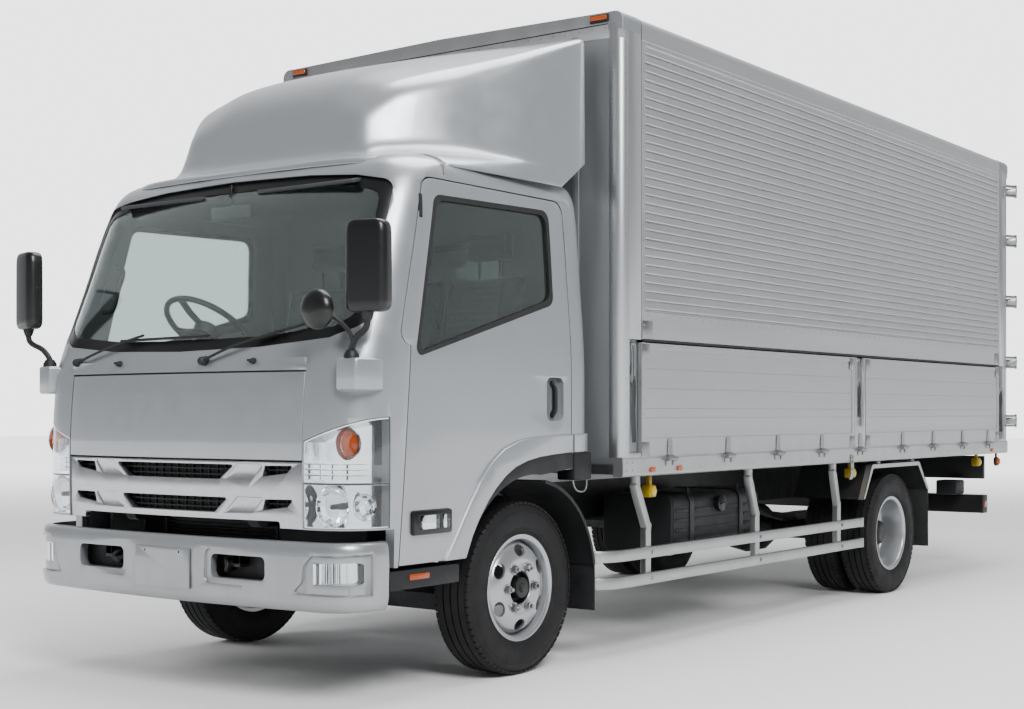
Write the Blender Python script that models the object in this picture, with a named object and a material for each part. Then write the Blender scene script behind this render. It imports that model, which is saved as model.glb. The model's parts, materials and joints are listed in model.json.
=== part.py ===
"""A light wing-body truck: cab, chassis, and a van body whose roof halves and sides open as wings.

Units are metres. +Z is up, +Y runs rearward and +X is the vehicle's left. Every size below is
measured from the ground under the front axle, and the finished truck hangs under one empty that
puts the middle of its length at Y = 0.
"""
import math

import bmesh
import bpy
from mathutils import Matrix, Vector

# Gaps
SEAT = 0.0003
RUNNING_GAP = 0.006
GLUE_GAP = 0.0006

# Wheels and axles
WHEELBASE = 3.815
RIM_RADIUS = 0.235
TYRE_RADIUS = RIM_RADIUS + 0.147
TYRE_WIDTH = 0.205
RIM_WALL = 0.012
FRONT_TYRE_X = 0.835
KINGPIN_X = 0.705
TWIN_SPACING = 0.246
TWIN_OUTER_X = 0.948
HUB_RADIUS = 0.075
VENT_COUNT = 6
VENT_RADIUS = 0.032
VENT_CIRCLE = 0.162
HUB_BACK = -0.030
TWIN_HUB_BACK = 0.085
EYE_HALF = 0.045
TYRE_SIDES = 28
RIM_SIDES = 20

# Chassis
RAIL_OUTER_X = 0.425
RAIL_FLANGE = 0.065
RAIL_WALL = 0.008
RAIL_BOTTOM = 0.60
RAIL_TOP = 0.80
RAIL_FRONT = -0.97
RAIL_REAR = 5.60
SPRING_X = 0.385
SPRING_WIDTH = 0.06
SPRING_EYE = 0.028
EYE_RISE = 0.012
SPRING_END = RAIL_BOTTOM - SEAT - SPRING_EYE - EYE_RISE
TILT_Y = -1.05
TILT_Z = 0.72
TILT_KNUCKLE = 0.03
TILT_LUG = 0.03

# Load body
BODY_HALF = 1.11
BODY_FRONT = 0.54
BODY_REAR = 5.82
FRONT_POST = 0.16
REAR_POST = 0.185
SIDE_RAIL_BOTTOM = 0.855
SIDE_RAIL_TOP = 0.945
FLOOR_THICK = 0.03
FLOOR_RAISE = 0.003
SLEEPER_WIDTH = 0.07
BEARER_COUNT = 9
GATE_TOP = 1.488
WING_BOTTOM = 1.504
WALL_TOP = 2.935
ROOF_TOP = 3.045
ROOF_THICK = 0.04
SIDE_THICK = 0.032
GATE_THICK = 0.034
CENTRE_POST_FRONT = 3.105
CENTRE_POST_REAR = 3.257
BEAM_HALF = 0.10
BEAM_LEDGE = 0.06
LEDGE_DROP = 0.0012
RIB_FIRST = 1.640
RIB_LAST = 2.895
RIB_PITCH = 0.0418
RIB_DEPTH = 0.009
HINGE_OUT = 0.018
HINGE_PIN = 0.010
HINGE_WIDTH = 0.05
GATE_HINGES = (0.96, 1.54, 2.10, 2.65)
REAR_GATE_HINGES = (3.83, 4.35, 4.89, 5.40)
POST_HINGES = (3.181,)
REAR_DOOR_THICK = 0.035
REAR_HINGE_OUT = 0.045
REAR_HINGE_BACK = 0.045
REAR_HINGE_SHARES = (0.075, 0.294, 0.522, 0.750, 0.937)
LOCK_ROD = 0.013
LOCK_ROD_STATIONS = (0.14, 0.62)

# Cab
CAB_WALL = 0.045
CAB_FLOOR_BOTTOM = 0.90
CAB_FLOOR_TOP = 0.95
CAB_REAR = 0.45
CORNER_POWER = 2.5
FRONT_BOW = 0.04
DOOR_FRONT = -0.882
DOOR_REAR = 0.300
DOOR_BOTTOM = 0.547
DOOR_TOP = 2.115
ARCH_RADIUS = TYRE_RADIUS + 0.118
ARCH_FLARE = ARCH_RADIUS + 0.145
FLARE_LIP = 0.936
LID_HALF = 0.715
LID_BOTTOM = 0.9675
LID_TOP = 1.3195
LID_THICK = 0.028
NOSE_BOTTOM = 0.70
LAMP_INNER = LID_HALF + 0.007
GLASS_INSET = 0.012
GLASS_THICK = 0.006
SIDE_SKIRT_X = 0.99
BULKHEAD_FRONT = -1.080
BULKHEAD_REAR = -1.045
POD_BOTTOM = 1.240
POD_TOP = 1.365
POD_OUTLINE = ((0.86, -1.06), (0.885, -1.130), (0.975, -1.115), (1.000, -1.04), (0.992, -0.97), (0.90, -0.96))

# Height, front face on the centre line, half width, rear face, corner width and corner length.
CAB_STATIONS = (
    (0.547, -1.175, 0.985, 0.440, 0.27, 0.26),
    (0.965, -1.180, 0.990, 0.450, 0.27, 0.26),
    (1.320, -1.158, 0.990, 0.450, 0.27, 0.26),
    (1.400, -1.135, 0.988, 0.450, 0.27, 0.26),
    (1.700, -1.022, 0.974, 0.440, 0.26, 0.255),
    (2.100, -0.865, 0.950, 0.422, 0.24, 0.25),
    (2.175, -0.815, 0.925, 0.408, 0.24, 0.25),
    (2.222, -0.730, 0.870, 0.360, 0.24, 0.25),
    (2.245, -0.560, 0.760, 0.250, 0.24, 0.25),
)
WALL_STATIONS = 6
REAR_CORNER = 0.07

# Corners of the openings: two coordinates and a rounding.
DOOR_WINDOW = ((-0.785, 1.372, 0.03), (0.175, 1.640, 0.05), (0.165, 2.062, 0.05), (-0.628, 2.046, 0.05))
SCREEN_LOW = ((0.925, 1.500), (0.80, 1.448), (0.45, 1.418), (0, 1.408))
SCREEN_HIGH = ((0, 2.150), (0.45, 2.142), (0.75, 2.118), (0.862, 2.088), (0.884, 2.03))
REAR_WINDOW_HALF = 0.52
REAR_WINDOW_LOW = 1.52
REAR_WINDOW_HIGH = 1.98
HANDLE_RECESS = ((0.105, 1.118), (0.235, 1.312))

# Grille openings: right half of the centre one, a corner one as shares of the lid's half width,
# and for each row how far it lies lower and how much narrower its centre is.
GRILLE_CENTRE = ((0.36, 0.947), (0.28, 0.888))
GRILLE_CORNER = ((0.735, 0.945), (0.935, 0.947), (0.895, 0.918), (0.715, 0.902))
GRILLE_ROWS = ((0, 1), (0.133, 0.9))
GRILLE_LOW = 0.727
GRILLE_LEG = 0.60
PLATE_RAISE = 0.004
PLATE_HALF = 0.17
PLATE_HEIGHTS = (0.457, 0.605)
HOOK_SPAN = (0.27, 0.57)
HOOK_HEIGHTS = (0.495, 0.590)

# Mirror heads: middle in plan, size and outward turn in degrees.
MIRROR_MIDDLE = (1.043, -1.120)
MIRROR_WIDTH = 0.175
MIRROR_DEPTH = 0.070
MIRROR_TURN = 15
MIRROR_HEIGHTS = (1.535, 1.885)

# Roof deflector: station, then base, shoulder, waist and ridge as half width and height, then
# the rounding of the ridge and the height on the centre line.
DEFLECTOR_STATIONS = (
    (-0.815, 0.250, 2.188, 0.220, 2.192, 0.180, 2.195, 0.120, 2.197, 0.02, 2.197),
    (-0.785, 0.600, 2.188, 0.570, 2.200, 0.500, 2.207, 0.400, 2.212, 0.05, 2.215),
    (-0.745, 0.740, 2.187, 0.700, 2.208, 0.620, 2.216, 0.400, 2.222, 0.05, 2.228),
    (-0.700, 0.805, 2.186, 0.765, 2.213, 0.620, 2.224, 0.420, 2.237, 0.05, 2.250),
    (-0.660, 0.845, 2.185, 0.800, 2.220, 0.600, 2.232, 0.440, 2.290, 0.08, 2.330),
    (-0.620, 0.870, 2.185, 0.825, 2.226, 0.610, 2.240, 0.510, 2.410, 0.13, 2.460),
    (-0.560, 0.905, 2.184, 0.865, 2.232, 0.640, 2.252, 0.565, 2.480, 0.18, 2.560),
    (-0.460, 0.927, 2.183, 0.890, 2.240, 0.705, 2.264, 0.640, 2.555, 0.20, 2.645),
    (-0.310, 0.940, 2.180, 0.915, 2.245, 0.790, 2.275, 0.725, 2.615, 0.18, 2.710),
    (-0.140, 0.951, 2.178, 0.930, 2.250, 0.855, 2.280, 0.795, 2.675, 0.15, 2.765),
    (0.050, 0.960, 2.176, 0.955, 2.250, 0.930, 2.285, 0.875, 2.745, 0.12, 2.820),
    (0.250, 0.968, 2.176, 0.968, 2.240, 0.962, 2.290, 0.935, 2.825, 0.09, 2.870),
    (0.430, 0.972, 2.176, 0.972, 2.240, 0.972, 2.300, 0.968, 2.890, 0.07, 2.905),
)
DEFLECTOR_WALL = 0.014
DEFLECTOR_LOW = 2.06
DEFLECTOR_BASE = 2.18

REAR_HINGE_X = BODY_HALF + REAR_HINGE_OUT
REAR_HINGE_Y = BODY_REAR + REAR_HINGE_BACK
OVERALL_FRONT = -1.228
OVERALL_REAR = REAR_HINGE_Y + HINGE_PIN
MIDDLE = (OVERALL_FRONT + OVERALL_REAR) / 2
WING_FRONT = BODY_FRONT + FRONT_POST + RUNNING_GAP
WING_REAR = BODY_REAR - REAR_POST - RUNNING_GAP
HINGE_X = BODY_HALF + HINGE_OUT
HINGE_Z = SIDE_RAIL_TOP - 0.012

SIDES = (("left", 1), ("right", -1))

# Name, sRGB colour, roughness and metallic value.
FINISHES = {
    "silver_paint": ("B9BDC1", 0.35, 0.6),
    "body_aluminium": ("BFC1C2", 0.4, 0.8),
    "black_plastic": ("1E1E20", 0.55, 0.0),
    "chassis_black": ("232426", 0.5, 0.3),
    "tyre_rubber": ("17181A", 0.85, 0.0),
    "wheel_silver": ("C6C8CA", 0.35, 0.7),
    "window_glass": ("5C6B68", 0.05, 0.0),
    "lamp_lens": ("D9DCDD", 0.08, 0.0),
    "grille_chrome": ("C9CBCD", 0.2, 0.9),
    "seat_cloth": ("3A3C40", 0.9, 0.0),
    "lamp_red": ("9A1512", 0.2, 0.0),
    "steel_grey": ("6C6E70", 0.5, 0.6),
}


def clear_scene():
    """Remove every object that the file holds."""
    for thing in list(bpy.data.objects):
        bpy.data.objects.remove(thing, do_unlink=True)


def linear(channel):
    """Turn one sRGB channel from 0 to 1 into a linear value."""
    return channel / 12.92 if channel <= 0.04045 else ((channel + 0.055) / 1.055) ** 2.4


def finish(name):
    """Return the named material, made on first use."""
    found = bpy.data.materials.get(name)
    if found:
        return found
    code, roughness, metallic = FINISHES[name]
    made = bpy.data.materials.new(name)
    made.use_nodes = True
    shader = made.node_tree.nodes["Principled BSDF"]
    colour = [linear(int(code[at:at + 2], 16) / 255) for at in (0, 2, 4)]
    shader.inputs["Base Color"].default_value = (*colour, 1)
    shader.inputs["Roughness"].default_value = roughness
    shader.inputs["Metallic"].default_value = metallic
    return made


def solid_from(points, faces):
    """Make a mesh object from points and faces, with its faces turned outwards."""
    mesh = bpy.data.meshes.new("solid")
    mesh.from_pydata([tuple(point) for point in points], [], faces)
    work = bmesh.new()
    work.from_mesh(mesh)
    bmesh.ops.recalc_face_normals(work, faces=work.faces)
    work.to_mesh(mesh)
    work.free()
    solid = bpy.data.objects.new("solid", mesh)
    bpy.context.scene.collection.objects.link(solid)
    return solid


def place(axis, first, second, along):
    """Turn two flat coordinates and a distance along the axis into a point."""
    if axis == "X":
        return (along, first, second)
    if axis == "Y":
        return (first, along, second)
    return (first, second, along)


def prism(axis, outline, low, high):
    """Extrude a flat outline along an axis. X takes (y, z), Y takes (x, z) and Z takes (x, y)."""
    count = len(outline)
    points = [place(axis, *point, low) for point in outline]
    points += [place(axis, *point, high) for point in outline]
    faces = [tuple(range(count)), tuple(range(count, 2 * count))]
    for at in range(count):
        after = (at + 1) % count
        faces.append((at, after, count + after, count + at))
    return solid_from(points, faces)


def block(x_span, y_span, z_span):
    """Make a box from three pairs of limits."""
    low, high = sorted(x_span)
    outline = [(y_span[0], z_span[0]), (y_span[1], z_span[0]),
               (y_span[1], z_span[1]), (y_span[0], z_span[1])]
    return prism("X", outline, low, high)


def arc(centre, radius, start, end, steps):
    """Points on a circle between two angles in degrees."""
    turns = [math.radians(start + (end - start) * at / steps) for at in range(steps + 1)]
    return [(centre[0] + radius * math.cos(turn), centre[1] + radius * math.sin(turn))
            for turn in turns]


def rounded(corners, steps=3):
    """Round an outline given as (first, second, radius) corners."""
    outline = []
    count = len(corners)
    for at, (first, second, radius) in enumerate(corners):
        here = Vector((first, second))
        if radius <= 0:
            outline.append(tuple(here))
            continue
        before = (Vector(corners[at - 1][:2]) - here).normalized()
        after = (Vector(corners[(at + 1) % count][:2]) - here).normalized()
        half = before.angle(after) / 2
        reach = radius / math.tan(half)
        middle = here + (before + after).normalized() * (radius / math.sin(half))
        start = here + before * reach - middle
        turn = start.angle_signed(here + after * reach - middle)
        for step in range(steps + 1):
            spot = start.copy()
            spot.rotate(Matrix.Rotation(-turn * step / steps, 2))
            outline.append(tuple(middle + spot))
    return outline


def turned(axis, centre, profile, sides, ring=False):
    """Turn a profile of (along, radius) points about an axis through the centre."""
    points = []
    rows = []
    for along, radius in profile:
        if radius == 0:
            rows.append([len(points)])
            points.append(along_axis(axis, centre, 0, 0, along))
            continue
        rows.append(list(range(len(points), len(points) + sides)))
        for at in range(sides):
            turn = 2 * math.pi * at / sides
            points.append(along_axis(axis, centre, radius * math.cos(turn),
                                     radius * math.sin(turn), along))
    faces = []
    pairs = list(zip(rows, rows[1:]))
    if ring:
        pairs.append((rows[-1], rows[0]))
    for low, high in pairs:
        for at in range(sides):
            after = (at + 1) % sides
            if len(low) == 1:
                faces.append((low[0], high[after], high[at]))
            elif len(high) == 1:
                faces.append((low[at], low[after], high[0]))
            else:
                faces.append((low[at], low[after], high[after], high[at]))
    return solid_from(points, faces)


def along_axis(axis, centre, first, second, along):
    """A point beside the centre, from two flat offsets and one along the axis."""
    spot = place(axis, first, second, along)
    return tuple(base + step for base, step in zip(centre, spot))


def rod(axis, centre, radius, low, high, sides=16):
    """A round bar along an axis, from low to high beside its centre."""
    return turned(axis, centre, [(low, 0), (low, radius), (high, radius), (high, 0)], sides)


def loft(rings):
    """Join rings of equal length into one closed solid with flat ends.

    The walls are triangles, so that a form and its offset bend along the same lines.
    """
    count = len(rings[0])
    points = [point for ring in rings for point in ring]
    faces = [tuple(range(count)), tuple(range(len(points) - count, len(points)))]
    for row in range(len(rings) - 1):
        for at in range(count):
            after = (at + 1) % count
            low = row * count
            high = low + count
            faces += [(low + at, low + after, high + after), (low + at, high + after, high + at)]
    return solid_from(points, faces)


def swept(path, section):
    """Sweep a flat section along a path of points, square to it at each corner."""
    spots = [Vector(point) for point in path]
    rings = []
    up = Vector((0, 0, 1))
    first = (spots[1] - spots[0]).normalized()
    if abs(first.dot(up)) > 0.9:
        up = Vector((0, 1, 0))
    across = first.cross(up).normalized()
    for at, spot in enumerate(spots):
        before = (spot - spots[at - 1]).normalized() if at else first
        after = (spots[at + 1] - spot).normalized() if at < len(spots) - 1 else before
        ahead = (before + after).normalized()
        stretch = 1 / max(0.5, ahead.dot(before))
        across = (across - ahead * across.dot(ahead)).normalized()
        side = ahead.cross(across)
        bend = (after - before)
        ring = []
        for first_step, second_step in section:
            step = across * first_step + side * second_step
            if bend.length > 1e-6:
                away = bend.normalized()
                step += away * step.dot(away) * (stretch - 1)
            ring.append(tuple(spot + step))
        rings.append(ring)
    return loft(rings)


def round_section(radius, sides=10):
    """A round section for a swept bar."""
    return [(radius * math.cos(2 * math.pi * at / sides), radius * math.sin(2 * math.pi * at / sides))
            for at in range(sides)]


def flat_section(width, height):
    """A rectangular section for a swept bar."""
    return [(-width / 2, -height / 2), (width / 2, -height / 2),
            (width / 2, height / 2), (-width / 2, height / 2)]


def settle(solid):
    """Apply a solid's modifiers to its mesh."""
    graph = bpy.context.evaluated_depsgraph_get()
    result = bpy.data.meshes.new_from_object(solid.evaluated_get(graph))
    solid.modifiers.clear()
    solid.data = result


def combine(solid, tools, operation, solver="EXACT"):
    """Join tools to a solid, cut them from it or keep what they share."""
    for tool in tools:
        step = solid.modifiers.new("step", "BOOLEAN")
        step.object = tool
        step.operation = operation
        step.solver = solver
        settle(solid)
        bpy.data.objects.remove(tool, do_unlink=True)
    return solid


def fuse(solid, *tools):
    return combine(solid, tools, "UNION")


def cut(solid, *tools):
    return combine(solid, tools, "DIFFERENCE")


def keep(solid, *tools):
    return combine(solid, tools, "INTERSECT")


def piece(name, solid, material, pivot=(0, 0, 0), sharp=32):
    """Name a finished solid, dress it and put its origin on its pivot."""
    solid.name = name
    solid.data.name = name
    solid.data.transform(Matrix.Translation(-Vector(pivot)))
    solid.location = pivot
    solid.parent = TRUCK
    solid.data.materials.clear()
    solid.data.materials.append(finish(material))
    solid.data.shade_smooth()
    solid.data.set_sharp_from_angle(angle=math.radians(sharp))
    return solid


# Wheels

def tyre_solid(centre):
    """A plain tyre with rounded shoulders. Its bead clears the rim's corners."""
    half = TYRE_WIDTH / 2
    bead = (RIM_RADIUS - RIM_WALL + SEAT) / math.cos(math.pi / TYRE_SIDES)
    foot = half * 0.80 - 0.006
    profile = [(-foot, bead), (-half, bead + 0.055), (-half * 0.97, TYRE_RADIUS - 0.045),
               (-half * 0.80, TYRE_RADIUS - 0.005), (0, TYRE_RADIUS), (half * 0.80, TYRE_RADIUS - 0.005),
               (half * 0.97, TYRE_RADIUS - 0.045), (half, bead + 0.055), (foot, bead)]
    return turned("X", centre, profile, TYRE_SIDES, ring=True)


def cut_vents(wheel, centre, low, high):
    """Cut the ring of vent holes through a disc that lies between two distances along the axle."""
    vents = []
    for at in range(VENT_COUNT):
        turn = 2 * math.pi * (at + 0.5) / VENT_COUNT
        spot = (centre[0], centre[1] + VENT_CIRCLE * math.cos(turn), centre[2] + VENT_CIRCLE * math.sin(turn))
        vents.append(rod("X", spot, VENT_RADIUS, *sorted((low, high)), 8))
    combine(wheel, vents, "DIFFERENCE", "MANIFOLD")


def front_wheels():
    """Front wheels with a convex disc, the hub and its cap, turned from one profile."""
    half = TYRE_WIDTH / 2 * 0.80
    outer = RIM_RADIUS - RIM_WALL
    inner = outer - RIM_WALL
    profile = [(HUB_BACK, 0), (HUB_BACK, 0.085), (0.072, 0.085), (0.080, 0.118), (0.076, 0.148),
               (0.058, 0.182), (0.026, 0.203), (0.015, inner), (-half, inner), (-half, outer),
               (half, outer), (half, RIM_RADIUS), (half + 0.004, RIM_RADIUS), (half, inner),
               (0.040, inner), (0.046, 0.205), (0.074, 0.188), (0.088, 0.150), (0.092, 0.118), (0.086, 0.078),
               (0.090, 0.068), (0.135, 0.062), (0.148, 0.048), (0.148, 0)]
    for label, side in SIDES:
        hub = (side * FRONT_TYRE_X, 0, TYRE_RADIUS)
        wheel = turned("X", hub, [(side * along, radius) for along, radius in profile], RIM_SIDES)
        cut_vents(wheel, hub, side * 0.03, side * 0.12)
        piece("wheel_front_" + label, wheel, "wheel_silver", hub)
        piece("tyre_front_" + label, tyre_solid(hub), "tyre_rubber", hub)


def rear_wheels():
    """Twin rear wheels, their dished discs back to back on one hub, turned from one profile."""
    half = TYRE_WIDTH / 2 * 0.80
    outer = RIM_RADIUS - RIM_WALL
    inner = outer - RIM_WALL
    out = TWIN_SPACING / 2
    rim = [(0.060, inner), (out - half, inner), (out - half, outer), (out + half, outer),
           (out + half, RIM_RADIUS), (out + half + 0.004, RIM_RADIUS), (out + half, inner), (0.080, inner)]
    dish = [(0.036, 0.160), (0.012, 0.135)]
    profile = [(-TWIN_HUB_BACK, 0), (-TWIN_HUB_BACK, 0.088), (-0.012, 0.088)]
    profile += [(-along, radius) for along, radius in dish[::-1] + rim[::-1]]
    profile += [(-0.020, 0.160), (0, 0.142), (0.020, 0.160)] + rim + dish
    profile += [(0.012, 0.084), (0.130, 0.074), (0.150, 0.058), (0.150, 0)]
    for label, side in SIDES:
        middle = (side * (TWIN_OUTER_X - out), WHEELBASE, TYRE_RADIUS)
        wheel = turned("X", middle, [(side * along, radius) for along, radius in profile], RIM_SIDES)
        cut_vents(wheel, middle, side * 0.010, side * 0.10)
        piece("wheel_rear_" + label, wheel, "wheel_silver", middle)
        for row, centre_x in (("outer", TWIN_OUTER_X), ("inner", TWIN_OUTER_X - TWIN_SPACING)):
            centre = (side * centre_x, WHEELBASE, TYRE_RADIUS)
            piece("tyre_rear_%s_%s" % (label, row), tyre_solid(centre), "tyre_rubber", middle)


# Chassis

def chassis_frame():
    inner = RAIL_OUTER_X - RAIL_FLANGE
    web = RAIL_OUTER_X - RAIL_WALL
    frame = None
    for _, side in SIDES:
        outline = [(side * RAIL_OUTER_X, RAIL_BOTTOM), (side * RAIL_OUTER_X, RAIL_TOP),
                   (side * inner, RAIL_TOP), (side * inner, RAIL_TOP - RAIL_WALL),
                   (side * web, RAIL_TOP - RAIL_WALL), (side * web, RAIL_BOTTOM + RAIL_WALL),
                   (side * inner, RAIL_BOTTOM + RAIL_WALL), (side * inner, RAIL_BOTTOM)]
        rail = prism("Y", outline, RAIL_FRONT, RAIL_REAR)
        if frame is None:
            frame = rail
            continue
        members = [block((-web - 0.004, web + 0.004), (station, station + 0.07),
                         (RAIL_BOTTOM + 0.105, RAIL_TOP - 0.02))
                   for station in (RAIL_FRONT + 0.02, 0.72, 1.75, 2.85, 4.30, RAIL_REAR - 0.09)]
        fuse(frame, members[0], rail, *members[1:])
    for _, side in SIDES:
        lug = block((side * 0.350, side * (0.350 + TILT_LUG)), (TILT_Y, RAIL_FRONT + 0.05),
                    (TILT_Z - TILT_KNUCKLE, TILT_Z + TILT_KNUCKLE))
        knuckle = rod("X", (side * 0.365, TILT_Y, TILT_Z), TILT_KNUCKLE, -TILT_LUG / 2, TILT_LUG / 2)
        rest = block((side * 0.37, side * 0.42), (0.30, 0.38), (RAIL_TOP - 0.02, CAB_FLOOR_BOTTOM - SEAT))
        bracket = block((side * (RAIL_OUTER_X - 0.004), side * 0.50), (0.60, 0.66), (0.62, 0.72))
        fuse(frame, lug, knuckle, rest, bracket)
    return piece("chassis_frame", frame, "chassis_black")


def leaf_spring(side, station, length, axle_top, leaves):
    """A bowed pack of leaves lying on its axle, with an eye at each end."""
    half = SPRING_WIDTH / 2
    thick = 0.011 * leaves
    bow = SPRING_END - axle_top
    steps = 6
    lower = [(station + length * (at / steps - 0.5),
              axle_top + bow * (2 * at / steps - 1) ** 2) for at in range(steps + 1)]
    upper = [(y, z + thick * (1 - 0.75 * abs(y - station) / (length / 2))) for y, z in reversed(lower)]
    pack = prism("X", lower + upper, side * SPRING_X - half, side * SPRING_X + half)
    for end in (-0.5, 0.5):
        middle = (side * SPRING_X, station + end * length, SPRING_END + EYE_RISE)
        fuse(pack, rod("X", middle, SPRING_EYE, -half, half, 8))
    return pack


def front_axle():
    """A forged beam, dropped between the springs, with an eye for each kingpin."""
    top = TYRE_RADIUS - 0.055
    end = KINGPIN_X - 0.02
    half = [(0, top), (0.47, top), (0.55, TYRE_RADIUS + 0.030), (end, TYRE_RADIUS + 0.034),
            (end, TYRE_RADIUS - 0.034), (0.56, TYRE_RADIUS - 0.045), (0.47, top - 0.075), (0, top - 0.075)]
    outline = half[1:-1] + [(-x, z) for x, z in half[1:-1][::-1]]
    beam = prism("Y", outline, -0.036, 0.036)
    for _, side in SIDES:
        eye = rod("Z", (side * KINGPIN_X, 0, TYRE_RADIUS), 0.042, -EYE_HALF, EYE_HALF, 12)
        spring = leaf_spring(side, 0, 1.16, top - 0.004, 4)
        fuse(beam, eye, spring)
    return piece("front_axle", beam, "chassis_black")


def steering_knuckles():
    """Each knuckle grips its eye from above and below and carries the wheel on a spindle."""
    for label, side in SIDES:
        pin = (side * KINGPIN_X, 0, TYRE_RADIUS)
        low = EYE_HALF + SEAT
        high = low + 0.035
        body = rod("X", (side * (KINGPIN_X + 0.05), 0, TYRE_RADIUS), 0.095, *sorted((0, side * 0.020)), 16)
        reach = FRONT_TYRE_X + HUB_BACK - SEAT
        spindle = rod("X", (0, 0, TYRE_RADIUS), 0.048, *sorted((side * (KINGPIN_X + 0.06), side * reach)), 12)
        yokes = []
        for way in (-1, 1):
            yokes.append(rod("Z", pin, 0.042, *sorted((way * low, way * high)), 12))
            heights = sorted(TYRE_RADIUS + way * reach for reach in (low + 0.002, high - 0.002))
            yokes.append(block((pin[0], side * (KINGPIN_X + 0.060)), (-0.036, 0.036), heights))
        arm = block((side * (KINGPIN_X - 0.10), side * (KINGPIN_X + 0.01)), (0.024, 0.165),
                    (TYRE_RADIUS - high + 0.004, TYRE_RADIUS - low - 0.006))
        combine(body, [spindle] + yokes + [arm], "UNION", "MANIFOLD")
        piece("knuckle_" + label, body, "chassis_black", pin)


def rear_axle():
    station = WHEELBASE
    reach = TWIN_OUTER_X - TWIN_SPACING / 2 - TWIN_HUB_BACK - SEAT
    tube = rod("X", (0, station, TYRE_RADIUS), 0.065, -reach, reach, 14)
    ball = turned("X", (0, station, TYRE_RADIUS), [(-0.21, 0), (-0.21, 0.07), (-0.12, 0.15), (0, 0.175),
                                                   (0.12, 0.15), (0.21, 0.07), (0.21, 0)], 18)
    nose = turned("Y", (0, station, TYRE_RADIUS),
                  [(-0.34, 0), (-0.34, 0.055), (-0.16, 0.10), (0, 0.12), (0, 0)], 20)
    fuse(tube, ball, nose)
    for _, side in SIDES:
        fuse(tube, leaf_spring(side, station, 1.34, TYRE_RADIUS + 0.052, 6))
    return piece("rear_axle", tube, "chassis_black")


def power_unit():
    """The engine and gearbox as plain blocks, with the shaft that runs back to the rear axle."""
    block_solid = block((-0.27, 0.27), (-0.42, 0.34), (0.50, 0.865))
    gearbox = turned("Y", (0, 0, 0.66), [(0.30, 0), (0.30, 0.19), (0.52, 0.15), (0.68, 0.10), (0.68, 0)], 14)
    start = Vector((0, 0.60, 0.655))
    end = Vector((0, WHEELBASE - 0.34 - SEAT, TYRE_RADIUS + 0.01))
    shaft = swept([start, end - Vector((0, 0.06, 0)), end], round_section(0.042, 10))
    feet = [block((side * 0.26, side * 0.41), (-0.05, 0.05), (RAIL_BOTTOM + RAIL_WALL + SEAT, 0.68))
            for _, side in SIDES]
    fuse(block_solid, gearbox, shaft, *feet)
    return piece("power_unit", block_solid, "steel_grey")


def tank_outline(low_x, high_x, low_z, high_z):
    return rounded([(low_x, low_z, 0.05), (high_x, low_z, 0.05),
                    (high_x, high_z, 0.05), (low_x, high_z, 0.05)])


def side_boxes():
    """The fuel tank under the left side and the battery box under the right."""
    inner = RAIL_OUTER_X + SEAT
    tank = prism("Y", tank_outline(0.50, 0.93, 0.425, 0.735), 1.28, 2.22)
    for station in (1.45, 1.98):
        strap = prism("Y", tank_outline(0.494, 0.936, 0.419, 0.741), station, station + 0.045)
        hanger = block((inner, 0.53), (station, station + 0.045), (0.62, 0.72))
        fuse(tank, strap, hanger)
    piece("fuel_tank", tank, "black_plastic")
    case = prism("Y", rounded([(-0.93, 0.46, 0.02), (-0.47, 0.46, 0.02), (-0.47, 0.74, 0.02),
                               (-0.93, 0.74, 0.02)]), 1.05, 1.62)
    hanger = block((-0.50, -inner), (1.15, 1.50), (0.63, 0.72))
    lid = prism("Y", rounded([(-0.94, 0.725, 0.01), (-0.46, 0.725, 0.01), (-0.46, 0.752, 0.01),
                              (-0.94, 0.752, 0.01)]), 1.04, 1.63)
    fuse(case, hanger, lid)
    piece("battery_box", case, "black_plastic")


def side_guards():
    rails = ((0.478, 0.055), (0.352, 0.055))
    posts = (0.90, 2.02, 3.06)
    rail_x = BODY_HALF - 0.075
    thick = 0.024
    for label, side in SIDES:
        guard = None
        for height, depth in rails:
            path = [(side * (rail_x - 0.135), 0.50, height), (side * (rail_x - 0.05), 0.545, height),
                    (side * rail_x, 0.64, height), (side * rail_x, 3.37, height)]
            bar = swept(path, flat_section(thick, depth))
            if guard is None:
                guard = bar
                continue
            second = bar
        joined = []
        for station in posts:
            path = [(side * (rail_x - 0.026), station, 0.325), (side * (rail_x - 0.026), station, 0.60),
                    (side * (BODY_HALF - 0.034), station - 0.20, SIDE_RAIL_BOTTOM - 0.06),
                    (side * (BODY_HALF - 0.034), station - 0.20, SIDE_RAIL_BOTTOM - SEAT)]
            joined.append(swept(path, flat_section(0.038, 0.045)))
        combine(guard, [joined[0], second] + joined[1:], "UNION", "MANIFOLD")
        piece("side_guard_" + label, guard, "body_aluminium")


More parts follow.
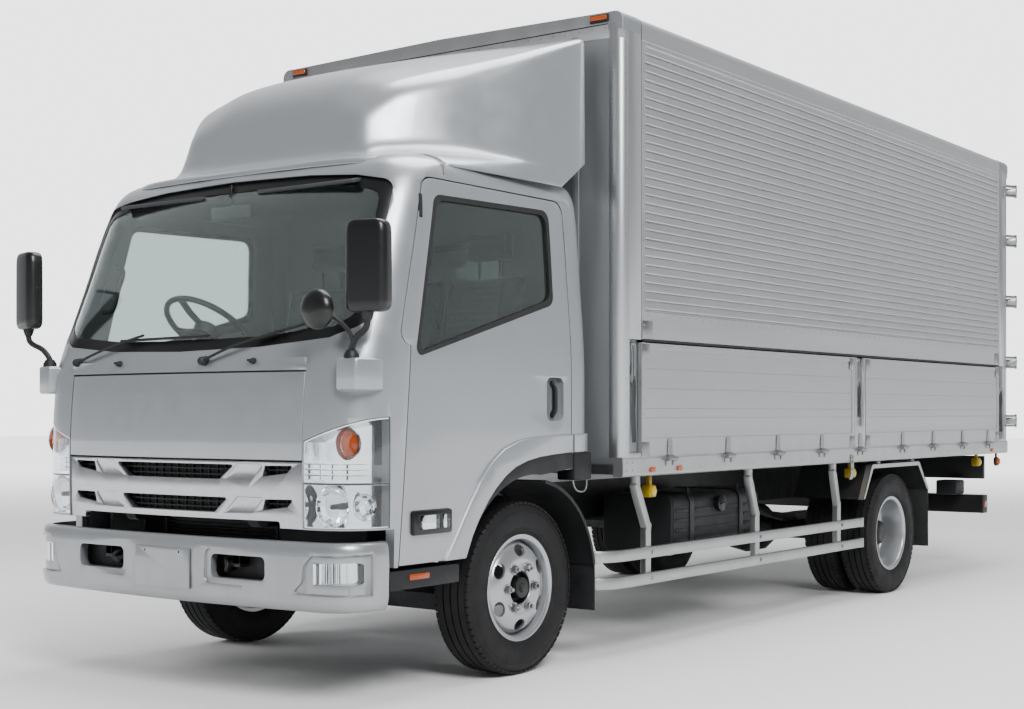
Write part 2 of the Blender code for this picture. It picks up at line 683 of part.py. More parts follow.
def mudguards():
    """Black guards over the front wheels and folded fenders over the rear pair."""
    for label, side in SIDES:
        centre = (0, TYRE_RADIUS)
        outer = ARCH_RADIUS - 0.018
        inner = outer - 0.008
        sheet = arc(centre, outer, 8, 80, 8) + arc(centre, inner, 80, 8, 8)
        span = sorted((side * 0.62, side * 1.00))
        guard = prism("X", sheet, *span)
        flap = block(span, (inner, outer), (0.235, TYRE_RADIUS + 0.078))
        arm_low = TYRE_RADIUS + 0.353
        arm = block((side * (RAIL_OUTER_X + SEAT), side * 0.64), (0.30, 0.345), (arm_low, arm_low + 0.03))
        fuse(guard, flap, arm)
        piece("front_mudguard_" + label, guard, "black_plastic")
        front = WHEELBASE - 0.515
        rear = WHEELBASE + 0.545
        top = SIDE_RAIL_BOTTOM - 0.017
        edge = BODY_HALF - 0.035
        thick = 0.006
        outer = [(front, 0.62), (front + 0.13, top), (rear - 0.16, top), (rear, 0.64)]
        inner = [(y + (thick * 1.2 if y < WHEELBASE else -thick * 1.2), z - (thick if z == top else 0))
                 for y, z in reversed(outer)]
        span = sorted((side * 0.60, side * edge))
        fender = prism("X", outer + inner, *span)
        flap = block(span, (rear - 0.012, rear - 0.004), (0.26, 0.66))
        stays = [block((side * (edge - 0.018), side * edge), (station, station + 0.04),
                       (top - 0.004, SIDE_RAIL_BOTTOM - SEAT))
                 for station in (front + 0.22, rear - 0.30)]
        fuse(fender, flap, *stays)
        piece("rear_fender_" + label, fender, "body_aluminium")


def bumper_ring(inset, height):
    """Plan outline of the bumper as points from its left end round to its right end."""
    half = 0.99 - inset
    front = OVERALL_FRONT + inset
    corner_x = 0.24
    corner_y = 0.22
    points = [(half, -0.935)]
    for at in range(7):
        turn = math.radians(90 * at / 6)
        across = (corner_x - inset) * math.cos(turn) ** (2 / CORNER_POWER)
        along = (corner_y - inset) * math.sin(turn) ** (2 / CORNER_POWER)
        points.append((0.99 - corner_x + across, OVERALL_FRONT + 0.045 + corner_y - along))
    for at in (0.66, 0.33, 0):
        points.append(((0.99 - corner_x) * at, front + 0.045 * at ** 2))
    left = points
    right = [(-x, y) for x, y in reversed(points[:-1])]
    return [(x, y, height) for x, y in left + right]


def bumper():
    wall = 0.045
    rows = ((0.385, 0.030), (0.400, 0.010), (0.440, 0.002), (0.560, 0.0), (0.630, 0.004), (0.655, 0.022))
    rings = []
    for height, inset in rows:
        outer = bumper_ring(inset + PLATE_RAISE, height)
        inner = bumper_ring(wall, height)
        rings.append(outer + list(reversed(inner)))
    shell = loft(rings)
    low, high = HOOK_HEIGHTS
    for _, side in SIDES:
        near, far = (side * x for x in HOOK_SPAN)
        hook = rounded([(near, low, 0.03), (far, low, 0.03), (far, high, 0.03), (near, high, 0.03)])
        cut(shell, prism("Y", hook, -1.4, -1.0))
    fuse(shell, block((-PLATE_HALF, PLATE_HALF), (OVERALL_FRONT, OVERALL_FRONT + 0.03), PLATE_HEIGHTS))
    for _, side in SIDES:
        span = (side * 0.375, side * 0.415)
        fuse(shell, block(span, (-1.19, -0.90), (0.54, RAIL_BOTTOM - SEAT)))
        fuse(shell, block(span, (-1.19, RAIL_FRONT - 0.01), (0.55, 0.64)))
    return piece("bumper", shell, "silver_paint")


def underride_bar():
    bar = prism("X", rounded([(5.60, 0.41, 0.012), (5.70, 0.41, 0.012), (5.70, 0.545, 0.012),
                              (5.60, 0.545, 0.012)]), -1.0, 1.0)
    for _, side in SIDES:
        leg = block((side * 0.375, side * 0.415), (RAIL_REAR - 0.12, 5.66), (0.47, RAIL_BOTTOM - SEAT))
        fuse(bar, leg)
    return piece("underride_bar", bar, "chassis_black")


def rear_lamp_bar():
    bar = block((-0.98, 0.98), (5.66, 5.70), (0.66, 0.835))
    for _, side in SIDES:
        lamp = prism("X", rounded([(5.69, 0.675, 0.0), (5.735, 0.685, 0.01), (5.735, 0.81, 0.01),
                                   (5.69, 0.82, 0.0)]), *sorted((side * 0.56, side * 0.97)))
        stay = block((side * 0.385, side * RAIL_OUTER_X), (RAIL_REAR + SEAT, 5.665), (0.68, 0.76))
        fuse(bar, lamp, stay)
    return piece("rear_lamp_bar", bar, "lamp_red")


# Load body

def deck():
    """Floor, side rails, cross bearers and the two sleepers that lie on the chassis rails."""
    under = SIDE_RAIL_TOP - FLOOR_THICK
    floor = block((-BODY_HALF + 0.002, BODY_HALF - 0.002), (BODY_FRONT, BODY_REAR), (under, SIDE_RAIL_TOP))
    additions = []
    for _, side in SIDES:
        inner = side * (BODY_HALF - 0.055)
        outer = side * BODY_HALF
        rail = rounded([(inner, SIDE_RAIL_BOTTOM, 0), (outer, SIDE_RAIL_BOTTOM, 0.012),
                        (outer, SIDE_RAIL_TOP - 0.002, 0.006), (inner, SIDE_RAIL_TOP - 0.002, 0)])
        additions.append(prism("Y", rail, BODY_FRONT + 0.001, BODY_REAR - 0.001))
    for at in range(BEARER_COUNT):
        station = BODY_FRONT + 0.12 + at * (BODY_REAR - BODY_FRONT - 0.30) / (BEARER_COUNT - 1)
        additions.append(block((-BODY_HALF + 0.03, BODY_HALF - 0.03), (station, station + 0.05),
                               (SIDE_RAIL_BOTTOM + 0.005, under + 0.01)))
    for _, side in SIDES:
        middle = side * (RAIL_OUTER_X - SLEEPER_WIDTH / 2)
        additions.append(block((middle - SLEEPER_WIDTH / 2, middle + SLEEPER_WIDTH / 2),
                               (BODY_FRONT + 0.02, BODY_REAR - 0.25), (RAIL_TOP + SEAT, under + 0.005)))
    inside = BODY_HALF - 0.08
    additions.append(block((-inside, inside), (BODY_FRONT + 0.072, BODY_REAR - REAR_DOOR_THICK - 0.02),
                           (SIDE_RAIL_TOP - 0.01, SIDE_RAIL_TOP + FLOOR_RAISE)))
    fuse(floor, *additions)
    for _, side in SIDES:
        for station in GATE_HINGES + REAR_GATE_HINGES + POST_HINGES:
            for end in (-1, 1):
                middle = station + end * (HINGE_WIDTH / 2 + 0.008 + SEAT)
                fuse(floor, prism("Y", hinge_tab(side), middle - 0.008, middle + 0.008))
    return piece("deck", floor, "body_aluminium")


def hinge_tab(side):
    """Outline of a fixed hinge ear: round about the pin, with a foot in the side rail."""
    nose = arc((HINGE_X, HINGE_Z), HINGE_PIN, 90, -90, 3)
    outline = nose + [(BODY_HALF - 0.01, HINGE_Z - HINGE_PIN - 0.012), (BODY_HALF - 0.01, HINGE_Z + 0.004)]
    return [(side * x, z) for x, z in outline]


def post_outline(side, front, rear):
    """Plan outline of a corner post, rounded at its outer edge."""
    outer_radius = 0.035
    if front == BODY_FRONT:
        corners = [(side * (BODY_HALF - 0.075), front, 0), (side * BODY_HALF, front, outer_radius),
                   (side * BODY_HALF, rear, 0), (side * (BODY_HALF - 0.075), rear, 0)]
    else:
        corners = [(side * (BODY_HALF - 0.075), front, 0), (side * BODY_HALF, front, 0),
                   (side * BODY_HALF, rear, outer_radius), (side * (BODY_HALF - 0.075), rear, 0)]
    return rounded(corners, 4)


def front_wall():
    base = SIDE_RAIL_TOP + SEAT
    wall = block((-BODY_HALF + 0.03, BODY_HALF - 0.03), (BODY_FRONT + 0.004, BODY_FRONT + 0.045),
                 (base, WALL_TOP + 0.03))
    ribs = [block((x - 0.02, x + 0.02), (BODY_FRONT + 0.04, BODY_FRONT + 0.065), (base, WALL_TOP))
            for x in (-0.72, -0.36, 0, 0.36, 0.72)]
    posts = [prism("Z", post_outline(side, BODY_FRONT, BODY_FRONT + FRONT_POST), base, WALL_TOP + 0.06)
             for _, side in SIDES]
    header = prism("Y", header_outline(), BODY_FRONT + 0.0015, BODY_FRONT + FRONT_POST)
    fuse(wall, *ribs, *posts, header)
    return piece("front_wall", wall, "body_aluminium")


def header_outline():
    """Face outline of the header at each end of the roof, arched and rounded at its ends."""
    half = BODY_HALF - 0.0015
    low = WALL_TOP - 0.03
    corners = [(half, low, 0), (half, ROOF_TOP - 0.018, 0.04), (0, ROOF_TOP, 0),
               (-half, ROOF_TOP - 0.018, 0.04), (-half, low, 0)]
    return rounded(corners, 4)


def body_portal():
    """The rear frame and the roof beam that carries both wings."""
    base = SIDE_RAIL_TOP + SEAT
    front = BODY_REAR - REAR_POST
    portal = prism("Z", post_outline(1, front, BODY_REAR), base, WALL_TOP + 0.06)
    header = prism("Y", header_outline(), front, BODY_REAR - 0.0015)
    other = prism("Z", post_outline(-1, front, BODY_REAR), base, WALL_TOP + 0.06)
    under = ROOF_TOP - ROOF_THICK - 0.05
    seat = ROOF_TOP - ROOF_THICK - LEDGE_DROP
    edge = BEAM_HALF - 0.001
    beam_outline = [(-BEAM_HALF - BEAM_LEDGE, under), (BEAM_HALF + BEAM_LEDGE, under),
                    (BEAM_HALF + BEAM_LEDGE, seat), (edge, seat), (edge, ROOF_TOP - 0.001),
                    (-edge, ROOF_TOP - 0.001), (-edge, seat), (-BEAM_HALF - BEAM_LEDGE, seat)]
    beam = prism("Y", beam_outline, BODY_FRONT + FRONT_POST + SEAT, front + 0.03)
    fuse(portal, header, other, beam)
    cut(portal, block((-BODY_HALF + 0.02, BODY_HALF - 0.02),
                      (BODY_REAR - REAR_DOOR_THICK - 0.01, BODY_REAR + 0.1), (base - 0.01, WALL_TOP - 0.005)))
    for _, side in SIDES:
        for height in rear_hinge_heights():
            for end in (-1, 1):
                fuse(portal, rear_ear(side, height + end * (HINGE_WIDTH / 2 + 0.01 + SEAT)))
    return piece("body_portal", portal, "body_aluminium")


def rear_hinge_heights():
    """Heights of the rear doors' hinges, spread over the doors' height."""
    return [SIDE_RAIL_TOP + (WALL_TOP - SIDE_RAIL_TOP) * share for share in REAR_HINGE_SHARES]


def rear_nose(side, start, end):
    """Rounded end of a rear hinge leaf about its pin."""
    return [(side * x, y) for x, y in arc((REAR_HINGE_X, REAR_HINGE_Y), HINGE_PIN, start, end, 3)]


def rear_ear(side, middle):
    """The plate that carries one rear hinge pin, from the post's side face."""
    near = side * (BODY_HALF - 0.012)
    outline = [(near, BODY_REAR - 0.06), (side * (BODY_HALF + 0.004), BODY_REAR - 0.06)]
    outline += rear_nose(side, -30, 130) + [(near, BODY_REAR - 0.040)]
    return prism("Z", outline, middle - 0.01, middle + 0.01)


def wing_outline(side):
    """Cross-section of a wing: ribbed side wall, rounded shoulder and half of the roof."""
    outer = BODY_HALF
    pivot_x = BEAM_HALF + 0.003
    outline = [(outer - SIDE_THICK, WING_BOTTOM), (outer - 0.002, WING_BOTTOM), (outer, WING_BOTTOM + 0.004),
               (outer, RIB_FIRST - 0.006)]
    count = int((RIB_LAST - RIB_FIRST) / RIB_PITCH)
    pitch = (RIB_LAST - RIB_FIRST) / count
    for at in range(count):
        low = RIB_FIRST + at * pitch
        outline += [(outer - RIB_DEPTH, low), (outer - RIB_DEPTH * 0.55, low + pitch * 0.35),
                    (outer - 0.0005, low + pitch * 0.74), (outer - 0.001, low + pitch * 0.9)]
    outline += [(outer, RIB_LAST + 0.006)]
    outline += arc((outer - 0.045, ROOF_TOP - 0.018 - 0.045), 0.045, 0, 90, 4)
    outline += [(pivot_x, ROOF_TOP - 0.001), (pivot_x, ROOF_TOP - ROOF_THICK),
                (outer - 0.11, ROOF_TOP - ROOF_THICK - 0.014), (outer - SIDE_THICK, ROOF_TOP - 0.13)]
    return [(side * x, z) for x, z in outline]


def wings():
    for label, side in SIDES:
        wing = prism("Y", wing_outline(side), WING_FRONT, WING_REAR)
        piece("wing_" + label, wing, "body_aluminium", (side * BEAM_HALF, 0, ROOF_TOP), sharp=40)


def gate_outline(side):
    """Cross-section of a drop side: three planks with a groove at each seam."""
    outer = BODY_HALF - 0.001
    inner = outer - GATE_THICK
    low = SIDE_RAIL_TOP + SEAT
    height = GATE_TOP - low
    outline = [(inner, low), (outer, low)]
    for share in (1 / 3, 2 / 3):
        seam = low + height * share
        outline += [(outer, seam - 0.006), (outer - 0.006, seam), (outer, seam + 0.006)]
    outline += [(outer, GATE_TOP), (inner, GATE_TOP)]
    return [(side * x, z) for x, z in outline]


def hinge_straps(side, stations):
    """The middle knuckle of each gate hinge with its strap down the gate's outer face."""
    made = []
    for station in stations:
        outline = [(BODY_HALF - 0.006, SIDE_RAIL_TOP + 0.05), (BODY_HALF - 0.006, SIDE_RAIL_TOP + 0.006)]
        outline += arc((HINGE_X, HINGE_Z), HINGE_PIN, 150, 380, 4)
        outline.append((BODY_HALF + 0.006, SIDE_RAIL_TOP + 0.045))
        made.append(prism("Y", [(side * x, z) for x, z in outline],
                          station - HINGE_WIDTH / 2, station + HINGE_WIDTH / 2))
    return made


def gates():
    spans = (("front", BODY_FRONT + FRONT_POST + RUNNING_GAP, CENTRE_POST_FRONT - RUNNING_GAP, GATE_HINGES),
             ("rear", CENTRE_POST_REAR + RUNNING_GAP, BODY_REAR - REAR_POST - RUNNING_GAP, REAR_GATE_HINGES))
    for label, side in SIDES:
        for row, low, high, stations in spans:
            gate = prism("Y", gate_outline(side), low, high)
            fuse(gate, *hinge_straps(side, stations))
            piece("gate_%s_%s" % (row, label), gate, "body_aluminium", (side * HINGE_X, 0, HINGE_Z))


def centre_posts():
    for label, side in SIDES:
        outer = side * (BODY_HALF - 0.001)
        inner = side * (BODY_HALF - 0.06)
        post = block((inner, outer), (CENTRE_POST_FRONT, CENTRE_POST_REAR), (SIDE_RAIL_TOP + SEAT, GATE_TOP))
        recess = block((side * (BODY_HALF - 0.022), side * (BODY_HALF + 0.05)),
                       (CENTRE_POST_FRONT + 0.035, CENTRE_POST_REAR - 0.035), (1.16, GATE_TOP + 0.1))
        cut(post, recess)
        handle = block((side * (BODY_HALF - 0.026), side * (BODY_HALF - 0.004)),
                       (3.168, 3.194), (1.20, 1.45))
        fuse(post, handle, *hinge_straps(side, POST_HINGES))
        piece("centre_post_" + label, post, "body_aluminium", (side * HINGE_X, 0, HINGE_Z))


def rear_doors():
    for label, side in SIDES:
        outer_edge = BODY_HALF - 0.02 - RUNNING_GAP
        low = SIDE_RAIL_TOP + RUNNING_GAP
        high = WALL_TOP - 0.005 - RUNNING_GAP
        rear = BODY_REAR - 0.002
        door = block((side * 0.003, side * outer_edge), (rear - REAR_DOOR_THICK, rear), (low, high))
        extras = []
        for x in LOCK_ROD_STATIONS:
            middle = (side * x, rear + LOCK_ROD + 0.006, 0)
            extras.append(rod("Z", middle, LOCK_ROD, low - 0.004, high - 0.02, 8))
            for height in (low + 0.10, low + 0.40, high - 0.12):
                extras.append(block((side * (x - 0.03), side * (x + 0.03)),
                                    (rear - 0.004, rear + LOCK_ROD + 0.02), (height, height + 0.05)))
        root = side * (BODY_HALF - 0.21)
        for height in rear_hinge_heights():
            strap = [(root, rear - 0.002), (side * (outer_edge - 0.002), rear - 0.002)]
            strap += rear_nose(side, -60, 120)
            strap += [(side * (outer_edge - 0.03), rear + 0.012), (root, rear + 0.010)]
            extras.append(prism("Z", strap, height - HINGE_WIDTH / 2, height + HINGE_WIDTH / 2))
        fuse(door, *extras)
        piece("rear_door_" + label, door, "body_aluminium", (side * REAR_HINGE_X, REAR_HINGE_Y, 0))


# Cab

def cab_ring(station, inset, lift):
    """One level outline of the cab, moved inwards by the inset."""
    height, front, half, rear, corner_x, corner_y = station
    centre_x = half - corner_x
    centre_y = front + FRONT_BOW + corner_y
    power = 2 / CORNER_POWER
    points = []
    for share in (0, 0.5):
        points.append((centre_x * share, front + inset + FRONT_BOW * share ** 2))
    steps = 6
    for at in range(steps + 1):
        turn = math.radians(90 * at / steps)
        points.append((centre_x + (corner_x - inset) * math.sin(turn) ** power,
                       centre_y - (corner_y - inset) * math.cos(turn) ** power))
    points.append((half - inset, -0.10))
    rear_centre = (half - REAR_CORNER, rear - REAR_CORNER)
    points += arc(rear_centre, REAR_CORNER - inset, 0, 90, 2)
    points.append((0, rear - inset))
    left = points
    right = [(-x, y) for x, y in reversed(points[1:-1])]
    return [(x, y, height + lift) for x, y in left + right]


def cab_solid(inset, roof_drop, bottom=None):
    """The cab's closed outer form, moved inwards at its walls and down at its roof."""
    rings = []
    for at, station in enumerate(CAB_STATIONS):
        lift = -roof_drop if at >= WALL_STATIONS - 1 else 0
        rings.append(cab_ring(station, inset, lift))
    if bottom is not None:
        rings = [ring for ring in rings if ring[0][2] > bottom + 0.02]
        low = station_at(bottom)
        rings.insert(0, cab_ring(low, inset, 0))
    return loft(rings)


def station_at(height):
    """Interpolate the cab's stations at a height."""
    for low, high in zip(CAB_STATIONS, CAB_STATIONS[1:]):
        if low[0] <= height <= high[0]:
            share = (height - low[0]) / (high[0] - low[0])
            return tuple(a + (b - a) * share for a, b in zip(low, high))
    raise ValueError("height outside the cab")


def arch_cutter(side, radius, reach):
    """Everything below the wheel arch, from the arch's foot back to the rear of the cab."""
    foot = math.degrees(math.asin((DOOR_BOTTOM - 0.05 - TYRE_RADIUS) / radius))
    curve = arc((0, TYRE_RADIUS), radius, 180 - foot, 90, 12)
    top = TYRE_RADIUS + radius
    outline = [(curve[0][0], 0.30)] + curve + [(0.10, top + 0.004), (0.62, top + 0.016), (0.62, 0.30)]
    return prism("X", outline, *sorted((side * reach, side * 1.10)))


def door_outline(gap, arch):
    """Side outline of the door above a wheel arch, drawn in by a gap on every edge."""
    radius = arch + gap
    foot = math.degrees(math.asin((DOOR_BOTTOM + gap - TYRE_RADIUS) / radius))
    curve = arc((0, TYRE_RADIUS), radius, 180 - foot, 96, 9)
    outline = [(DOOR_FRONT + gap, DOOR_BOTTOM + gap)] + curve
    outline += [(0.06, TYRE_RADIUS + radius), (DOOR_REAR - gap, TYRE_RADIUS + radius + 0.01)]
    outline += rounded([(DOOR_REAR - gap, 1.50, 0), (DOOR_REAR - 0.028 - gap, DOOR_TOP - gap, 0.06),
                        (-0.685 + gap, DOOR_TOP - gap, 0.06), (DOOR_FRONT + gap, 1.42, 0.05)], 3)
    return outline


def through_side(side, outline, near=0.70):
    """A cutter through one side of the cab."""
    return prism("X", outline, *sorted((side * near, side * 1.10)))


def window_outline(gap):
    """Side outline of the door's window, drawn in by a gap."""
    middle_y = sum(corner[0] for corner in DOOR_WINDOW) / 4
    middle_z = sum(corner[1] for corner in DOOR_WINDOW) / 4
    return rounded([(y + math.copysign(gap, middle_y - y), z + math.copysign(gap, middle_z - z), radius)
                    for y, z, radius in DOOR_WINDOW], 3)


def windscreen_outline(gap):
    """Front outline of the windscreen: a low arch above and a shallow curve below."""
    low = [(x - gap * (x > 0.85), z + gap) for x, z in SCREEN_LOW]
    high = [(x - gap * (x > 0.85), z - gap) for x, z in SCREEN_HIGH]
    right = low[::-1] + high[::-1]
    left = [(-x, z) for x, z in reversed(right[1:-1])]
    return right + left


def glazing(outline_solid):
    """The slice of a window's opening that its pane fills."""
    pane = cab_solid(GLASS_INSET, GLASS_INSET)
    cut(pane, cab_solid(GLASS_INSET + GLASS_THICK, GLASS_INSET + GLASS_THICK, 0.6))
    return keep(pane, outline_solid)


def lamp_outline(side, gap):
    """Front outline of a headlamp: its top edge rises towards the cab's corner."""
    inner = side * (LAMP_INNER + gap)
    low = NOSE_BOTTOM + 0.006 + gap
    return [(inner, low), (side * 1.02, low), (side * 1.02, 1.152 - gap), (inner, 1.045 - gap)]


def rear_window_outline(gap):
    half = REAR_WINDOW_HALF - gap
    low = REAR_WINDOW_LOW + gap
    high = REAR_WINDOW_HIGH - gap
    return rounded([(-half, low, 0.06), (half, low, 0.06), (half, high, 0.06), (-half, high, 0.06)])


def cab_shell():
    shell = cab_solid(0, 0)
    cut(shell, cab_solid(CAB_WALL, CAB_WALL, CAB_FLOOR_TOP))
    under = [cab_ring(station_at(0.548), CAB_WALL, -0.1), cab_ring(station_at(CAB_FLOOR_BOTTOM), CAB_WALL, 0)]
    cut(shell, loft(under))
    cut(shell, block((-1.2, 1.2), (-1.4, -0.905), (0.4, NOSE_BOTTOM)))
    cut(shell, block((-1.2, 1.2), (0.20, 0.60), (0.4, CAB_FLOOR_BOTTOM)))
    hump = block((-0.36, 0.36), (-0.50, CAB_REAR - 0.02), (CAB_FLOOR_TOP - 0.02, 1.13))
    fuse(shell, hump)
    cut(shell, block((-0.32, 0.32), (-0.46, CAB_REAR - CAB_WALL), (0.80, 1.09)))
    for _, side in SIDES:
        cut(shell, arch_cutter(side, ARCH_RADIUS, 0.50))
        cut(shell, through_side(side, door_outline(0, ARCH_FLARE)))
        cut(shell, through_side(side, door_outline(0, ARCH_RADIUS - 0.02), FLARE_LIP))
        cut(shell, prism("Y", lamp_outline(side, 0), -1.4, -0.93))
    cut(shell, prism("Y", windscreen_outline(0), -1.4, -0.50))
    cut(shell, prism("Y", rear_window_outline(0), 0.20, 0.60))
    nose = LID_HALF + 0.003
    cut(shell, block((-nose, nose), (-1.4, -1.0), (NOSE_BOTTOM - 0.1, LID_TOP + 0.003)))
    bulkhead = block((-LID_HALF, LID_HALF), (BULKHEAD_FRONT, BULKHEAD_REAR), (CAB_FLOOR_BOTTOM + 0.002, 1.36))
    ledge = block((-LID_HALF, LID_HALF), (-1.122, BULKHEAD_REAR - 0.002), (1.345, 1.372))
    buffers = [block((x - 0.02, x + 0.02), (lid_inner_face(x, 1.02) + SEAT, BULKHEAD_FRONT + 0.01),
                     (1.0, 1.02)) for x in (-LID_HALF / 2, LID_HALF / 2)]
    fuse(shell, bulkhead, ledge, *buffers)
    for _, side in SIDES:
        lug = block((side * (0.380 + SEAT), side * (0.380 + SEAT + TILT_LUG)),
                    (TILT_Y - 0.028, TILT_Y + 0.028), (TILT_Z, CAB_FLOOR_BOTTOM + 0.01))
        knuckle = rod("X", (side * (0.395 + SEAT), TILT_Y, TILT_Z), TILT_KNUCKLE, -TILT_LUG / 2, TILT_LUG / 2)
        face = SIDE_SKIRT_X - CAB_WALL - SEAT
        pad = [(side * 0.90, -0.925), (side * 0.96, -0.925), (side * 0.96, DOOR_FRONT - 0.006),
               (side * face, DOOR_FRONT - 0.006), (side * face, -0.79), (side * 0.90, -0.79)]
        pads = [prism("Z", pad, height, height + 0.10) for height in (0.97, 1.20)]
        pod = prism("Z", [(side * x, y) for x, y in POD_OUTLINE], POD_BOTTOM, POD_TOP)
        fuse(shell, lug, knuckle, pod)
        for pad in pads:
            fuse(shell, pad)
    return piece("cab_shell", shell, "silver_paint", (0, TILT_Y, TILT_Z))


def front_lid():
    lid = cab_solid(0, 0)
    cut(lid, cab_solid(LID_THICK, LID_THICK, 0.6))
    keep(lid, block((-LID_HALF, LID_HALF), (-1.4, -1.0), (LID_BOTTOM, LID_TOP - 0.003)))
    piece("front_lid", lid, "silver_paint", (0, lid_axis_y(), LID_TOP))


def lid_inner_face(x, height):
    """Rearmost Y of the lid's inner face near a distance from the centre line."""
    station = station_at(height)
    share = (abs(x) + 0.02) / (station[2] - station[4])
    return station[1] + FRONT_BOW * max(share ** 2, share * 1.5 - 0.5) + LID_THICK


def lid_axis_y():
    """The lid's hinge line runs through its foremost point at its top edge."""
    return station_at(LID_TOP)[1]


def grille():
    front = cab_solid(0.004, 0)
    cut(front, cab_solid(0.035, 0.03, 0.56))
    half = LID_HALF - 0.001
    keep(front, block((-half, half), (-1.4, -1.0), (NOSE_BOTTOM, LID_BOTTOM - RUNNING_GAP)))
    for drop, narrow in GRILLE_ROWS:
        centre = [(x * narrow, z - drop) for x, z in GRILLE_CENTRE]
        cut(front, prism("Y", centre + [(-x, z) for x, z in reversed(centre)], -1.4, -1.0))
        for _, side in SIDES:
            corner = [(side * LID_HALF * share, z - drop) for share, z in GRILLE_CORNER]
            cut(front, prism("Y", corner, -1.4, -1.0))
    cut(front, block((-GRILLE_LEG, GRILLE_LEG), (-1.4, -1.0), (NOSE_BOTTOM - 0.05, GRILLE_LOW)))
    stays = [block((x - 0.02, x + 0.02), (-1.15, BULKHEAD_FRONT - SEAT), (0.95, 0.958))
             for x in (-0.63 * LID_HALF, 0.63 * LID_HALF)]
    fuse(front, *stays)
    piece("grille", front, "grille_chrome", (0, TILT_Y, TILT_Z))


def headlamps():
    for label, side in SIDES:
        lamp = cab_solid(0.002, 0)
        cut(lamp, cab_solid(CAB_WALL + 0.03, 0.03, 0.56))
        keep(lamp, prism("Y", lamp_outline(side, SEAT), -1.4, -0.93 - SEAT))
        piece("headlamp_" + label, lamp, "lamp_lens", (0, TILT_Y, TILT_Z))


def cab_glass():
    for name, opening in (("windscreen", prism("Y", windscreen_outline(SEAT), -1.4, -0.50)),
                          ("rear_window", prism("Y", rear_window_outline(SEAT), 0.20, 0.60))):
        piece(name, glazing(opening), "window_glass", (0, TILT_Y, TILT_Z))


def doors():
    for label, side in SIDES:
        axis = (side * 0.990, DOOR_FRONT, 0)
        door = cab_solid(0, 0)
        cut(door, cab_solid(CAB_WALL, CAB_WALL, 0.5475))
        keep(door, through_side(side, door_outline(RUNNING_GAP, ARCH_RADIUS)))
        cut(door, through_side(side, window_outline(0)))
        (front, low), (rear, high) = HANDLE_RECESS
        recess = rounded([(front, low, 0.02), (rear, low, 0.02), (rear, high, 0.02), (front, high, 0.02)])
        cut(door, through_side(side, recess, 0.965))
        handle = block((side * 0.955, side * 0.984), (0.155, 0.185), (1.14, 1.29))
        fuse(door, handle)
        piece("door_" + label, door, "silver_paint", axis)
        pane = glazing(through_side(side, window_outline(SEAT)))
        piece("door_glass_" + label, pane, "window_glass", axis)


def dashboard():
    """The dashboard with the steering column and wheel on the driver's side."""
    outline = rounded([(-1.20, 1.03, 0), (-0.80, 1.03, 0.03), (-0.66, 1.16, 0.04), (-0.62, 1.34, 0.04),
                       (-0.74, 1.40, 0.04), (-1.20, 1.385, 0)])
    dash = prism("X", outline, -0.89, 0.89)
    keep(dash, cab_solid(CAB_WALL + 0.035, 0.03, 0.6))
    cut(dash, block((-1, 1), (-1.3, BULKHEAD_REAR + SEAT), (0.9, 1.5)))
    hub = Vector((-0.50, -0.53, 1.545))
    tilt = Matrix.Rotation(math.radians(-38), 4, "X")
    rim_points = []
    for at in range(22):
        turn = 2 * math.pi * at / 22
        rim_points.append(Vector((0.215 * math.cos(turn), 0.215 * math.sin(turn), 0)))
    rim = ring_tube(rim_points, 0.014, 6)
    spokes = [swept([(-0.21, 0, -0.008), (0.21, 0, -0.008)], flat_section(0.018, 0.04)),
              swept([(0, 0, -0.008), (0, -0.21, -0.008)], flat_section(0.018, 0.04)),
              rod("Z", (0, 0, 0), 0.055, -0.05, 0.012, 18), rod("Z", (0, 0, 0), 0.032, -0.42, -0.04, 14)]
    combine(rim, spokes, "UNION", "MANIFOLD")
    rim.data.transform(Matrix.Translation(hub) @ tilt)
    combine(dash, [rim], "UNION", "MANIFOLD")
    piece("dashboard", dash, "black_plastic", (0, TILT_Y, TILT_Z))


def ring_tube(points, radius, sides):
    """A closed round tube through a ring of points that lie flat about the origin."""
    verts = []
    faces = []
    count = len(points)
    for point in points:
        out = point.normalized()
        for at in range(sides):
            turn = 2 * math.pi * at / sides
            rise = Vector((0, 0, radius * math.sin(turn)))
            verts.append(tuple(point + out * radius * math.cos(turn) + rise))
    for at in range(count):
        after = (at + 1) % count
        for step in range(sides):
            nearby = (step + 1) % sides
            faces.append((at * sides + step, after * sides + step,
                          after * sides + nearby, at * sides + nearby))
    return solid_from(verts, faces)


def seat_outline():
    """Side outline of a seat: cushion, backrest and headrest."""
    return rounded([(-0.36, 1.135, 0.03), (0.20, 1.135, 0.02), (0.32, 1.80, 0.01), (0.33, 1.845, 0.0),
                    (0.345, 2.02, 0.03), (0.245, 2.03, 0.03), (0.235, 1.86, 0.0), (0.20, 1.82, 0.03),
                    (0.075, 1.262, 0.05), (-0.36, 1.285, 0.05)])


def seats():
    for name, low, high in (("seat_driver", -0.76, -0.24), ("seat_bench", -0.20, 0.76)):
        seat = prism("X", seat_outline(), low, high)
        width = high - low
        places = 1 if width < 0.7 else 2
        share = width / places
        for at in range(places):
            middle = low + share * (at + 0.5)
            for end in (-1, 1):
                edge = middle + end * 0.145
                limit = middle + end * (share / 2 + 0.01)
                cut(seat, block((edge, limit), (0.10, 0.50), (1.83, 2.10)))
        low_x, high_x = (low, -0.38) if name == "seat_driver" else (0.38, high)
        stand = block((low_x + 0.02, high_x - 0.02), (-0.26, 0.16), (CAB_FLOOR_TOP + SEAT, 1.15))
        fuse(seat, stand)
        piece(name, seat, "seat_cloth", (0, TILT_Y, TILT_Z))


def toward(start, end, distance):
    """A point on the way from one flat point to another, at most near its middle."""
    way = Vector(end) - Vector(start)
    return tuple(Vector(start) + way * min(distance / way.length, 0.45))


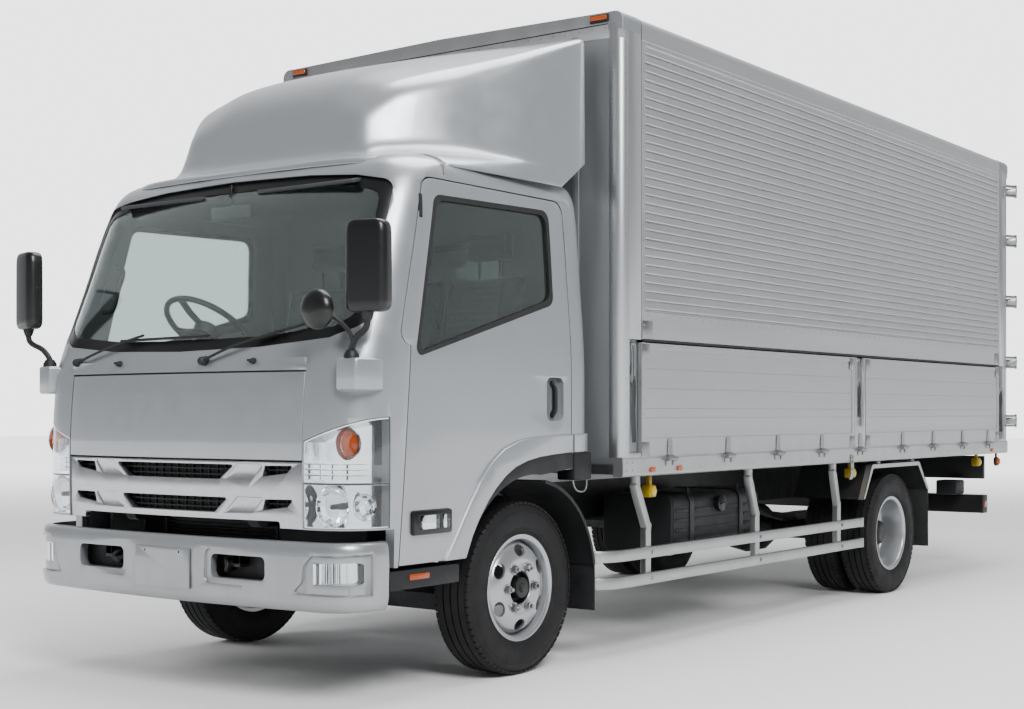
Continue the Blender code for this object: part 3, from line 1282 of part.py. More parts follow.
def soft_line(points, steps):
    """A smooth line that follows a control polygon, touching its legs at their middles."""
    line = [points[0]]
    for at in range(1, len(points) - 1):
        before, here, after = (Vector(point) for point in points[at - 1:at + 2])
        start = before if at == 1 else (before + here) / 2
        end = after if at == len(points) - 2 else (here + after) / 2
        for step in range(1, steps + 1):
            share = step / steps
            line.append(tuple(start * (1 - share) ** 2 + here * 2 * share * (1 - share) + end * share ** 2))
    return line


def deflector_ring(row, inset):
    """Section of the deflector: a skirt on the roof, a waist, a rounded ridge and a crowned top."""
    station, base_x, base_z, shoulder_x, shoulder_z, waist_x, waist_z, ridge_x, ridge_z, radius, top = row
    waist = (waist_x - inset, waist_z - inset)
    ridge = (ridge_x - inset, ridge_z - inset)
    crown = ((ridge_x - inset) * 0.5, top - inset)
    controls = [(base_x - inset, base_z), (shoulder_x - inset, shoulder_z - inset), waist,
                toward(ridge, waist, radius), ridge, toward(ridge, crown, radius), crown, (0, top - inset)]
    half = [(base_x - inset, DEFLECTOR_LOW)] + soft_line(controls, 2)
    return [(x, station, z) for x, z in half + [(-x, z) for x, z in reversed(half[:-1])]]


def deflector_solid(inset):
    """The deflector's closed outer form, or with an inset the space inside it, open to the rear."""
    rows = list(DEFLECTOR_STATIONS)
    if inset:
        rows = rows[5:-1:2] + [rows[-1]]
        rows[-1] = (rows[-1][0] + 0.05,) + rows[-1][1:]
    return loft([deflector_ring(row, inset) for row in rows])


def deflector():
    blister = deflector_solid(0)
    roof = cab_solid(-GLUE_GAP, -GLUE_GAP, 1.5)
    under = block((-1.2, 1.2), (-1.2, 1.0), (DEFLECTOR_LOW - 0.1, DEFLECTOR_BASE))
    corner = [(0.25, DEFLECTOR_BASE - 0.001), (0.60, 2.425), (0.60, 2.0), (0.25, 2.0)]
    cutters = [deflector_solid(DEFLECTOR_WALL), roof, under, prism("X", corner, -1.2, 1.2)]
    combine(blister, cutters, "DIFFERENCE", "MANIFOLD")
    for _, side in SIDES:
        for station in (-0.10, 0.16):
            foot = block((side * 0.80, side * 0.958), (station, station + 0.04), (2.186, 2.225))
            combine(foot, [cab_solid(-GLUE_GAP, -GLUE_GAP, 1.5)], "DIFFERENCE", "MANIFOLD")
            combine(blister, [foot], "UNION", "MANIFOLD")
    piece("roof_deflector", blister, "silver_paint", (0, TILT_Y, TILT_Z))


def mirrors():
    """Mirror heads turned outwards, with their arms and the round mirror at the left corner."""
    turn = math.radians(MIRROR_TURN)
    x, y = MIRROR_MIDDLE
    low, high = MIRROR_HEIGHTS
    for label, side in SIDES:
        half = MIRROR_WIDTH / 2
        deep = MIRROR_DEPTH / 2
        plan = rounded([(-half, -deep, 0.03), (half, -deep, 0.03), (half, deep, 0.02), (-half, deep, 0.02)])
        plan = [(side * (x + across * math.cos(turn) - along * math.sin(turn)),
                 y + across * math.sin(turn) + along * math.cos(turn)) for across, along in plan]
        rings = []
        for height, size in ((low, 0.80), (low + 0.03, 1), (high - 0.04, 1), (high, 0.70)):
            rings.append([(side * x + (a - side * x) * size, y + (b - y) * size, height) for a, b in plan])
        head = loft(rings)
        path = [(side * 0.93, -1.088, POD_TOP + SEAT), (side * 0.93, -1.088, 1.400),
                (side * 0.98, -1.105, 1.445), (side * x, y, 1.475), (side * x, y, low + 0.03)]
        fuse(head, swept(path, round_section(0.014, 10)))
        if label == "left":
            dome = turned("Y", (0.845, -1.215, 1.55),
                          [(-0.012, 0), (-0.012, 0.05), (0.0, 0.078), (0.02, 0.078),
                           (0.05, 0.055), (0.066, 0.02), (0.066, 0)], 14)
            stalk = swept([(0.845, -1.17, 1.545), (0.90, -1.13, 1.50), (0.965, -1.10, 1.437)],
                          round_section(0.010, 8))
            fuse(head, dome, stalk)
        piece("mirror_" + label, head, "black_plastic", (0, TILT_Y, TILT_Z))


def steps():
    for label, side in SIDES:
        outline = rounded([(-0.93, 0.455, 0.01), (-0.50, 0.455, 0.01),
                           (-0.50, 0.535, 0.01), (-0.93, 0.535, 0.01)])
        step = prism("X", outline, *sorted((side * 0.76, side * 0.985)))
        hanger = block((side * 0.77, side * 0.80), (-0.86, -0.60), (0.52, CAB_FLOOR_BOTTOM - SEAT))
        fuse(step, hanger)
        piece("step_" + label, step, "black_plastic", (0, TILT_Y, TILT_Z))


clear_scene()
TRUCK = bpy.data.objects.new("truck", None)
TRUCK.location = (0, -MIDDLE, 0)
bpy.context.scene.collection.objects.link(TRUCK)

for build in (chassis_frame, front_axle, rear_axle, power_unit, side_boxes, side_guards, mudguards, bumper,
              underride_bar, rear_lamp_bar, steering_knuckles, front_wheels, rear_wheels, deck, front_wall,
              body_portal, wings, gates, centre_posts, rear_doors, cab_shell, front_lid, grille, headlamps,
              cab_glass, doors, dashboard, seats, deflector, mirrors, steps):
    build()
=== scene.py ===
"""Looks for a light wing-body truck, built on its packed frame.

Lengths are metres. Shapes are drawn in stations: Y is counted rearward from the front axle, and
dress() shifts each finished piece into the frame. +X is the vehicle's left and +Z is up.
"""

import json
import math

import bmesh
import bpy
from mathutils import Matrix, Vector
from mathutils.bvhtree import BVHTree

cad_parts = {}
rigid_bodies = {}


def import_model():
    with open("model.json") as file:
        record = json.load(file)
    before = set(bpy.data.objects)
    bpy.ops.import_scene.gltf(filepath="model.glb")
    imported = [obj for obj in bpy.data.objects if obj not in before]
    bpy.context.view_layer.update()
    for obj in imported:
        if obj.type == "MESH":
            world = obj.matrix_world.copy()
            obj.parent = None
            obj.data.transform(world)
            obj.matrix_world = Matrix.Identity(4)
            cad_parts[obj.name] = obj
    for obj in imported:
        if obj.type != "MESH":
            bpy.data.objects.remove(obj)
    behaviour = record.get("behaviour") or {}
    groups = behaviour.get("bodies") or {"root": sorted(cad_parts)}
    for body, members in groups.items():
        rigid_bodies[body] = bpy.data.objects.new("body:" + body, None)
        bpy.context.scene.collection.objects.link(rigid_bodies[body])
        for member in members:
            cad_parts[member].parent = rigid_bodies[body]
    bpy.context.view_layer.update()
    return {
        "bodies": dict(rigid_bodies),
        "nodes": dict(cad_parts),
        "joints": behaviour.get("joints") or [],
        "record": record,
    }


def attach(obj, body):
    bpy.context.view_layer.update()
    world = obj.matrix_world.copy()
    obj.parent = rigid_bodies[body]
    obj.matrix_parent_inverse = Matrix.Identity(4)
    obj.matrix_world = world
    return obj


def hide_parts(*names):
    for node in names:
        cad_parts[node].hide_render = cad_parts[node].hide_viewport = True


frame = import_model()

bl_info = {
    "name": "Wing-body truck looks",
    "version": (1, 0, 0),
    "blender": (4, 5, 0),
    "location": "3D View > Sidebar > Truck",
    "description": "Builds the visible pieces of a light wing-body truck on its frame",
    "category": "Object",
}

NODES = frame["nodes"]
JOINTS = {joint["name"]: joint for joint in frame["joints"]}
AXLE_Y = JOINTS["front_wheel_spin_left"]["pos_m"][1]
HUB_Z = JOINTS["front_wheel_spin_left"]["pos_m"][2]
WHEELBASE = JOINTS["rear_wheel_spin_left"]["pos_m"][1] - AXLE_Y
SIDES = (("left", 1), ("right", -1))

# The camera stands where the photograph was taken: place, turn about Z, focal length and shift.
CAMERA_SPOT = (4.9457, -5.358 + AXLE_Y, 1.1551)
CAMERA_TURN = math.radians(35.26)
CAMERA_LENS = 53.28
CAMERA_SHIFT = (-0.0507, 0.0568)
CAMERA_FAR = 200

# Each lamp: name, place, width, power, and whether glass and gloss show it.
STAGE_LAMPS = (
    ("key_lamp", (8.5, -7.5, 8.5), 5.0, 1500, True),
    ("fill_lamp", (-7.0, -9.0, 5.0), 5.0, 520, False),
    ("top_lamp", (0.5, 0.5, 9.0), 7.0, 900, True),
    ("side_lamp", (10.0, 5.0, 4.0), 5.0, 420, False),
)
LAMP_AIM = Vector((0, 0, 1.2))

# Faces that meet at less than this many degrees are shaded as one surface.
ROUND = 40
BROAD = 30
# A span in X past both sides of the truck, and a Y in front of its cab, for cuts that go right through.
ACROSS = (-1.2, 1.2)
AHEAD = -1.4

# The backdrop brightens toward where the camera looks. The floor glows far out to meet it.
BACKDROP_COLOUR = "F7F8FA"
BACKDROP_FACING = (0.15, 0.88)
BACKDROP_LIGHT = (0.30, 1.05)
BACKDROP_SEEN = 2.2
FLOOR_HALF = 60
FLOOR_DROP = 0.0005
FLOOR_GLOW_REACH = (5.0, 24.0)
FLOOR_GLOW = 2.1


# Settings

class TruckColours(bpy.types.PropertyGroup):
    """Colours that a user would change."""

    cab_paint: bpy.props.StringProperty(name="Cab paint", description="sRGB hex colour of the cab",
                                        default="A9ADB1")
    body_metal: bpy.props.StringProperty(name="Body metal",
                                         description="sRGB hex colour of the van body's aluminium",
                                         default="B9BBBC")
    cloth: bpy.props.StringProperty(name="Seat cloth", description="sRGB hex colour of the seats",
                                    default="3C3F43")


class TruckSizes(bpy.types.PropertyGroup):
    """Sizes that a user would change."""

    rivet_pitch: bpy.props.FloatProperty(name="Rivet pitch",
                                         description="Distance between the body's rivets", default=0.075,
                                         min=0.02, unit="LENGTH")
    rivet_radius: bpy.props.FloatProperty(name="Rivet radius", description="Radius of a rivet's head",
                                          default=0.0045, min=0.001, unit="LENGTH")
    tread_blocks: bpy.props.IntProperty(name="Tread blocks", description="Shoulder blocks round each tyre",
                                        default=72, min=12)


# Nodes and materials

def linear(code, alpha=1.0):
    """Turn an sRGB hex colour into linear values."""
    channels = [int(code[at:at + 2], 16) / 255 for at in (0, 2, 4)]
    return tuple(c / 12.92 if c <= 0.04045 else ((c + 0.055) / 1.055) ** 2.4 for c in channels) + (alpha,)


def add(tree, kind, settings=None, inputs=None):
    """Add a node, set its settings and its inputs, and link the inputs that are sockets."""
    node = tree.nodes.new(kind)
    for name, value in (settings or {}).items():
        setattr(node, name, value)
    for name, value in (inputs or {}).items():
        if isinstance(value, bpy.types.NodeSocket):
            tree.links.new(value, node.inputs[name])
        else:
            node.inputs[name].default_value = value
    return node


def start_material(name):
    """Return a new material's tree, its shader and its object coordinates."""
    made = bpy.data.materials.new(name)
    made.use_nodes = True
    tree = made.node_tree
    shader = tree.nodes["Principled BSDF"]
    coordinates = add(tree, "ShaderNodeTexCoord").outputs["Object"]
    return made, tree, shader, coordinates


def noise(tree, where, scale, detail=2.0, stretch=(1, 1, 1)):
    """Noise over the object, drawn out along its axes where stretch is small."""
    spot = add(tree, "ShaderNodeMapping", inputs={"Vector": where, "Scale": stretch})
    return add(tree, "ShaderNodeTexNoise", inputs={"Vector": spot.outputs["Vector"], "Scale": scale,
                                                   "Detail": detail}).outputs["Fac"]


def between(tree, factor, low, high):
    """Map a factor from 0.3 to 0.7 onto a range of values."""
    return add(tree, "ShaderNodeMapRange", inputs={"Value": factor, "From Min": 0.3, "From Max": 0.7,
                                                   "To Min": low, "To Max": high}).outputs["Result"]


def blend_colours(tree, factor, first, second):
    """Mix two hex colours by a factor."""
    mixed = add(tree, "ShaderNodeMix", {"data_type": "RGBA"})
    tree.links.new(factor, mixed.inputs["Factor"])
    mixed.inputs[6].default_value = linear(first)
    mixed.inputs[7].default_value = linear(second)
    return mixed.outputs[2]


def bump(tree, height, strength, distance):
    """A bump of a height map."""
    return add(tree, "ShaderNodeBump", inputs={"Height": height, "Strength": strength,
                                               "Distance": distance}).outputs["Normal"]


def shade(name, colour, rough=0.5, metallic=0.0, grain=None, spread=0.0, mottle=None,
          stretch=(1, 1, 1), grime=None, **constants):
    """Make a finish: a base colour that varies, a roughness that varies, and a grain as bump.

    grain is (size in metres, strength, depth), mottle a second colour and grime a colour that
    gathers low down.
    """
    made, tree, shader, where = start_material(name)
    patches = noise(tree, where, 3.5, 4.0)
    base = blend_colours(tree, patches, colour, mottle or colour)
    if grime:
        height = add(tree, "ShaderNodeSeparateXYZ", inputs={"Vector": where}).outputs["Z"]
        streaks = noise(tree, where, 9.0, 5.0, (1, 1, 0.35))
        low = add(tree, "ShaderNodeMapRange",
                  inputs={"Value": height, "From Min": grime[1], "From Max": grime[2], "To Min": grime[3],
                          "To Max": 0.0}).outputs["Result"]
        amount = add(tree, "ShaderNodeMath", {"operation": "MULTIPLY"},
                     {0: low, 1: streaks}).outputs["Value"]
        dirty = add(tree, "ShaderNodeMix", {"data_type": "RGBA"})
        tree.links.new(amount, dirty.inputs["Factor"])
        tree.links.new(base, dirty.inputs[6])
        dirty.inputs[7].default_value = linear(grime[0])
        base = dirty.outputs[2]
    tree.links.new(base, shader.inputs["Base Color"])
    shader.inputs["Metallic"].default_value = metallic
    if spread:
        tree.links.new(between(tree, noise(tree, where, 14.0, 2.0, stretch), rough - spread,
                               rough + spread), shader.inputs["Roughness"])
    else:
        shader.inputs["Roughness"].default_value = rough
    if grain:
        size, strength, depth = grain
        tree.links.new(bump(tree, noise(tree, where, 1 / size, 2.0, stretch), strength, depth),
                       shader.inputs["Normal"])
    for key, value in constants.items():
        shader.inputs[key.replace("_", " ")].default_value = value
    return made


MATERIALS = {}


def make_materials(colours):
    """Make every finish of the truck once."""
    paint = colours.cab_paint
    metal = colours.body_metal
    # Silver metallic enamel under clear lacquer: soft flake sparkle with a sharp top reflection.
    MATERIALS["cab_paint"] = shade("silver_metallic_enamel", paint, 0.34, 0.62, spread=0.03,
                                   mottle="AEB2B6", grain=(0.0022, 0.05, 0.0004),
                                   grime=("85827C", 0.45, 0.9, 0.45), Coat_Weight=0.6,
                                   Coat_Roughness=0.06)
    # Mill-finish extrusion with a thin anodised skin: drawn lines along its length.
    MATERIALS["extrusion"] = shade("anodised_extrusion", metal, 0.36, 0.88, spread=0.06, mottle="B4B7B9",
                                   grain=(0.004, 0.12, 0.0004), stretch=(1, 0.02, 1),
                                   grime=("8A8781", 0.85, 1.15, 0.5))
    # Upright posts are the same alloy, with the drawn lines running up.
    MATERIALS["post"] = shade("anodised_post", metal, 0.36, 0.88, spread=0.06, mottle="B6B9BB",
                              grain=(0.004, 0.12, 0.0004), stretch=(1, 1, 0.02),
                              grime=("8A8781", 0.85, 1.2, 0.5))
    # Roll-formed corrugated sheet, pale and satin, a little uneven between its ribs.
    MATERIALS["corrugated"] = shade("rolled_aluminium_sheet", "C2C4C5", 0.36, 0.85, spread=0.05,
                                    mottle="BABDBF", grain=(0.006, 0.06, 0.0006), stretch=(1, 0.05, 1))
    # Drop-side planks: wide extruded boards, brushed along their length.
    MATERIALS["planks"] = shade("brushed_plank_aluminium", metal, 0.38, 0.85, spread=0.06,
                                mottle="B2B5B7", grain=(0.003, 0.10, 0.0004), stretch=(1, 0.015, 1),
                                grime=("8A8781", 0.93, 1.1, 0.4))
    # Corner castings: blasted grey aluminium.
    MATERIALS["casting"] = shade("blasted_aluminium_casting", "9B9EA1", 0.5, 0.7, spread=0.06,
                                 mottle="8E9194", grain=(0.002, 0.3, 0.0003))
    # Drawn sheet on the front wall and inside: darker and duller.
    MATERIALS["wall_sheet"] = shade("plain_aluminium_sheet", "A9ACAE", 0.45, 0.75, spread=0.07,
                                    mottle="9DA0A3", grain=(0.01, 0.08, 0.0008), stretch=(1, 1, 0.1))
    # Grained black polypropylene: moulded with a fine leather-like texture, matt.
    MATERIALS["black_plastic"] = shade("grained_polypropylene", "141517", 0.55, spread=0.06,
                                       mottle="1A1B1D", grain=(0.0016, 0.35, 0.0004),
                                       Specular_IOR_Level=0.45)
    # Smooth black ABS for the mirrors and lamp bezels: a satin moulding.
    MATERIALS["black_gloss"] = shade("satin_black_abs", "0F1011", 0.30, spread=0.02, mottle="131415")
    # Soft rubber of seals and wipers.
    MATERIALS["seal"] = shade("moulded_seal_rubber", "0E0F10", 0.62, spread=0.08, mottle="151617",
                              grain=(0.002, 0.1, 0.0003))
    # Chassis enamel, sprayed thick over hot-rolled steel: a slight orange peel and road dust.
    MATERIALS["chassis"] = shade("chassis_enamel", "131416", 0.45, 0.1, spread=0.08, mottle="1A1B1D",
                                 grain=(0.008, 0.2, 0.0006), grime=("35322D", 0.1, 0.75, 0.4))
    # Tyre tread compound: dark, rough and dusty.
    MATERIALS["tyre"] = shade("tyre_compound", "131314", 0.66, spread=0.07, mottle="18181A",
                              grain=(0.0025, 0.25, 0.0004), Specular_IOR_Level=0.35)
    # Rim enamel: silver paint on pressed steel.
    MATERIALS["rim"] = shade("silver_rim_enamel", "B4B6B8", 0.30, 0.75, spread=0.02, mottle="AEB0B3",
                             Coat_Weight=0.3, Coat_Roughness=0.15)
    # Zinc-plated steel of bolts, hinges and latches: pale grey with a broken, cloudy gloss.
    MATERIALS["zinc"] = shade("zinc_plated_steel", "9C9E9E", 0.32, 0.95, spread=0.05, mottle="8C8F90")
    # Chrome plate on moulded plastic: a near mirror, with the faintest waviness.
    MATERIALS["chrome"] = shade("chrome_plate", "D6D8DA", 0.10, 1.0, spread=0.03, mottle="CFD2D5",
                                grain=(0.03, 0.03, 0.0008))
    # Satin chrome of the grille bars: brighter than paint but without sharp images.
    MATERIALS["satin_chrome"] = shade("satin_chrome_moulding", "C4C6C9", 0.24, 0.95, spread=0.03,
                                      mottle="BDC0C3")
    # Reflector bowls are vacuum-metallised: brighter and smoother than chrome plate.
    MATERIALS["reflector"] = shade("vacuum_metallised_reflector", "E8EAEC", 0.06, 1.0, spread=0.02,
                                   mottle="DDE0E3")
    # Cast iron and rough castings under the cab.
    MATERIALS["cast"] = shade("sand_cast_iron", "4B4C4E", 0.6, 0.6, spread=0.12, mottle="3A3B3D",
                              grain=(0.003, 0.4, 0.0006))
    # Woven seat cloth: two sets of threads that cross, drawn about 6 mm apart so that they show.
    MATERIALS["cloth"] = cloth_material("woven_seat_cloth", colours.cloth)
    # Grey moulded dashboard skin.
    MATERIALS["dash"] = shade("moulded_dash_skin", "34363A", 0.62, spread=0.06, mottle="3A3C40",
                              grain=(0.0018, 0.4, 0.0005))
    # Cab lining board in pale grey.
    MATERIALS["lining"] = shade("cab_lining_board", "6E7174", 0.7, spread=0.05, mottle="777A7D",
                                grain=(0.003, 0.25, 0.0005))
    # Laminated and tempered glass with a slight green tint.
    MATERIALS["glass"] = glass_material("tinted_safety_glass", "C9D6D2", 0.02, 1.5)
    MATERIALS["door_glass"] = glass_material("tempered_side_glass", "A9B5B1", 0.02, 1.5)
    # Clear polycarbonate lamp covers.
    MATERIALS["clear"] = glass_material("clear_polycarbonate", "F2F5F6", 0.03, 1.45)
    # Amber and red lamp mouldings: coloured through, glossy outside.
    MATERIALS["amber"] = shade("amber_acrylic", "A94204", 0.20, spread=0.03, mottle="BA4E08",
                               grain=(0.004, 0.4, 0.0006), Coat_Weight=0.3)
    MATERIALS["red"] = shade("red_acrylic", "A5130F", 0.16, spread=0.03, mottle="B91C15",
                             grain=(0.004, 0.5, 0.0006), Subsurface_Weight=0.2, Coat_Weight=0.5)
    # Yellow lamp housings and relays that show under the deck.
    MATERIALS["yellow"] = shade("yellow_moulding", "D9B312", 0.4, spread=0.05, mottle="C9A410",
                                grain=(0.003, 0.1, 0.0003))
    MATERIALS["yellow_lens"] = shade("yellow_acrylic", "E8C61C", 0.16, spread=0.03, mottle="F0D030",
                                     grain=(0.004, 0.5, 0.0006), Subsurface_Weight=0.2, Coat_Weight=0.5)
    # Looking glass.
    MATERIALS["mirror"] = shade("looking_glass", "DDE2E4", 0.02, 1.0)
    # White retroreflective film on plates and marks.
    MATERIALS["white"] = shade("white_film", "E4E6E7", 0.35, spread=0.04, mottle="DADCDD")
    # Load floor of keyed hardwood boards.
    MATERIALS["boards"] = board_material("keruing_floor_boards")
    # Studio floor: smooth pale vinyl.
    MATERIALS["floor"] = floor_material("studio_floor")


def floor_material(name):
    """Pale floor that glows softly far out, so it meets the backdrop without a line."""
    made, tree, shader, where = start_material(name)
    reach = add(tree, "ShaderNodeVectorMath", {"operation": "LENGTH"}, {0: where}).outputs["Value"]
    glow = add(tree, "ShaderNodeMapRange", {"interpolation_type": "SMOOTHSTEP"},
               {"Value": reach, "From Min": FLOOR_GLOW_REACH[0], "From Max": FLOOR_GLOW_REACH[1],
                "To Min": 0.0, "To Max": FLOOR_GLOW}).outputs["Result"]
    tree.links.new(glow, shader.inputs["Emission Strength"])
    shader.inputs["Emission Color"].default_value = linear(BACKDROP_COLOUR)
    shader.inputs["Base Color"].default_value = linear("F4F4F4")
    shader.inputs["Roughness"].default_value = 0.7
    return made


def cloth_material(name, colour):
    """Matt cloth with crossing threads."""
    made, tree, shader, where = start_material(name)
    threads = []
    for turn in ((0, 0, 0), (0, 0, math.pi / 2)):
        spot = add(tree, "ShaderNodeMapping", inputs={"Vector": where, "Rotation": turn})
        threads.append(add(tree, "ShaderNodeTexWave", {"bands_direction": "X"},
                           {"Vector": spot.outputs["Vector"], "Scale": 50.0, "Distortion": 0.6,
                            "Detail": 1.0}).outputs["Fac"])
    weave = add(tree, "ShaderNodeMath", {"operation": "MULTIPLY"},
                {0: threads[0], 1: threads[1]}).outputs["Value"]
    base = blend_colours(tree, weave, colour, "55595E")
    tree.links.new(base, shader.inputs["Base Color"])
    tree.links.new(bump(tree, weave, 0.5, 0.0006), shader.inputs["Normal"])
    shader.inputs["Roughness"].default_value = 0.9
    shader.inputs["Sheen Weight"].default_value = 0.3
    return made


def glass_material(name, colour, rough, index):
    """Clear material with a faint film that varies its gloss."""
    made, tree, shader, where = start_material(name)
    film = noise(tree, where, 5.0, 3.0)
    tree.links.new(between(tree, film, rough, rough + 0.02), shader.inputs["Roughness"])
    shader.inputs["Base Color"].default_value = linear(colour)
    shader.inputs["Transmission Weight"].default_value = 1.0
    shader.inputs["IOR"].default_value = index
    return made


def board_material(name):
    """Boards 150 mm wide laid along the truck, each with its own tone and grain."""
    made, tree, shader, where = start_material(name)
    across = add(tree, "ShaderNodeSeparateXYZ", inputs={"Vector": where}).outputs["X"]
    board = add(tree, "ShaderNodeMath", {"operation": "FLOOR"},
                {0: add(tree, "ShaderNodeMath", {"operation": "DIVIDE"},
                        {0: across, 1: 0.15}).outputs["Value"]})
    tone = add(tree, "ShaderNodeTexWhiteNoise", {"noise_dimensions": "1D"},
               {"W": board.outputs["Value"]}).outputs["Value"]
    grain = noise(tree, where, 30.0, 6.0, (1, 0.03, 1))
    mixed = add(tree, "ShaderNodeMath", {"operation": "MULTIPLY_ADD"},
                {0: tone, 1: 0.35, 2: grain}).outputs["Value"]
    base = blend_colours(tree, between(tree, mixed, 0.0, 1.0), "7C5638", "A67C55")
    tree.links.new(base, shader.inputs["Base Color"])
    tree.links.new(bump(tree, grain, 0.3, 0.001), shader.inputs["Normal"])
    shader.inputs["Roughness"].default_value = 0.6
    return made


# Mesh tools

def new_object(name, mesh):
    """A new object of a mesh, linked into the scene."""
    made = bpy.data.objects.new(name, mesh)
    bpy.context.scene.collection.objects.link(made)
    return made


def solid_from(points, faces, name="solid"):
    """Make a mesh object with its faces turned outwards."""
    mesh = bpy.data.meshes.new(name)
    mesh.from_pydata([tuple(point) for point in points], [], faces)
    work = bmesh.new()
    work.from_mesh(mesh)
    bmesh.ops.recalc_face_normals(work, faces=work.faces)
    if work.calc_volume(signed=True) < 0:
        bmesh.ops.reverse_faces(work, faces=work.faces)
    work.to_mesh(mesh)
    work.free()
    return new_object(name, mesh)


def place(axis, first, second, along):
    """Turn two flat coordinates and a distance along the axis into a point."""
    if axis == "X":
        return (along, first, second)
    if axis == "Y":
        return (first, along, second)
    return (first, second, along)


def prism(axis, outline, low, high):
    """Extrude a flat outline. X takes (y, z), Y takes (x, z) and Z takes (x, y)."""
    count = len(outline)
    points = [place(axis, *point, low) for point in outline] + [place(axis, *point, high)
                                                                for point in outline]
    faces = [tuple(range(count)), tuple(range(count, 2 * count))]
    faces += [(at, (at + 1) % count, count + (at + 1) % count, count + at) for at in range(count)]
    return solid_from(points, faces)


def block(x_span, y_span, z_span, edge=0.0):
    """A box from three pairs of limits, with its edges rounded where an edge size is given."""
    low, high = sorted(x_span)
    outline = [(y_span[0], z_span[0]), (y_span[1], z_span[0]), (y_span[1], z_span[1]),
               (y_span[0], z_span[1])]
    made = prism("X", outline, low, high)
    return bevelled(made, edge) if edge else made


def arc(centre, radius, start, end, steps):
    """Points on a circle between two angles in degrees."""
    turns = [math.radians(start + (end - start) * at / steps) for at in range(steps + 1)]
    return [(centre[0] + radius * math.cos(turn), centre[1] + radius * math.sin(turn)) for turn in turns]


def rounded(corners, steps=6):
    """Round an outline given as (first, second, radius) corners."""
    outline = []
    for at, (first, second, radius) in enumerate(corners):
        here = Vector((first, second))
        if radius <= 0:
            outline.append(tuple(here))
            continue
        before = (Vector(corners[at - 1][:2]) - here).normalized()
        after = (Vector(corners[(at + 1) % len(corners)][:2]) - here).normalized()
        half = before.angle(after) / 2
        reach = radius / math.tan(half)
        middle = here + (before + after).normalized() * (radius / math.sin(half))
        start = here + before * reach - middle
        turn = start.angle_signed(here + after * reach - middle)
        for step in range(steps + 1):
            spot = start.copy()
            spot.rotate(Matrix.Rotation(-turn * step / steps, 2))
            outline.append(tuple(middle + spot))
    return outline


def turned(axis, centre, profile, sides, ring=False):
    """Turn a profile of (along, radius) points about an axis through the centre."""
    points = []
    rows = []
    for along, radius in profile:
        if radius == 0:
            rows.append([len(points)])
            points.append(Vector(centre) + Vector(place(axis, 0, 0, along)))
            continue
        rows.append(list(range(len(points), len(points) + sides)))
        for at in range(sides):
            turn = 2 * math.pi * at / sides
            points.append(Vector(centre) + Vector(place(axis, radius * math.cos(turn),
                                                        radius * math.sin(turn), along)))
    faces = []
    pairs = list(zip(rows, rows[1:]))
    if ring:
        pairs.append((rows[-1], rows[0]))
    for low, high in pairs:
        for at in range(sides):
            after = (at + 1) % sides
            if len(low) == 1:
                faces.append((low[0], high[after], high[at]))
            elif len(high) == 1:
                faces.append((low[at], low[after], high[0]))
            else:
                faces.append((low[at], low[after], high[after], high[at]))
    return solid_from(points, faces)


def rod(axis, centre, radius, low, high, sides=24):
    """A round bar along an axis."""
    return turned(axis, centre, [(low, 0), (low, radius), (high, radius), (high, 0)], sides)


def loft(rings, closed=True):
    """Join rings of equal length, into a solid with flat ends where it is closed."""
    count = len(rings[0])
    points = [point for ring in rings for point in ring]
    faces = [tuple(range(count)), tuple(range(len(points) - count, len(points)))] if closed else []
    for row in range(len(rings) - 1):
        for at in range(count):
            after = (at + 1) % count
            low = row * count
            faces.append((low + at, low + after, low + count + after, low + count + at))
    return solid_from(points, faces)


def swept(path, section, up=(0, 0, 1)):
    """Sweep a flat section along a path of points, square to it at each corner."""
    spots = [Vector(point) for point in path]
    first = (spots[1] - spots[0]).normalized()
    up = Vector(up)
    if abs(first.dot(up)) > 0.9:
        up = Vector((0, 1, 0))
    across = first.cross(up).normalized()
    rings = []
    for at, spot in enumerate(spots):
        before = (spot - spots[at - 1]).normalized() if at else first
        after = (spots[at + 1] - spot).normalized() if at < len(spots) - 1 else before
        ahead = (before + after).normalized()
        across = (across - ahead * across.dot(ahead)).normalized()
        side = ahead.cross(across)
        bend = after - before
        stretch = 1 / max(0.5, ahead.dot(before))
        ring = []
        for first_step, second_step in section:
            step = across * first_step + side * second_step
            if bend.length > 1e-6:
                away = bend.normalized()
                step += away * step.dot(away) * (stretch - 1)
            ring.append(tuple(spot + step))
        rings.append(ring)
    return loft(rings)


def smooth_path(points, steps=8):
    """A soft curve through the points."""
    spots = [Vector(point) for point in points]
    path = []
    for at in range(len(spots) - 1):
        a, b, c, d = spots[max(at - 1, 0)], spots[at], spots[at + 1], spots[min(at + 2, len(spots) - 1)]
        for step in range(steps):
            t = step / steps
            path.append(0.5 * (2 * b + (c - a) * t + (2 * a - 5 * b + 4 * c - d) * t * t
                               + (3 * b - a - 3 * c + d) * t * t * t))
    return path + [spots[-1]]


def round_section(radius, sides=14, flat=1.0):
    """A circle's points, or an ellipse's where flat isn't 1."""
    turns = [2 * math.pi * at / sides for at in range(sides)]
    return [(radius * math.cos(turn), radius * flat * math.sin(turn)) for turn in turns]


def settle(made):
    """Apply an object's modifiers to its mesh."""
    graph = bpy.context.evaluated_depsgraph_get()
    result = bpy.data.meshes.new_from_object(made.evaluated_get(graph))
    made.modifiers.clear()
    made.data = result
    return made


def bevelled(made, width, segments=2, angle=30):
    """Round the edges of a solid."""
    step = made.modifiers.new("bevel", "BEVEL")
    step.width = width
    step.segments = segments
    step.limit_method = "ANGLE"
    step.angle_limit = math.radians(angle)
    return settle(made)


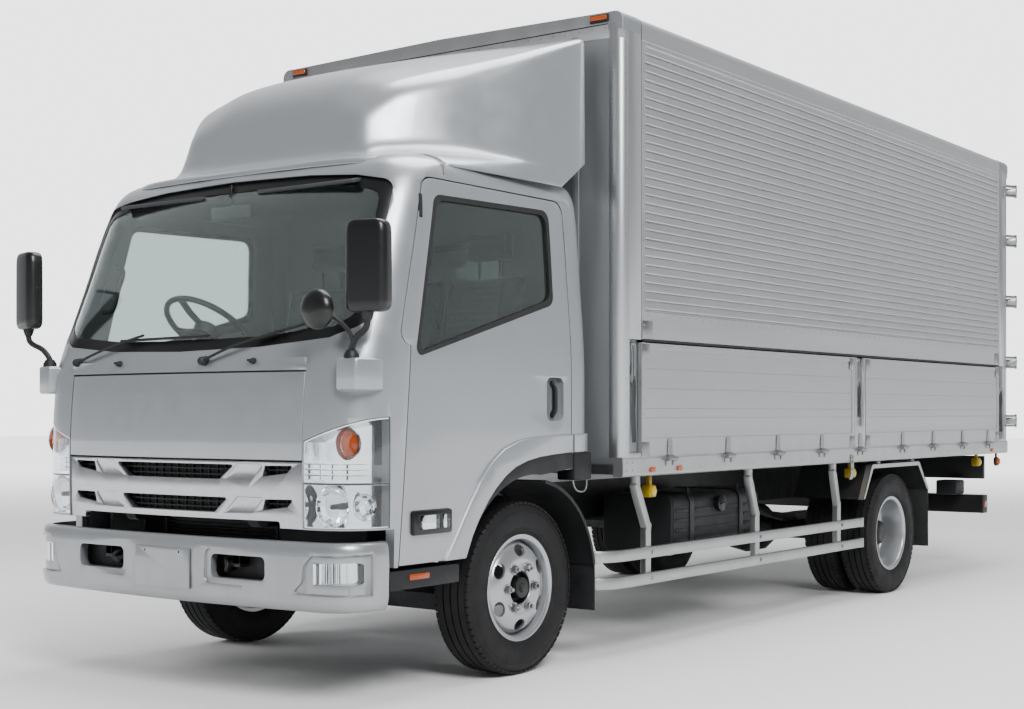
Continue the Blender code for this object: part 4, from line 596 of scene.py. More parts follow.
def combine(made, tools, operation):
    """Join tools to a solid, cut them from it or keep what they share."""
    for tool in tools:
        step = made.modifiers.new("step", "BOOLEAN")
        step.object = tool
        step.operation = operation
        step.solver = "MANIFOLD"
        settle(made)
        bpy.data.objects.remove(tool, do_unlink=True)
    if not made.data.polygons:
        raise RuntimeError("a boolean left nothing")
    return made


def fuse(made, *tools):
    """Join tools to a piece."""
    return combine(made, tools, "UNION")


def cut(made, *tools):
    """Cut tools out of a piece."""
    return combine(made, tools, "DIFFERENCE")


def keep(made, *tools):
    """Keep what a piece has in common with the tools."""
    return combine(made, tools, "INTERSECT")


def gather(parts):
    """Put several meshes into one object without joining their surfaces."""
    parts = list(parts)
    work = bmesh.new()
    for part in parts:
        work.from_mesh(part.data)
        bpy.data.objects.remove(part, do_unlink=True)
    mesh = bpy.data.meshes.new("gathered")
    work.to_mesh(mesh)
    work.free()
    return new_object("gathered", mesh)


def dress(name, made, material, body, stands_for=(), sharp=35):
    """Finish a piece: name it, shift it into the frame, shade it and let it ride on its body."""
    made.name = name
    made.data.name = name
    made.data.transform(Matrix.Translation((0, AXLE_Y, 0)))
    made.data.materials.clear()
    made.data.materials.append(MATERIALS[material])
    made.data.polygons.foreach_set("material_index", [0] * len(made.data.polygons))
    made.data.shade_smooth()
    made.data.set_sharp_from_angle(angle=math.radians(sharp))
    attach(made, body)
    if stands_for:
        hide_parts(*stands_for)
    return made


def repaint(node, material):
    """Give a CAD node a better material."""
    thing = NODES[node]
    thing.data.materials.clear()
    thing.data.materials.append(MATERIALS[material])
    for face in thing.data.polygons:
        face.material_index = 0


# Cab form

# Height, front face on the centre line, half width, rear face, corner width and corner length.
CAB_STATIONS = (
    (0.547, -1.175, 0.985, 0.440, 0.27, 0.26),
    (0.965, -1.180, 0.990, 0.450, 0.27, 0.26),
    (1.320, -1.158, 0.990, 0.450, 0.27, 0.26),
    (1.400, -1.135, 0.988, 0.450, 0.27, 0.26),
    (1.700, -1.022, 0.974, 0.440, 0.26, 0.255),
    (2.100, -0.865, 0.950, 0.422, 0.24, 0.25),
    (2.175, -0.815, 0.925, 0.408, 0.24, 0.25),
    (2.222, -0.730, 0.870, 0.360, 0.24, 0.25),
    (2.245, -0.560, 0.760, 0.250, 0.24, 0.25),
)
ROOF_FROM = 2.05
CORNER_POWER = 2.5
FRONT_BOW = 0.04
REAR_CORNER = 0.07
WALL = 0.045


def slope(at, column):
    """Tangent of a station column, limited so that the curve never overshoots."""
    if at in (0, len(CAB_STATIONS) - 1):
        near, far = (0, 1) if at == 0 else (-2, -1)
        low, high = CAB_STATIONS[near], CAB_STATIONS[far]
        return (high[column] - low[column]) / (high[0] - low[0])
    low, here, high = CAB_STATIONS[at - 1:at + 2]
    before = (here[column] - low[column]) / (here[0] - low[0])
    after = (high[column] - here[column]) / (high[0] - here[0])
    if before * after <= 0:
        return 0.0
    return 2 * before * after / (before + after)


def station_at(height):
    """Cab station at a height, on smooth curves through the table."""
    height = min(max(height, CAB_STATIONS[0][0]), CAB_STATIONS[-1][0])
    for at, (low, high) in enumerate(zip(CAB_STATIONS, CAB_STATIONS[1:])):
        if height <= high[0]:
            span = high[0] - low[0]
            t = (height - low[0]) / span
            row = [height]
            for column in range(1, 6):
                a, b = low[column], high[column]
                m, n = slope(at, column) * span, slope(at + 1, column) * span
                row.append((2 * t ** 3 - 3 * t ** 2 + 1) * a + (t ** 3 - 2 * t ** 2 + t) * m
                           + (3 * t ** 2 - 2 * t ** 3) * b + (t ** 3 - t ** 2) * n)
            return tuple(row)
    return CAB_STATIONS[-1]


def cab_ring(height, inset, lift=0.0, steps=14):
    """One level outline of the cab, moved inwards by the inset."""
    _, front, half, rear, corner_x, corner_y = station_at(height)
    centre_x = half - corner_x
    centre_y = front + FRONT_BOW + corner_y
    power = 2 / CORNER_POWER
    points = [(centre_x * share, front + inset + FRONT_BOW * share ** 2)
              for share in (0, 0.2, 0.4, 0.6, 0.8)]
    for at in range(steps + 1):
        turn = math.radians(90 * at / steps)
        points.append((centre_x + (corner_x - inset) * math.sin(turn) ** power,
                       centre_y - (corner_y - inset) * math.cos(turn) ** power))
    points += [(half - inset, y) for y in (-0.55, -0.30, -0.05, 0.18)]
    points += arc((half - REAR_CORNER, rear - REAR_CORNER), REAR_CORNER - inset, 0, 90, 5)
    points += [(half * share, rear - inset) for share in (0.6, 0.3, 0)]
    right = [(-x, y) for x, y in reversed(points[1:-1])]
    return [(x, y, height + lift) for x, y in points + right]


def cab_solid(inset, roof_drop=None, bottom=0.547, top=2.245):
    """The cab's closed outer form, moved inwards at its walls and down at its roof."""
    roof_drop = inset if roof_drop is None else roof_drop
    heights = [0.547, 0.65, 0.75, 0.85, 0.965, 1.05, 1.14, 1.23, 1.32, 1.36, 1.40, 1.46, 1.54, 1.62, 1.70,
               1.80, 1.90, 2.00, 2.05, 2.10, 2.135, 2.16, 2.175, 2.19, 2.205, 2.215, 2.222, 2.23, 2.238,
               2.245]
    heights = [bottom] + [h for h in heights if bottom + 0.01 < h < top - 0.004] + [top]
    rings = []
    for height in heights:
        share = min(max((height - ROOF_FROM) / 0.10, 0), 1)
        rings.append(cab_ring(height, inset, -roof_drop * share))
    return loft(rings)


DOOR_FRONT = -0.882
DOOR_REAR = 0.300
DOOR_BOTTOM = 0.547
DOOR_TOP = 2.115
ARCH_RADIUS = 0.50
ARCH_FLARE = 0.645
LID_HALF = 0.715
LID_BOTTOM = 0.9675
LID_TOP = 1.3195
NOSE_BOTTOM = 0.70
LAMP_INNER = 0.722
DOOR_ARCH = ARCH_RADIUS


def door_outline(gap, arch=DOOR_ARCH):
    """Side outline of the door, drawn in by a gap on every edge."""
    radius = arch + gap
    foot = math.degrees(math.asin((DOOR_BOTTOM + gap - HUB_Z) / radius))
    outline = [(DOOR_FRONT + gap, DOOR_BOTTOM + gap)] + arc((0, HUB_Z), radius, 180 - foot, 96, 24)
    outline += [(0.06, HUB_Z + radius), (DOOR_REAR - gap, HUB_Z + radius + 0.01)]
    outline += rounded([(DOOR_REAR - gap, 1.50, 0), (DOOR_REAR - 0.028 - gap, DOOR_TOP - gap, 0.06),
                        (-0.685 + gap, DOOR_TOP - gap, 0.06), (DOOR_FRONT + gap, 1.42, 0.05)])
    return outline


def window_outline(gap):
    """The door window's outline in (y, z), drawn in by a gap."""
    return rounded([(-0.785 + gap, 1.372 + gap, 0.03), (0.175 - gap, 1.640 + gap, 0.05),
                    (0.165 - gap, 2.062 - gap, 0.05), (-0.628 + gap, 2.046 - gap, 0.05)])


def windscreen_outline(gap, corner=0.06):
    """Front outline of the windscreen: a low arch above, a shallow curve below, round corners."""
    low = [(0.45, 1.418 + gap, 0), (0.80, 1.448 + gap, 0), (0.925 - gap, 1.500 + gap, corner)]
    high = [(0.882 - gap, 2.090 - gap, corner), (0.70, 2.124 - gap, 0), (0.45, 2.142 - gap, 0)]
    left = [(-x, z, r) for x, z, r in reversed(high)] + [(-x, z, r) for x, z, r in reversed(low)]
    return rounded([(0, 1.408 + gap, 0)] + low + high + [(0, 2.150 - gap, 0)] + left)


def lamp_outline(side, gap):
    """A headlamp's outline in (x, z), drawn in by a gap."""
    return [(side * (LAMP_INNER + gap), NOSE_BOTTOM + 0.006 + gap),
            (side * 1.02, NOSE_BOTTOM + 0.006 + gap), (side * 1.02, 1.152 - gap),
            (side * (LAMP_INNER + gap), 1.045 - gap)]


def rear_window_outline(gap):
    """The rear window's outline in (x, z), drawn in by a gap."""
    return rounded([(-0.52 + gap, 1.52 + gap, 0.06), (0.52 - gap, 1.52 + gap, 0.06),
                    (0.52 - gap, 1.98 - gap, 0.06), (-0.52 + gap, 1.98 - gap, 0.06)])


def slice_of_cab(outer, inner, cutter, bottom=0.6):
    """The layer of the cab's form between two insets, kept inside a cutter."""
    layer = cab_solid(outer)
    cut(layer, cab_solid(inner, bottom=bottom))
    return keep(layer, cutter)


# Roof deflector: station, then base, shoulder, waist and ridge as half width and height, then
# the rounding of the ridge and the height on the centre line.
DEFLECTOR_STATIONS = (
    (-0.815, 0.250, 2.188, 0.220, 2.192, 0.180, 2.195, 0.120, 2.197, 0.02, 2.197),
    (-0.785, 0.600, 2.188, 0.570, 2.200, 0.500, 2.207, 0.400, 2.212, 0.05, 2.215),
    (-0.745, 0.740, 2.187, 0.700, 2.208, 0.620, 2.216, 0.400, 2.222, 0.05, 2.228),
    (-0.700, 0.805, 2.186, 0.765, 2.213, 0.620, 2.224, 0.420, 2.237, 0.05, 2.250),
    (-0.660, 0.845, 2.185, 0.800, 2.220, 0.600, 2.232, 0.440, 2.290, 0.08, 2.330),
    (-0.620, 0.870, 2.185, 0.825, 2.226, 0.610, 2.240, 0.510, 2.410, 0.13, 2.460),
    (-0.560, 0.905, 2.184, 0.865, 2.232, 0.640, 2.252, 0.565, 2.480, 0.18, 2.560),
    (-0.460, 0.927, 2.183, 0.890, 2.240, 0.705, 2.264, 0.640, 2.555, 0.20, 2.645),
    (-0.310, 0.940, 2.180, 0.915, 2.245, 0.790, 2.275, 0.725, 2.615, 0.18, 2.710),
    (-0.140, 0.951, 2.178, 0.930, 2.250, 0.855, 2.280, 0.795, 2.675, 0.15, 2.765),
    (0.050, 0.960, 2.176, 0.955, 2.250, 0.930, 2.285, 0.875, 2.745, 0.12, 2.820),
    (0.250, 0.968, 2.176, 0.968, 2.240, 0.962, 2.290, 0.935, 2.825, 0.09, 2.870),
    (0.430, 0.972, 2.176, 0.972, 2.240, 0.972, 2.300, 0.968, 2.890, 0.07, 2.905),
)
DEFLECTOR_WALL = 0.014
DEFLECTOR_LOW = 2.06
DEFLECTOR_BASE = 2.18
GLUE_GAP = 0.0006


def curve_row(table, at, share):
    """A row between two rows of a table, on a smooth curve through its neighbours."""
    rows = [table[min(max(at + step, 0), len(table) - 1)] for step in (-1, 0, 1, 2)]
    t = share
    return tuple(0.5 * (2 * b + (c - a) * t + (2 * a - 5 * b + 4 * c - d) * t * t
                        + (3 * b - a - 3 * c + d) * t ** 3) for a, b, c, d in zip(*rows))


def toward(start, end, distance):
    """A point on the way from one flat point to another, at most near its middle."""
    way = Vector(end) - Vector(start)
    return tuple(Vector(start) + way * min(distance / way.length, 0.45))


def soft_line(points, steps):
    """A smooth line that follows a control polygon, touching its legs at their middles."""
    line = [tuple(points[0])]
    for at in range(1, len(points) - 1):
        before, here, after = (Vector(point) for point in points[at - 1:at + 2])
        start = before if at == 1 else (before + here) / 2
        end = after if at == len(points) - 2 else (here + after) / 2
        for step in range(1, steps + 1):
            share = step / steps
            line.append(tuple(start * (1 - share) ** 2 + here * 2 * share * (1 - share) + end * share ** 2))
    return line


def deflector_ring(row, inset):
    """Section of the deflector: a skirt on the roof, a waist, a rounded ridge and a crowned top."""
    station, base_x, base_z, shoulder_x, shoulder_z, waist_x, waist_z, ridge_x, ridge_z, radius, top = row
    waist = (waist_x - inset, waist_z - inset)
    ridge = (ridge_x - inset, ridge_z - inset)
    crown = ((ridge_x - inset) * 0.5, top - inset)
    controls = [(base_x - inset, base_z), (shoulder_x - inset, shoulder_z - inset), waist,
                toward(ridge, waist, radius), ridge, toward(ridge, crown, radius), crown, (0, top - inset)]
    half = [(base_x - inset, DEFLECTOR_LOW)] + soft_line(controls, 6)
    return [(x, station, z) for x, z in half + [(-x, z) for x, z in reversed(half[:-1])]]


def deflector_solid(inset):
    """The deflector's closed outer form, or with an inset the space inside it, open to the rear."""
    table = DEFLECTOR_STATIONS[5:] if inset else DEFLECTOR_STATIONS
    rows = []
    for at in range(len(table) - 1):
        rows += [curve_row(table, at, step / 4) for step in range(4)]
    rows.append(table[-1])
    if inset:
        rows[-1] = (rows[-1][0] + 0.05,) + rows[-1][1:]
    return loft([deflector_ring(row, inset) for row in rows])


def build_deflector():
    """The fibreglass roof deflector, open at its back."""
    blister = deflector_solid(0)
    corner = [(0.25, DEFLECTOR_BASE - 0.001), (0.60, 2.425), (0.60, 2.0), (0.25, 2.0)]
    cut(blister, deflector_solid(DEFLECTOR_WALL), cab_solid(-GLUE_GAP, bottom=1.5),
        block(ACROSS, (-1.2, 1.0), (DEFLECTOR_LOW - 0.1, DEFLECTOR_BASE)),
        prism("X", corner, -1.2, 1.2))
    bevelled(blister, 0.003, 2, 50)
    dress("deflector_shell", blister, "cab_paint", "cab", ("roof_deflector",), ROUND)


# Cab pieces

CAB_FLOOR_TOP = 0.95
CAB_FLOOR_BOTTOM = 0.90
CAB_REAR = 0.45
BULKHEAD = (-1.080, -1.045)
POD_TOP = 1.365
POD_OUTLINE = ((0.86, -1.06), (0.885, -1.130), (0.975, -1.115), (1.000, -1.04), (0.992, -0.97),
               (0.90, -0.96))
GLASS_INSET = 0.012
GLASS_THICK = 0.006
FLARE_LIP = 0.936


def arch_cutter(side, radius, reach):
    """Everything below the wheel arch, back to the rear of the cab."""
    foot = math.degrees(math.asin((DOOR_BOTTOM - 0.05 - HUB_Z) / radius))
    curve = arc((0, HUB_Z), radius, 180 - foot, 90, 32)
    outline = [(curve[0][0], 0.30)] + curve + [(0.10, HUB_Z + radius + 0.004),
                                               (0.62, HUB_Z + radius + 0.016), (0.62, 0.30)]
    return prism("X", outline, *sorted((side * reach, side * 1.10)))


def through_side(side, outline, near=0.70):
    """A cutter through one side of the cab."""
    return prism("X", outline, *sorted((side * near, side * 1.10)))


def paint_inside(made, outer_inset, material):
    """Give the faces that lie deeper than the inset a lining instead of paint."""
    outer = cab_solid(0.0)
    work = bmesh.new()
    work.from_mesh(outer.data)
    tree = BVHTree.FromBMesh(work)
    work.free()
    bpy.data.objects.remove(outer, do_unlink=True)
    made.data.materials.append(MATERIALS[material])
    shift = Vector((0, AXLE_Y, 0))
    for face in made.data.polygons:
        hit = tree.find_nearest(face.center - shift)
        if hit[3] is not None and hit[3] > outer_inset:
            face.material_index = 1


def build_cab_shell():
    """The pressed cab: outer skin, floor, engine hump, arches, openings and lid frame."""
    shell = cab_solid(0)
    inner = cab_solid(WALL, bottom=CAB_FLOOR_TOP)
    under = loft([cab_ring(0.548, WALL, -0.1), cab_ring(0.75, WALL), cab_ring(CAB_FLOOR_BOTTOM, WALL)])
    cut(shell, inner, under, block(ACROSS, (AHEAD, -0.905), (0.4, NOSE_BOTTOM)),
        block(ACROSS, (0.20, 0.60), (0.4, CAB_FLOOR_BOTTOM)))
    fuse(shell, block((-0.36, 0.36), (-0.50, CAB_REAR - 0.02), (CAB_FLOOR_TOP - 0.02, 1.13)))
    cut(shell, block((-0.32, 0.32), (-0.46, CAB_REAR - WALL), (0.80, 1.09)))
    for _, side in SIDES:
        cut(shell, arch_cutter(side, ARCH_RADIUS, 0.50), through_side(side, door_outline(0, ARCH_FLARE)),
            through_side(side, door_outline(0, ARCH_RADIUS - 0.02), FLARE_LIP),
            prism("Y", lamp_outline(side, 0), AHEAD, -0.93))
    cut(shell, prism("Y", windscreen_outline(0), AHEAD, -0.50),
        prism("Y", rear_window_outline(0), 0.20, 0.60),
        block((-LID_HALF - 0.003, LID_HALF + 0.003), (AHEAD, -1.0), (NOSE_BOTTOM - 0.1, LID_TOP + 0.003)))
    fuse(shell, block((-LID_HALF, LID_HALF), BULKHEAD, (CAB_FLOOR_BOTTOM + 0.002, 1.36)),
         block((-LID_HALF, LID_HALF), (-1.122, BULKHEAD[1] - 0.002), (1.345, 1.372)))
    bevelled(shell, 0.003, 2, 40)
    dress("cab_body", shell, "cab_paint", "cab", ("cab_shell",), ROUND)
    paint_inside(shell, 0.02, "lining")
    for label, side in SIDES:
        pod = prism("Z", [(side * x, y) for x, y in POD_OUTLINE], 1.240, POD_TOP)
        bevelled(pod, 0.012, 4)
        dress("mirror_pod_" + label, pod, "cab_paint", "cab")
        lug = block((side * 0.3803, side * 0.4103), (-1.078, -1.022), (0.72, CAB_FLOOR_BOTTOM + 0.01),
                    0.004)
        eye = rod("X", (side * 0.3953, -1.05, 0.72), 0.03, -0.015, 0.015, 32)
        dress("tilt_lug_" + label, gather([lug, eye]), "cast", "cab")


def build_lid():
    """The front lid, with what is fixed on it."""
    lid = slice_of_cab(0, 0.028, block((-LID_HALF, LID_HALF), (AHEAD, -1.0), (LID_BOTTOM, LID_TOP - 0.003)))
    bevelled(lid, 0.006, 3, 40)
    dress("lid_panel", lid, "cab_paint", "front_lid", ("front_lid",), ROUND)


def build_doors():
    """Doors with the flared arch band, a pull handle in its recess and a glass pane."""
    for label, side in SIDES:
        body = "cab_door_" + label
        door = cab_solid(0)
        cut(door, cab_solid(WALL, bottom=0.5475))
        keep(door, through_side(side, door_outline(0.006)))
        cut(door, through_side(side, window_outline(0)),
            prism("X", rounded([(0.105, 1.118, 0.03), (0.235, 1.118, 0.03), (0.235, 1.312, 0.03),
                                (0.105, 1.312, 0.03)]), *sorted((side * 0.965, side * 1.10))))
        bevelled(door, 0.005, 3, 40)
        dress("door_panel_" + label, door, "cab_paint", body, ("door_" + label,), ROUND)
        paint_inside(door, 0.02, "lining")
        grip = swept(smooth_path([(side * 0.966, 0.170, 1.138), (side * 0.986, 0.170, 1.165),
                                  (side * 0.988, 0.170, 1.215), (side * 0.986, 0.170, 1.265),
                                  (side * 0.966, 0.170, 1.292)], 6), round_section(0.014, 16, 0.55),
                     (0, 1, 0))
        dress("door_grip_" + label, grip, "black_plastic", body)
        pane = slice_of_cab(GLASS_INSET, GLASS_INSET + GLASS_THICK,
                            through_side(side, window_outline(0.0003)))
        dress("side_window_" + label, pane, "door_glass", body, ("door_glass_" + label,),
              ROUND)
        cutter = through_side(side, window_outline(0.0002))
        cut(cutter, prism("X", window_outline(0.022), *sorted((side * 0.60, side * 1.20))))
        seal = slice_of_cab(0.001, GLASS_INSET, cutter)
        dress("window_seal_" + label, seal, "seal", body, sharp=ROUND)


def build_glass():
    """Windscreen and rear window with their black printed borders."""
    for name, node, outline, span, border in (
            ("front_glass", "windscreen", windscreen_outline, (AHEAD, -0.50), 0.045),
            ("rear_glass", "rear_window", rear_window_outline, (0.20, 0.60), 0.03)):
        pane = slice_of_cab(GLASS_INSET, GLASS_INSET + GLASS_THICK, prism("Y", outline(0.0003), *span))
        dress(name, pane, "glass", "cab", (node,), ROUND)
        edge = prism("Y", outline(0.0002), *span)
        cut(edge, prism("Y", outline(border), span[0] - 0.1, span[1] + 0.1))
        frit = slice_of_cab(GLASS_INSET - 0.002, GLASS_INSET - 0.0002, edge)
        dress(name + "_border", frit, "black_gloss", "cab", sharp=ROUND)


# Repeats

def repeat_tree():
    """A node group that sets a template on every point, turned by the point's own angles."""
    tree = bpy.data.node_groups.get("set_on_points")
    if tree:
        return tree
    tree = bpy.data.node_groups.new("set_on_points", "GeometryNodeTree")
    for label, kind in (("Points", "Geometry"), ("Template", "Object"), ("Spin", "Float"), ("Seed", "Int"),
                        ("Material", "Material")):
        tree.interface.new_socket(label, in_out="INPUT", socket_type="NodeSocket" + kind)
    tree.interface.new_socket("Result", in_out="OUTPUT", socket_type="NodeSocketGeometry")
    given = tree.nodes.new("NodeGroupInput").outputs
    turn = add(tree, "GeometryNodeInputNamedAttribute", {"data_type": "FLOAT_VECTOR"}, {"Name": "turn"})
    facing = add(tree, "FunctionNodeEulerToRotation", inputs={"Euler": turn.outputs["Attribute"]})
    chance = add(tree, "FunctionNodeRandomValue", {"data_type": "FLOAT"}, {"Seed": given["Seed"]})
    tree.links.new(given["Spin"], chance.inputs[3])
    about = add(tree, "ShaderNodeCombineXYZ", inputs={"Z": chance.outputs[1]})
    spin = add(tree, "FunctionNodeEulerToRotation", inputs={"Euler": about.outputs["Vector"]})
    both = add(tree, "FunctionNodeRotateRotation", {"rotation_space": "LOCAL"},
               {"Rotation": facing.outputs["Rotation"], "Rotate By": spin.outputs["Rotation"]})
    shape = add(tree, "GeometryNodeObjectInfo", inputs={"Object": given["Template"]})
    stamped = add(tree, "GeometryNodeInstanceOnPoints",
                  inputs={"Points": given["Points"], "Instance": shape.outputs["Geometry"],
                          "Rotation": both.outputs["Rotation"]})
    solid = add(tree, "GeometryNodeRealizeInstances", inputs={"Geometry": stamped.outputs["Instances"]})
    coloured = add(tree, "GeometryNodeSetMaterial",
                   inputs={"Geometry": solid.outputs["Geometry"], "Material": given["Material"]})
    end = tree.nodes.new("NodeGroupOutput")
    tree.links.new(coloured.outputs["Geometry"], end.inputs["Result"])
    return tree


def repeat(template, spots, material, spin=0.0, seed=1):
    """Set a template on spots given as (point, euler angles) and return one plain mesh."""
    mesh = bpy.data.meshes.new("spots")
    mesh.from_pydata([tuple(point) for point, _ in spots], [], [])
    turns = mesh.attributes.new("turn", "FLOAT_VECTOR", "POINT")
    for at, (_, angles) in enumerate(spots):
        turns.data[at].vector = angles
    carrier = new_object("spots", mesh)
    tree = repeat_tree()
    step = carrier.modifiers.new("repeat", "NODES")
    step.node_group = tree
    values = {"Template": template, "Spin": spin, "Seed": seed, "Material": MATERIALS[material]}
    for socket in tree.interface.items_tree:
        if socket.item_type == "SOCKET" and socket.in_out == "INPUT" and socket.name in values:
            step[socket.identifier] = values[socket.name]
    settle(carrier)
    bpy.data.objects.remove(template, do_unlink=True)
    if not carrier.data.polygons:
        raise RuntimeError("a repeat left nothing")
    return carrier


OUTWARD = {1: (0, math.pi / 2, 0), -1: (0, -math.pi / 2, 0)}
FORWARD = (math.pi / 2, 0, 0)
REARWARD = (-math.pi / 2, 0, 0)
UPWARD = (0, 0, 0)


def rivet_head(radius, height=0.35, sides=10):
    """A low domed head that stands on the plane Z = 0."""
    return turned("Z", (0, 0, 0), [(-0.0004, 0), (-0.0004, radius), (height * radius * 0.55, radius * 0.82),
                                   (height * radius, radius * 0.4), (height * radius, 0)], sides)


def bolt_head(radius, height, washer=1.35):
    """A hexagon head with a chamfered top on its washer."""
    disc = rod("Z", (0, 0, 0), radius * washer, -0.0004, height * 0.22, 16)
    head = turned("Z", (0, 0, 0), [(height * 0.2, 0), (height * 0.2, radius), (height * 0.88, radius),
                                   (height, radius * 0.82), (height, 0)], 6)
    return gather([disc, head])


# Wheels

TYRE_HALF = 0.1025
FRONT_TYRE_X = JOINTS["front_wheel_spin_left"]["pos_m"][0]
TWIN_MIDDLE_X = JOINTS["rear_wheel_spin_left"]["pos_m"][0]
TWIN_HALF = 0.123
VENT_COUNT = 6


def soften(profile, steps=4):
    """A smooth profile through the given points."""
    return [(spot.x, spot.y) for spot in smooth_path([(a, b, 0) for a, b in profile], steps)]


def tyre_profile():
    """Sidewalls with fine rings, rounded shoulders and four ribs between three grooves."""
    wall = soften([(0.0765, 0.2252), (0.0850, 0.2330), (0.0935, 0.2480), (0.0990, 0.2700), (0.1022, 0.2980),
                   (0.1010, 0.3250), (0.0965, 0.3470), (0.0895, 0.3640), (0.0810, 0.3735)], 5)
    ringed = []
    for along, radius in wall:
        ringed.append((along, radius))
        if any(abs(radius - mark) < 0.0026 for mark in (0.246, 0.262, 0.334)):
            ringed += [(along + 0.0012, radius + 0.0006), (along + 0.0012, radius + 0.0022),
                       (along, radius + 0.0028)]
    half = ringed + [(0.0735, 0.3745)]
    tread = [(0.0725, 0.3798)]
    for groove in (0.040, 0.0):
        crown = 0.382 - 0.40 * groove ** 2
        tread += [(groove + 0.0045, crown), (groove + 0.0028, crown - 0.0105)]
        if groove:
            tread += [(groove - 0.0028, crown - 0.0105), (groove - 0.0045, crown)]
    half += tread
    return half + [(-along, radius) for along, radius in reversed(half)]


def build_tyre(name, centre, body, node, blocks):
    """One tyre: the turned carcass and its shoulder blocks."""
    carcass = turned("X", centre, tyre_profile(), 96, ring=True)
    spots = []
    for at in range(blocks):
        turn = 2 * math.pi * at / blocks
        for way in (1, -1):
            out = 0.0818 * way
            spots.append(((centre[0] + out, centre[1] + 0.3742 * math.cos(turn),
                           centre[2] + 0.3742 * math.sin(turn)),
                          (turn - math.pi / 2, 0, 0) if way == 1 else (turn - math.pi / 2, 0, 0)))
    pitch = 2 * math.pi * 0.378 / blocks
    lug = prism("Y", [(-0.0095, -0.006), (0.0095, -0.006), (0.0095, 0.0030), (0.0060, 0.0052),
                      (-0.0060, 0.0052), (-0.0095, 0.0030)], -pitch * 0.41, pitch * 0.41)
    bevelled(lug, 0.001, 1)
    lugs = repeat(lug, spots, "tyre")
    dress(name, gather([carcass, lugs]), "tyre", body, (node,), 32)


def cut_vents(made, centre, low, high):
    """Six oval vent holes through a disc."""
    tools = []
    for at in range(VENT_COUNT):
        turn = 2 * math.pi * (at + 0.5) / VENT_COUNT
        outline = []
        for step in range(28):
            around = 2 * math.pi * step / 28
            a, b = 0.036 * math.cos(around), 0.026 * math.sin(around)
            radius = 0.164 + b
            outline.append((centre[1] + radius * math.cos(turn) - a * math.sin(turn),
                            centre[2] + radius * math.sin(turn) + a * math.cos(turn)))
        tools.append(prism("X", outline, *sorted((low, high))))
    cut(made, *tools)


def wheel_nuts(side, centre, along, circle=0.098):
    """Six nuts with washers and stud ends about a hub."""
    nut = gather([bolt_head(0.0165, 0.022, 1.5), rod("Z", (0, 0, 0), 0.0085, 0.018, 0.034, 12)])
    spots = []
    for at in range(VENT_COUNT):
        turn = 2 * math.pi * at / VENT_COUNT
        spots.append(((centre[0] + side * along, centre[1] + circle * math.cos(turn),
                       centre[2] + circle * math.sin(turn)), OUTWARD[side]))
    return repeat(nut, spots, "zinc", 1.0, 3)


def rim_lip(edge):
    """The rolled flange of a rim whose tyre seat ends at the edge, as points from outside to inside."""
    return [(edge - 0.006, 0.2235), (edge - 0.001, 0.2290), (edge, 0.2350), (edge + 0.0035, 0.2375),
            (edge + 0.0065, 0.2350), (edge + 0.0060, 0.2260), (edge + 0.0010, 0.2165),
            (edge - 0.010, 0.2110)]


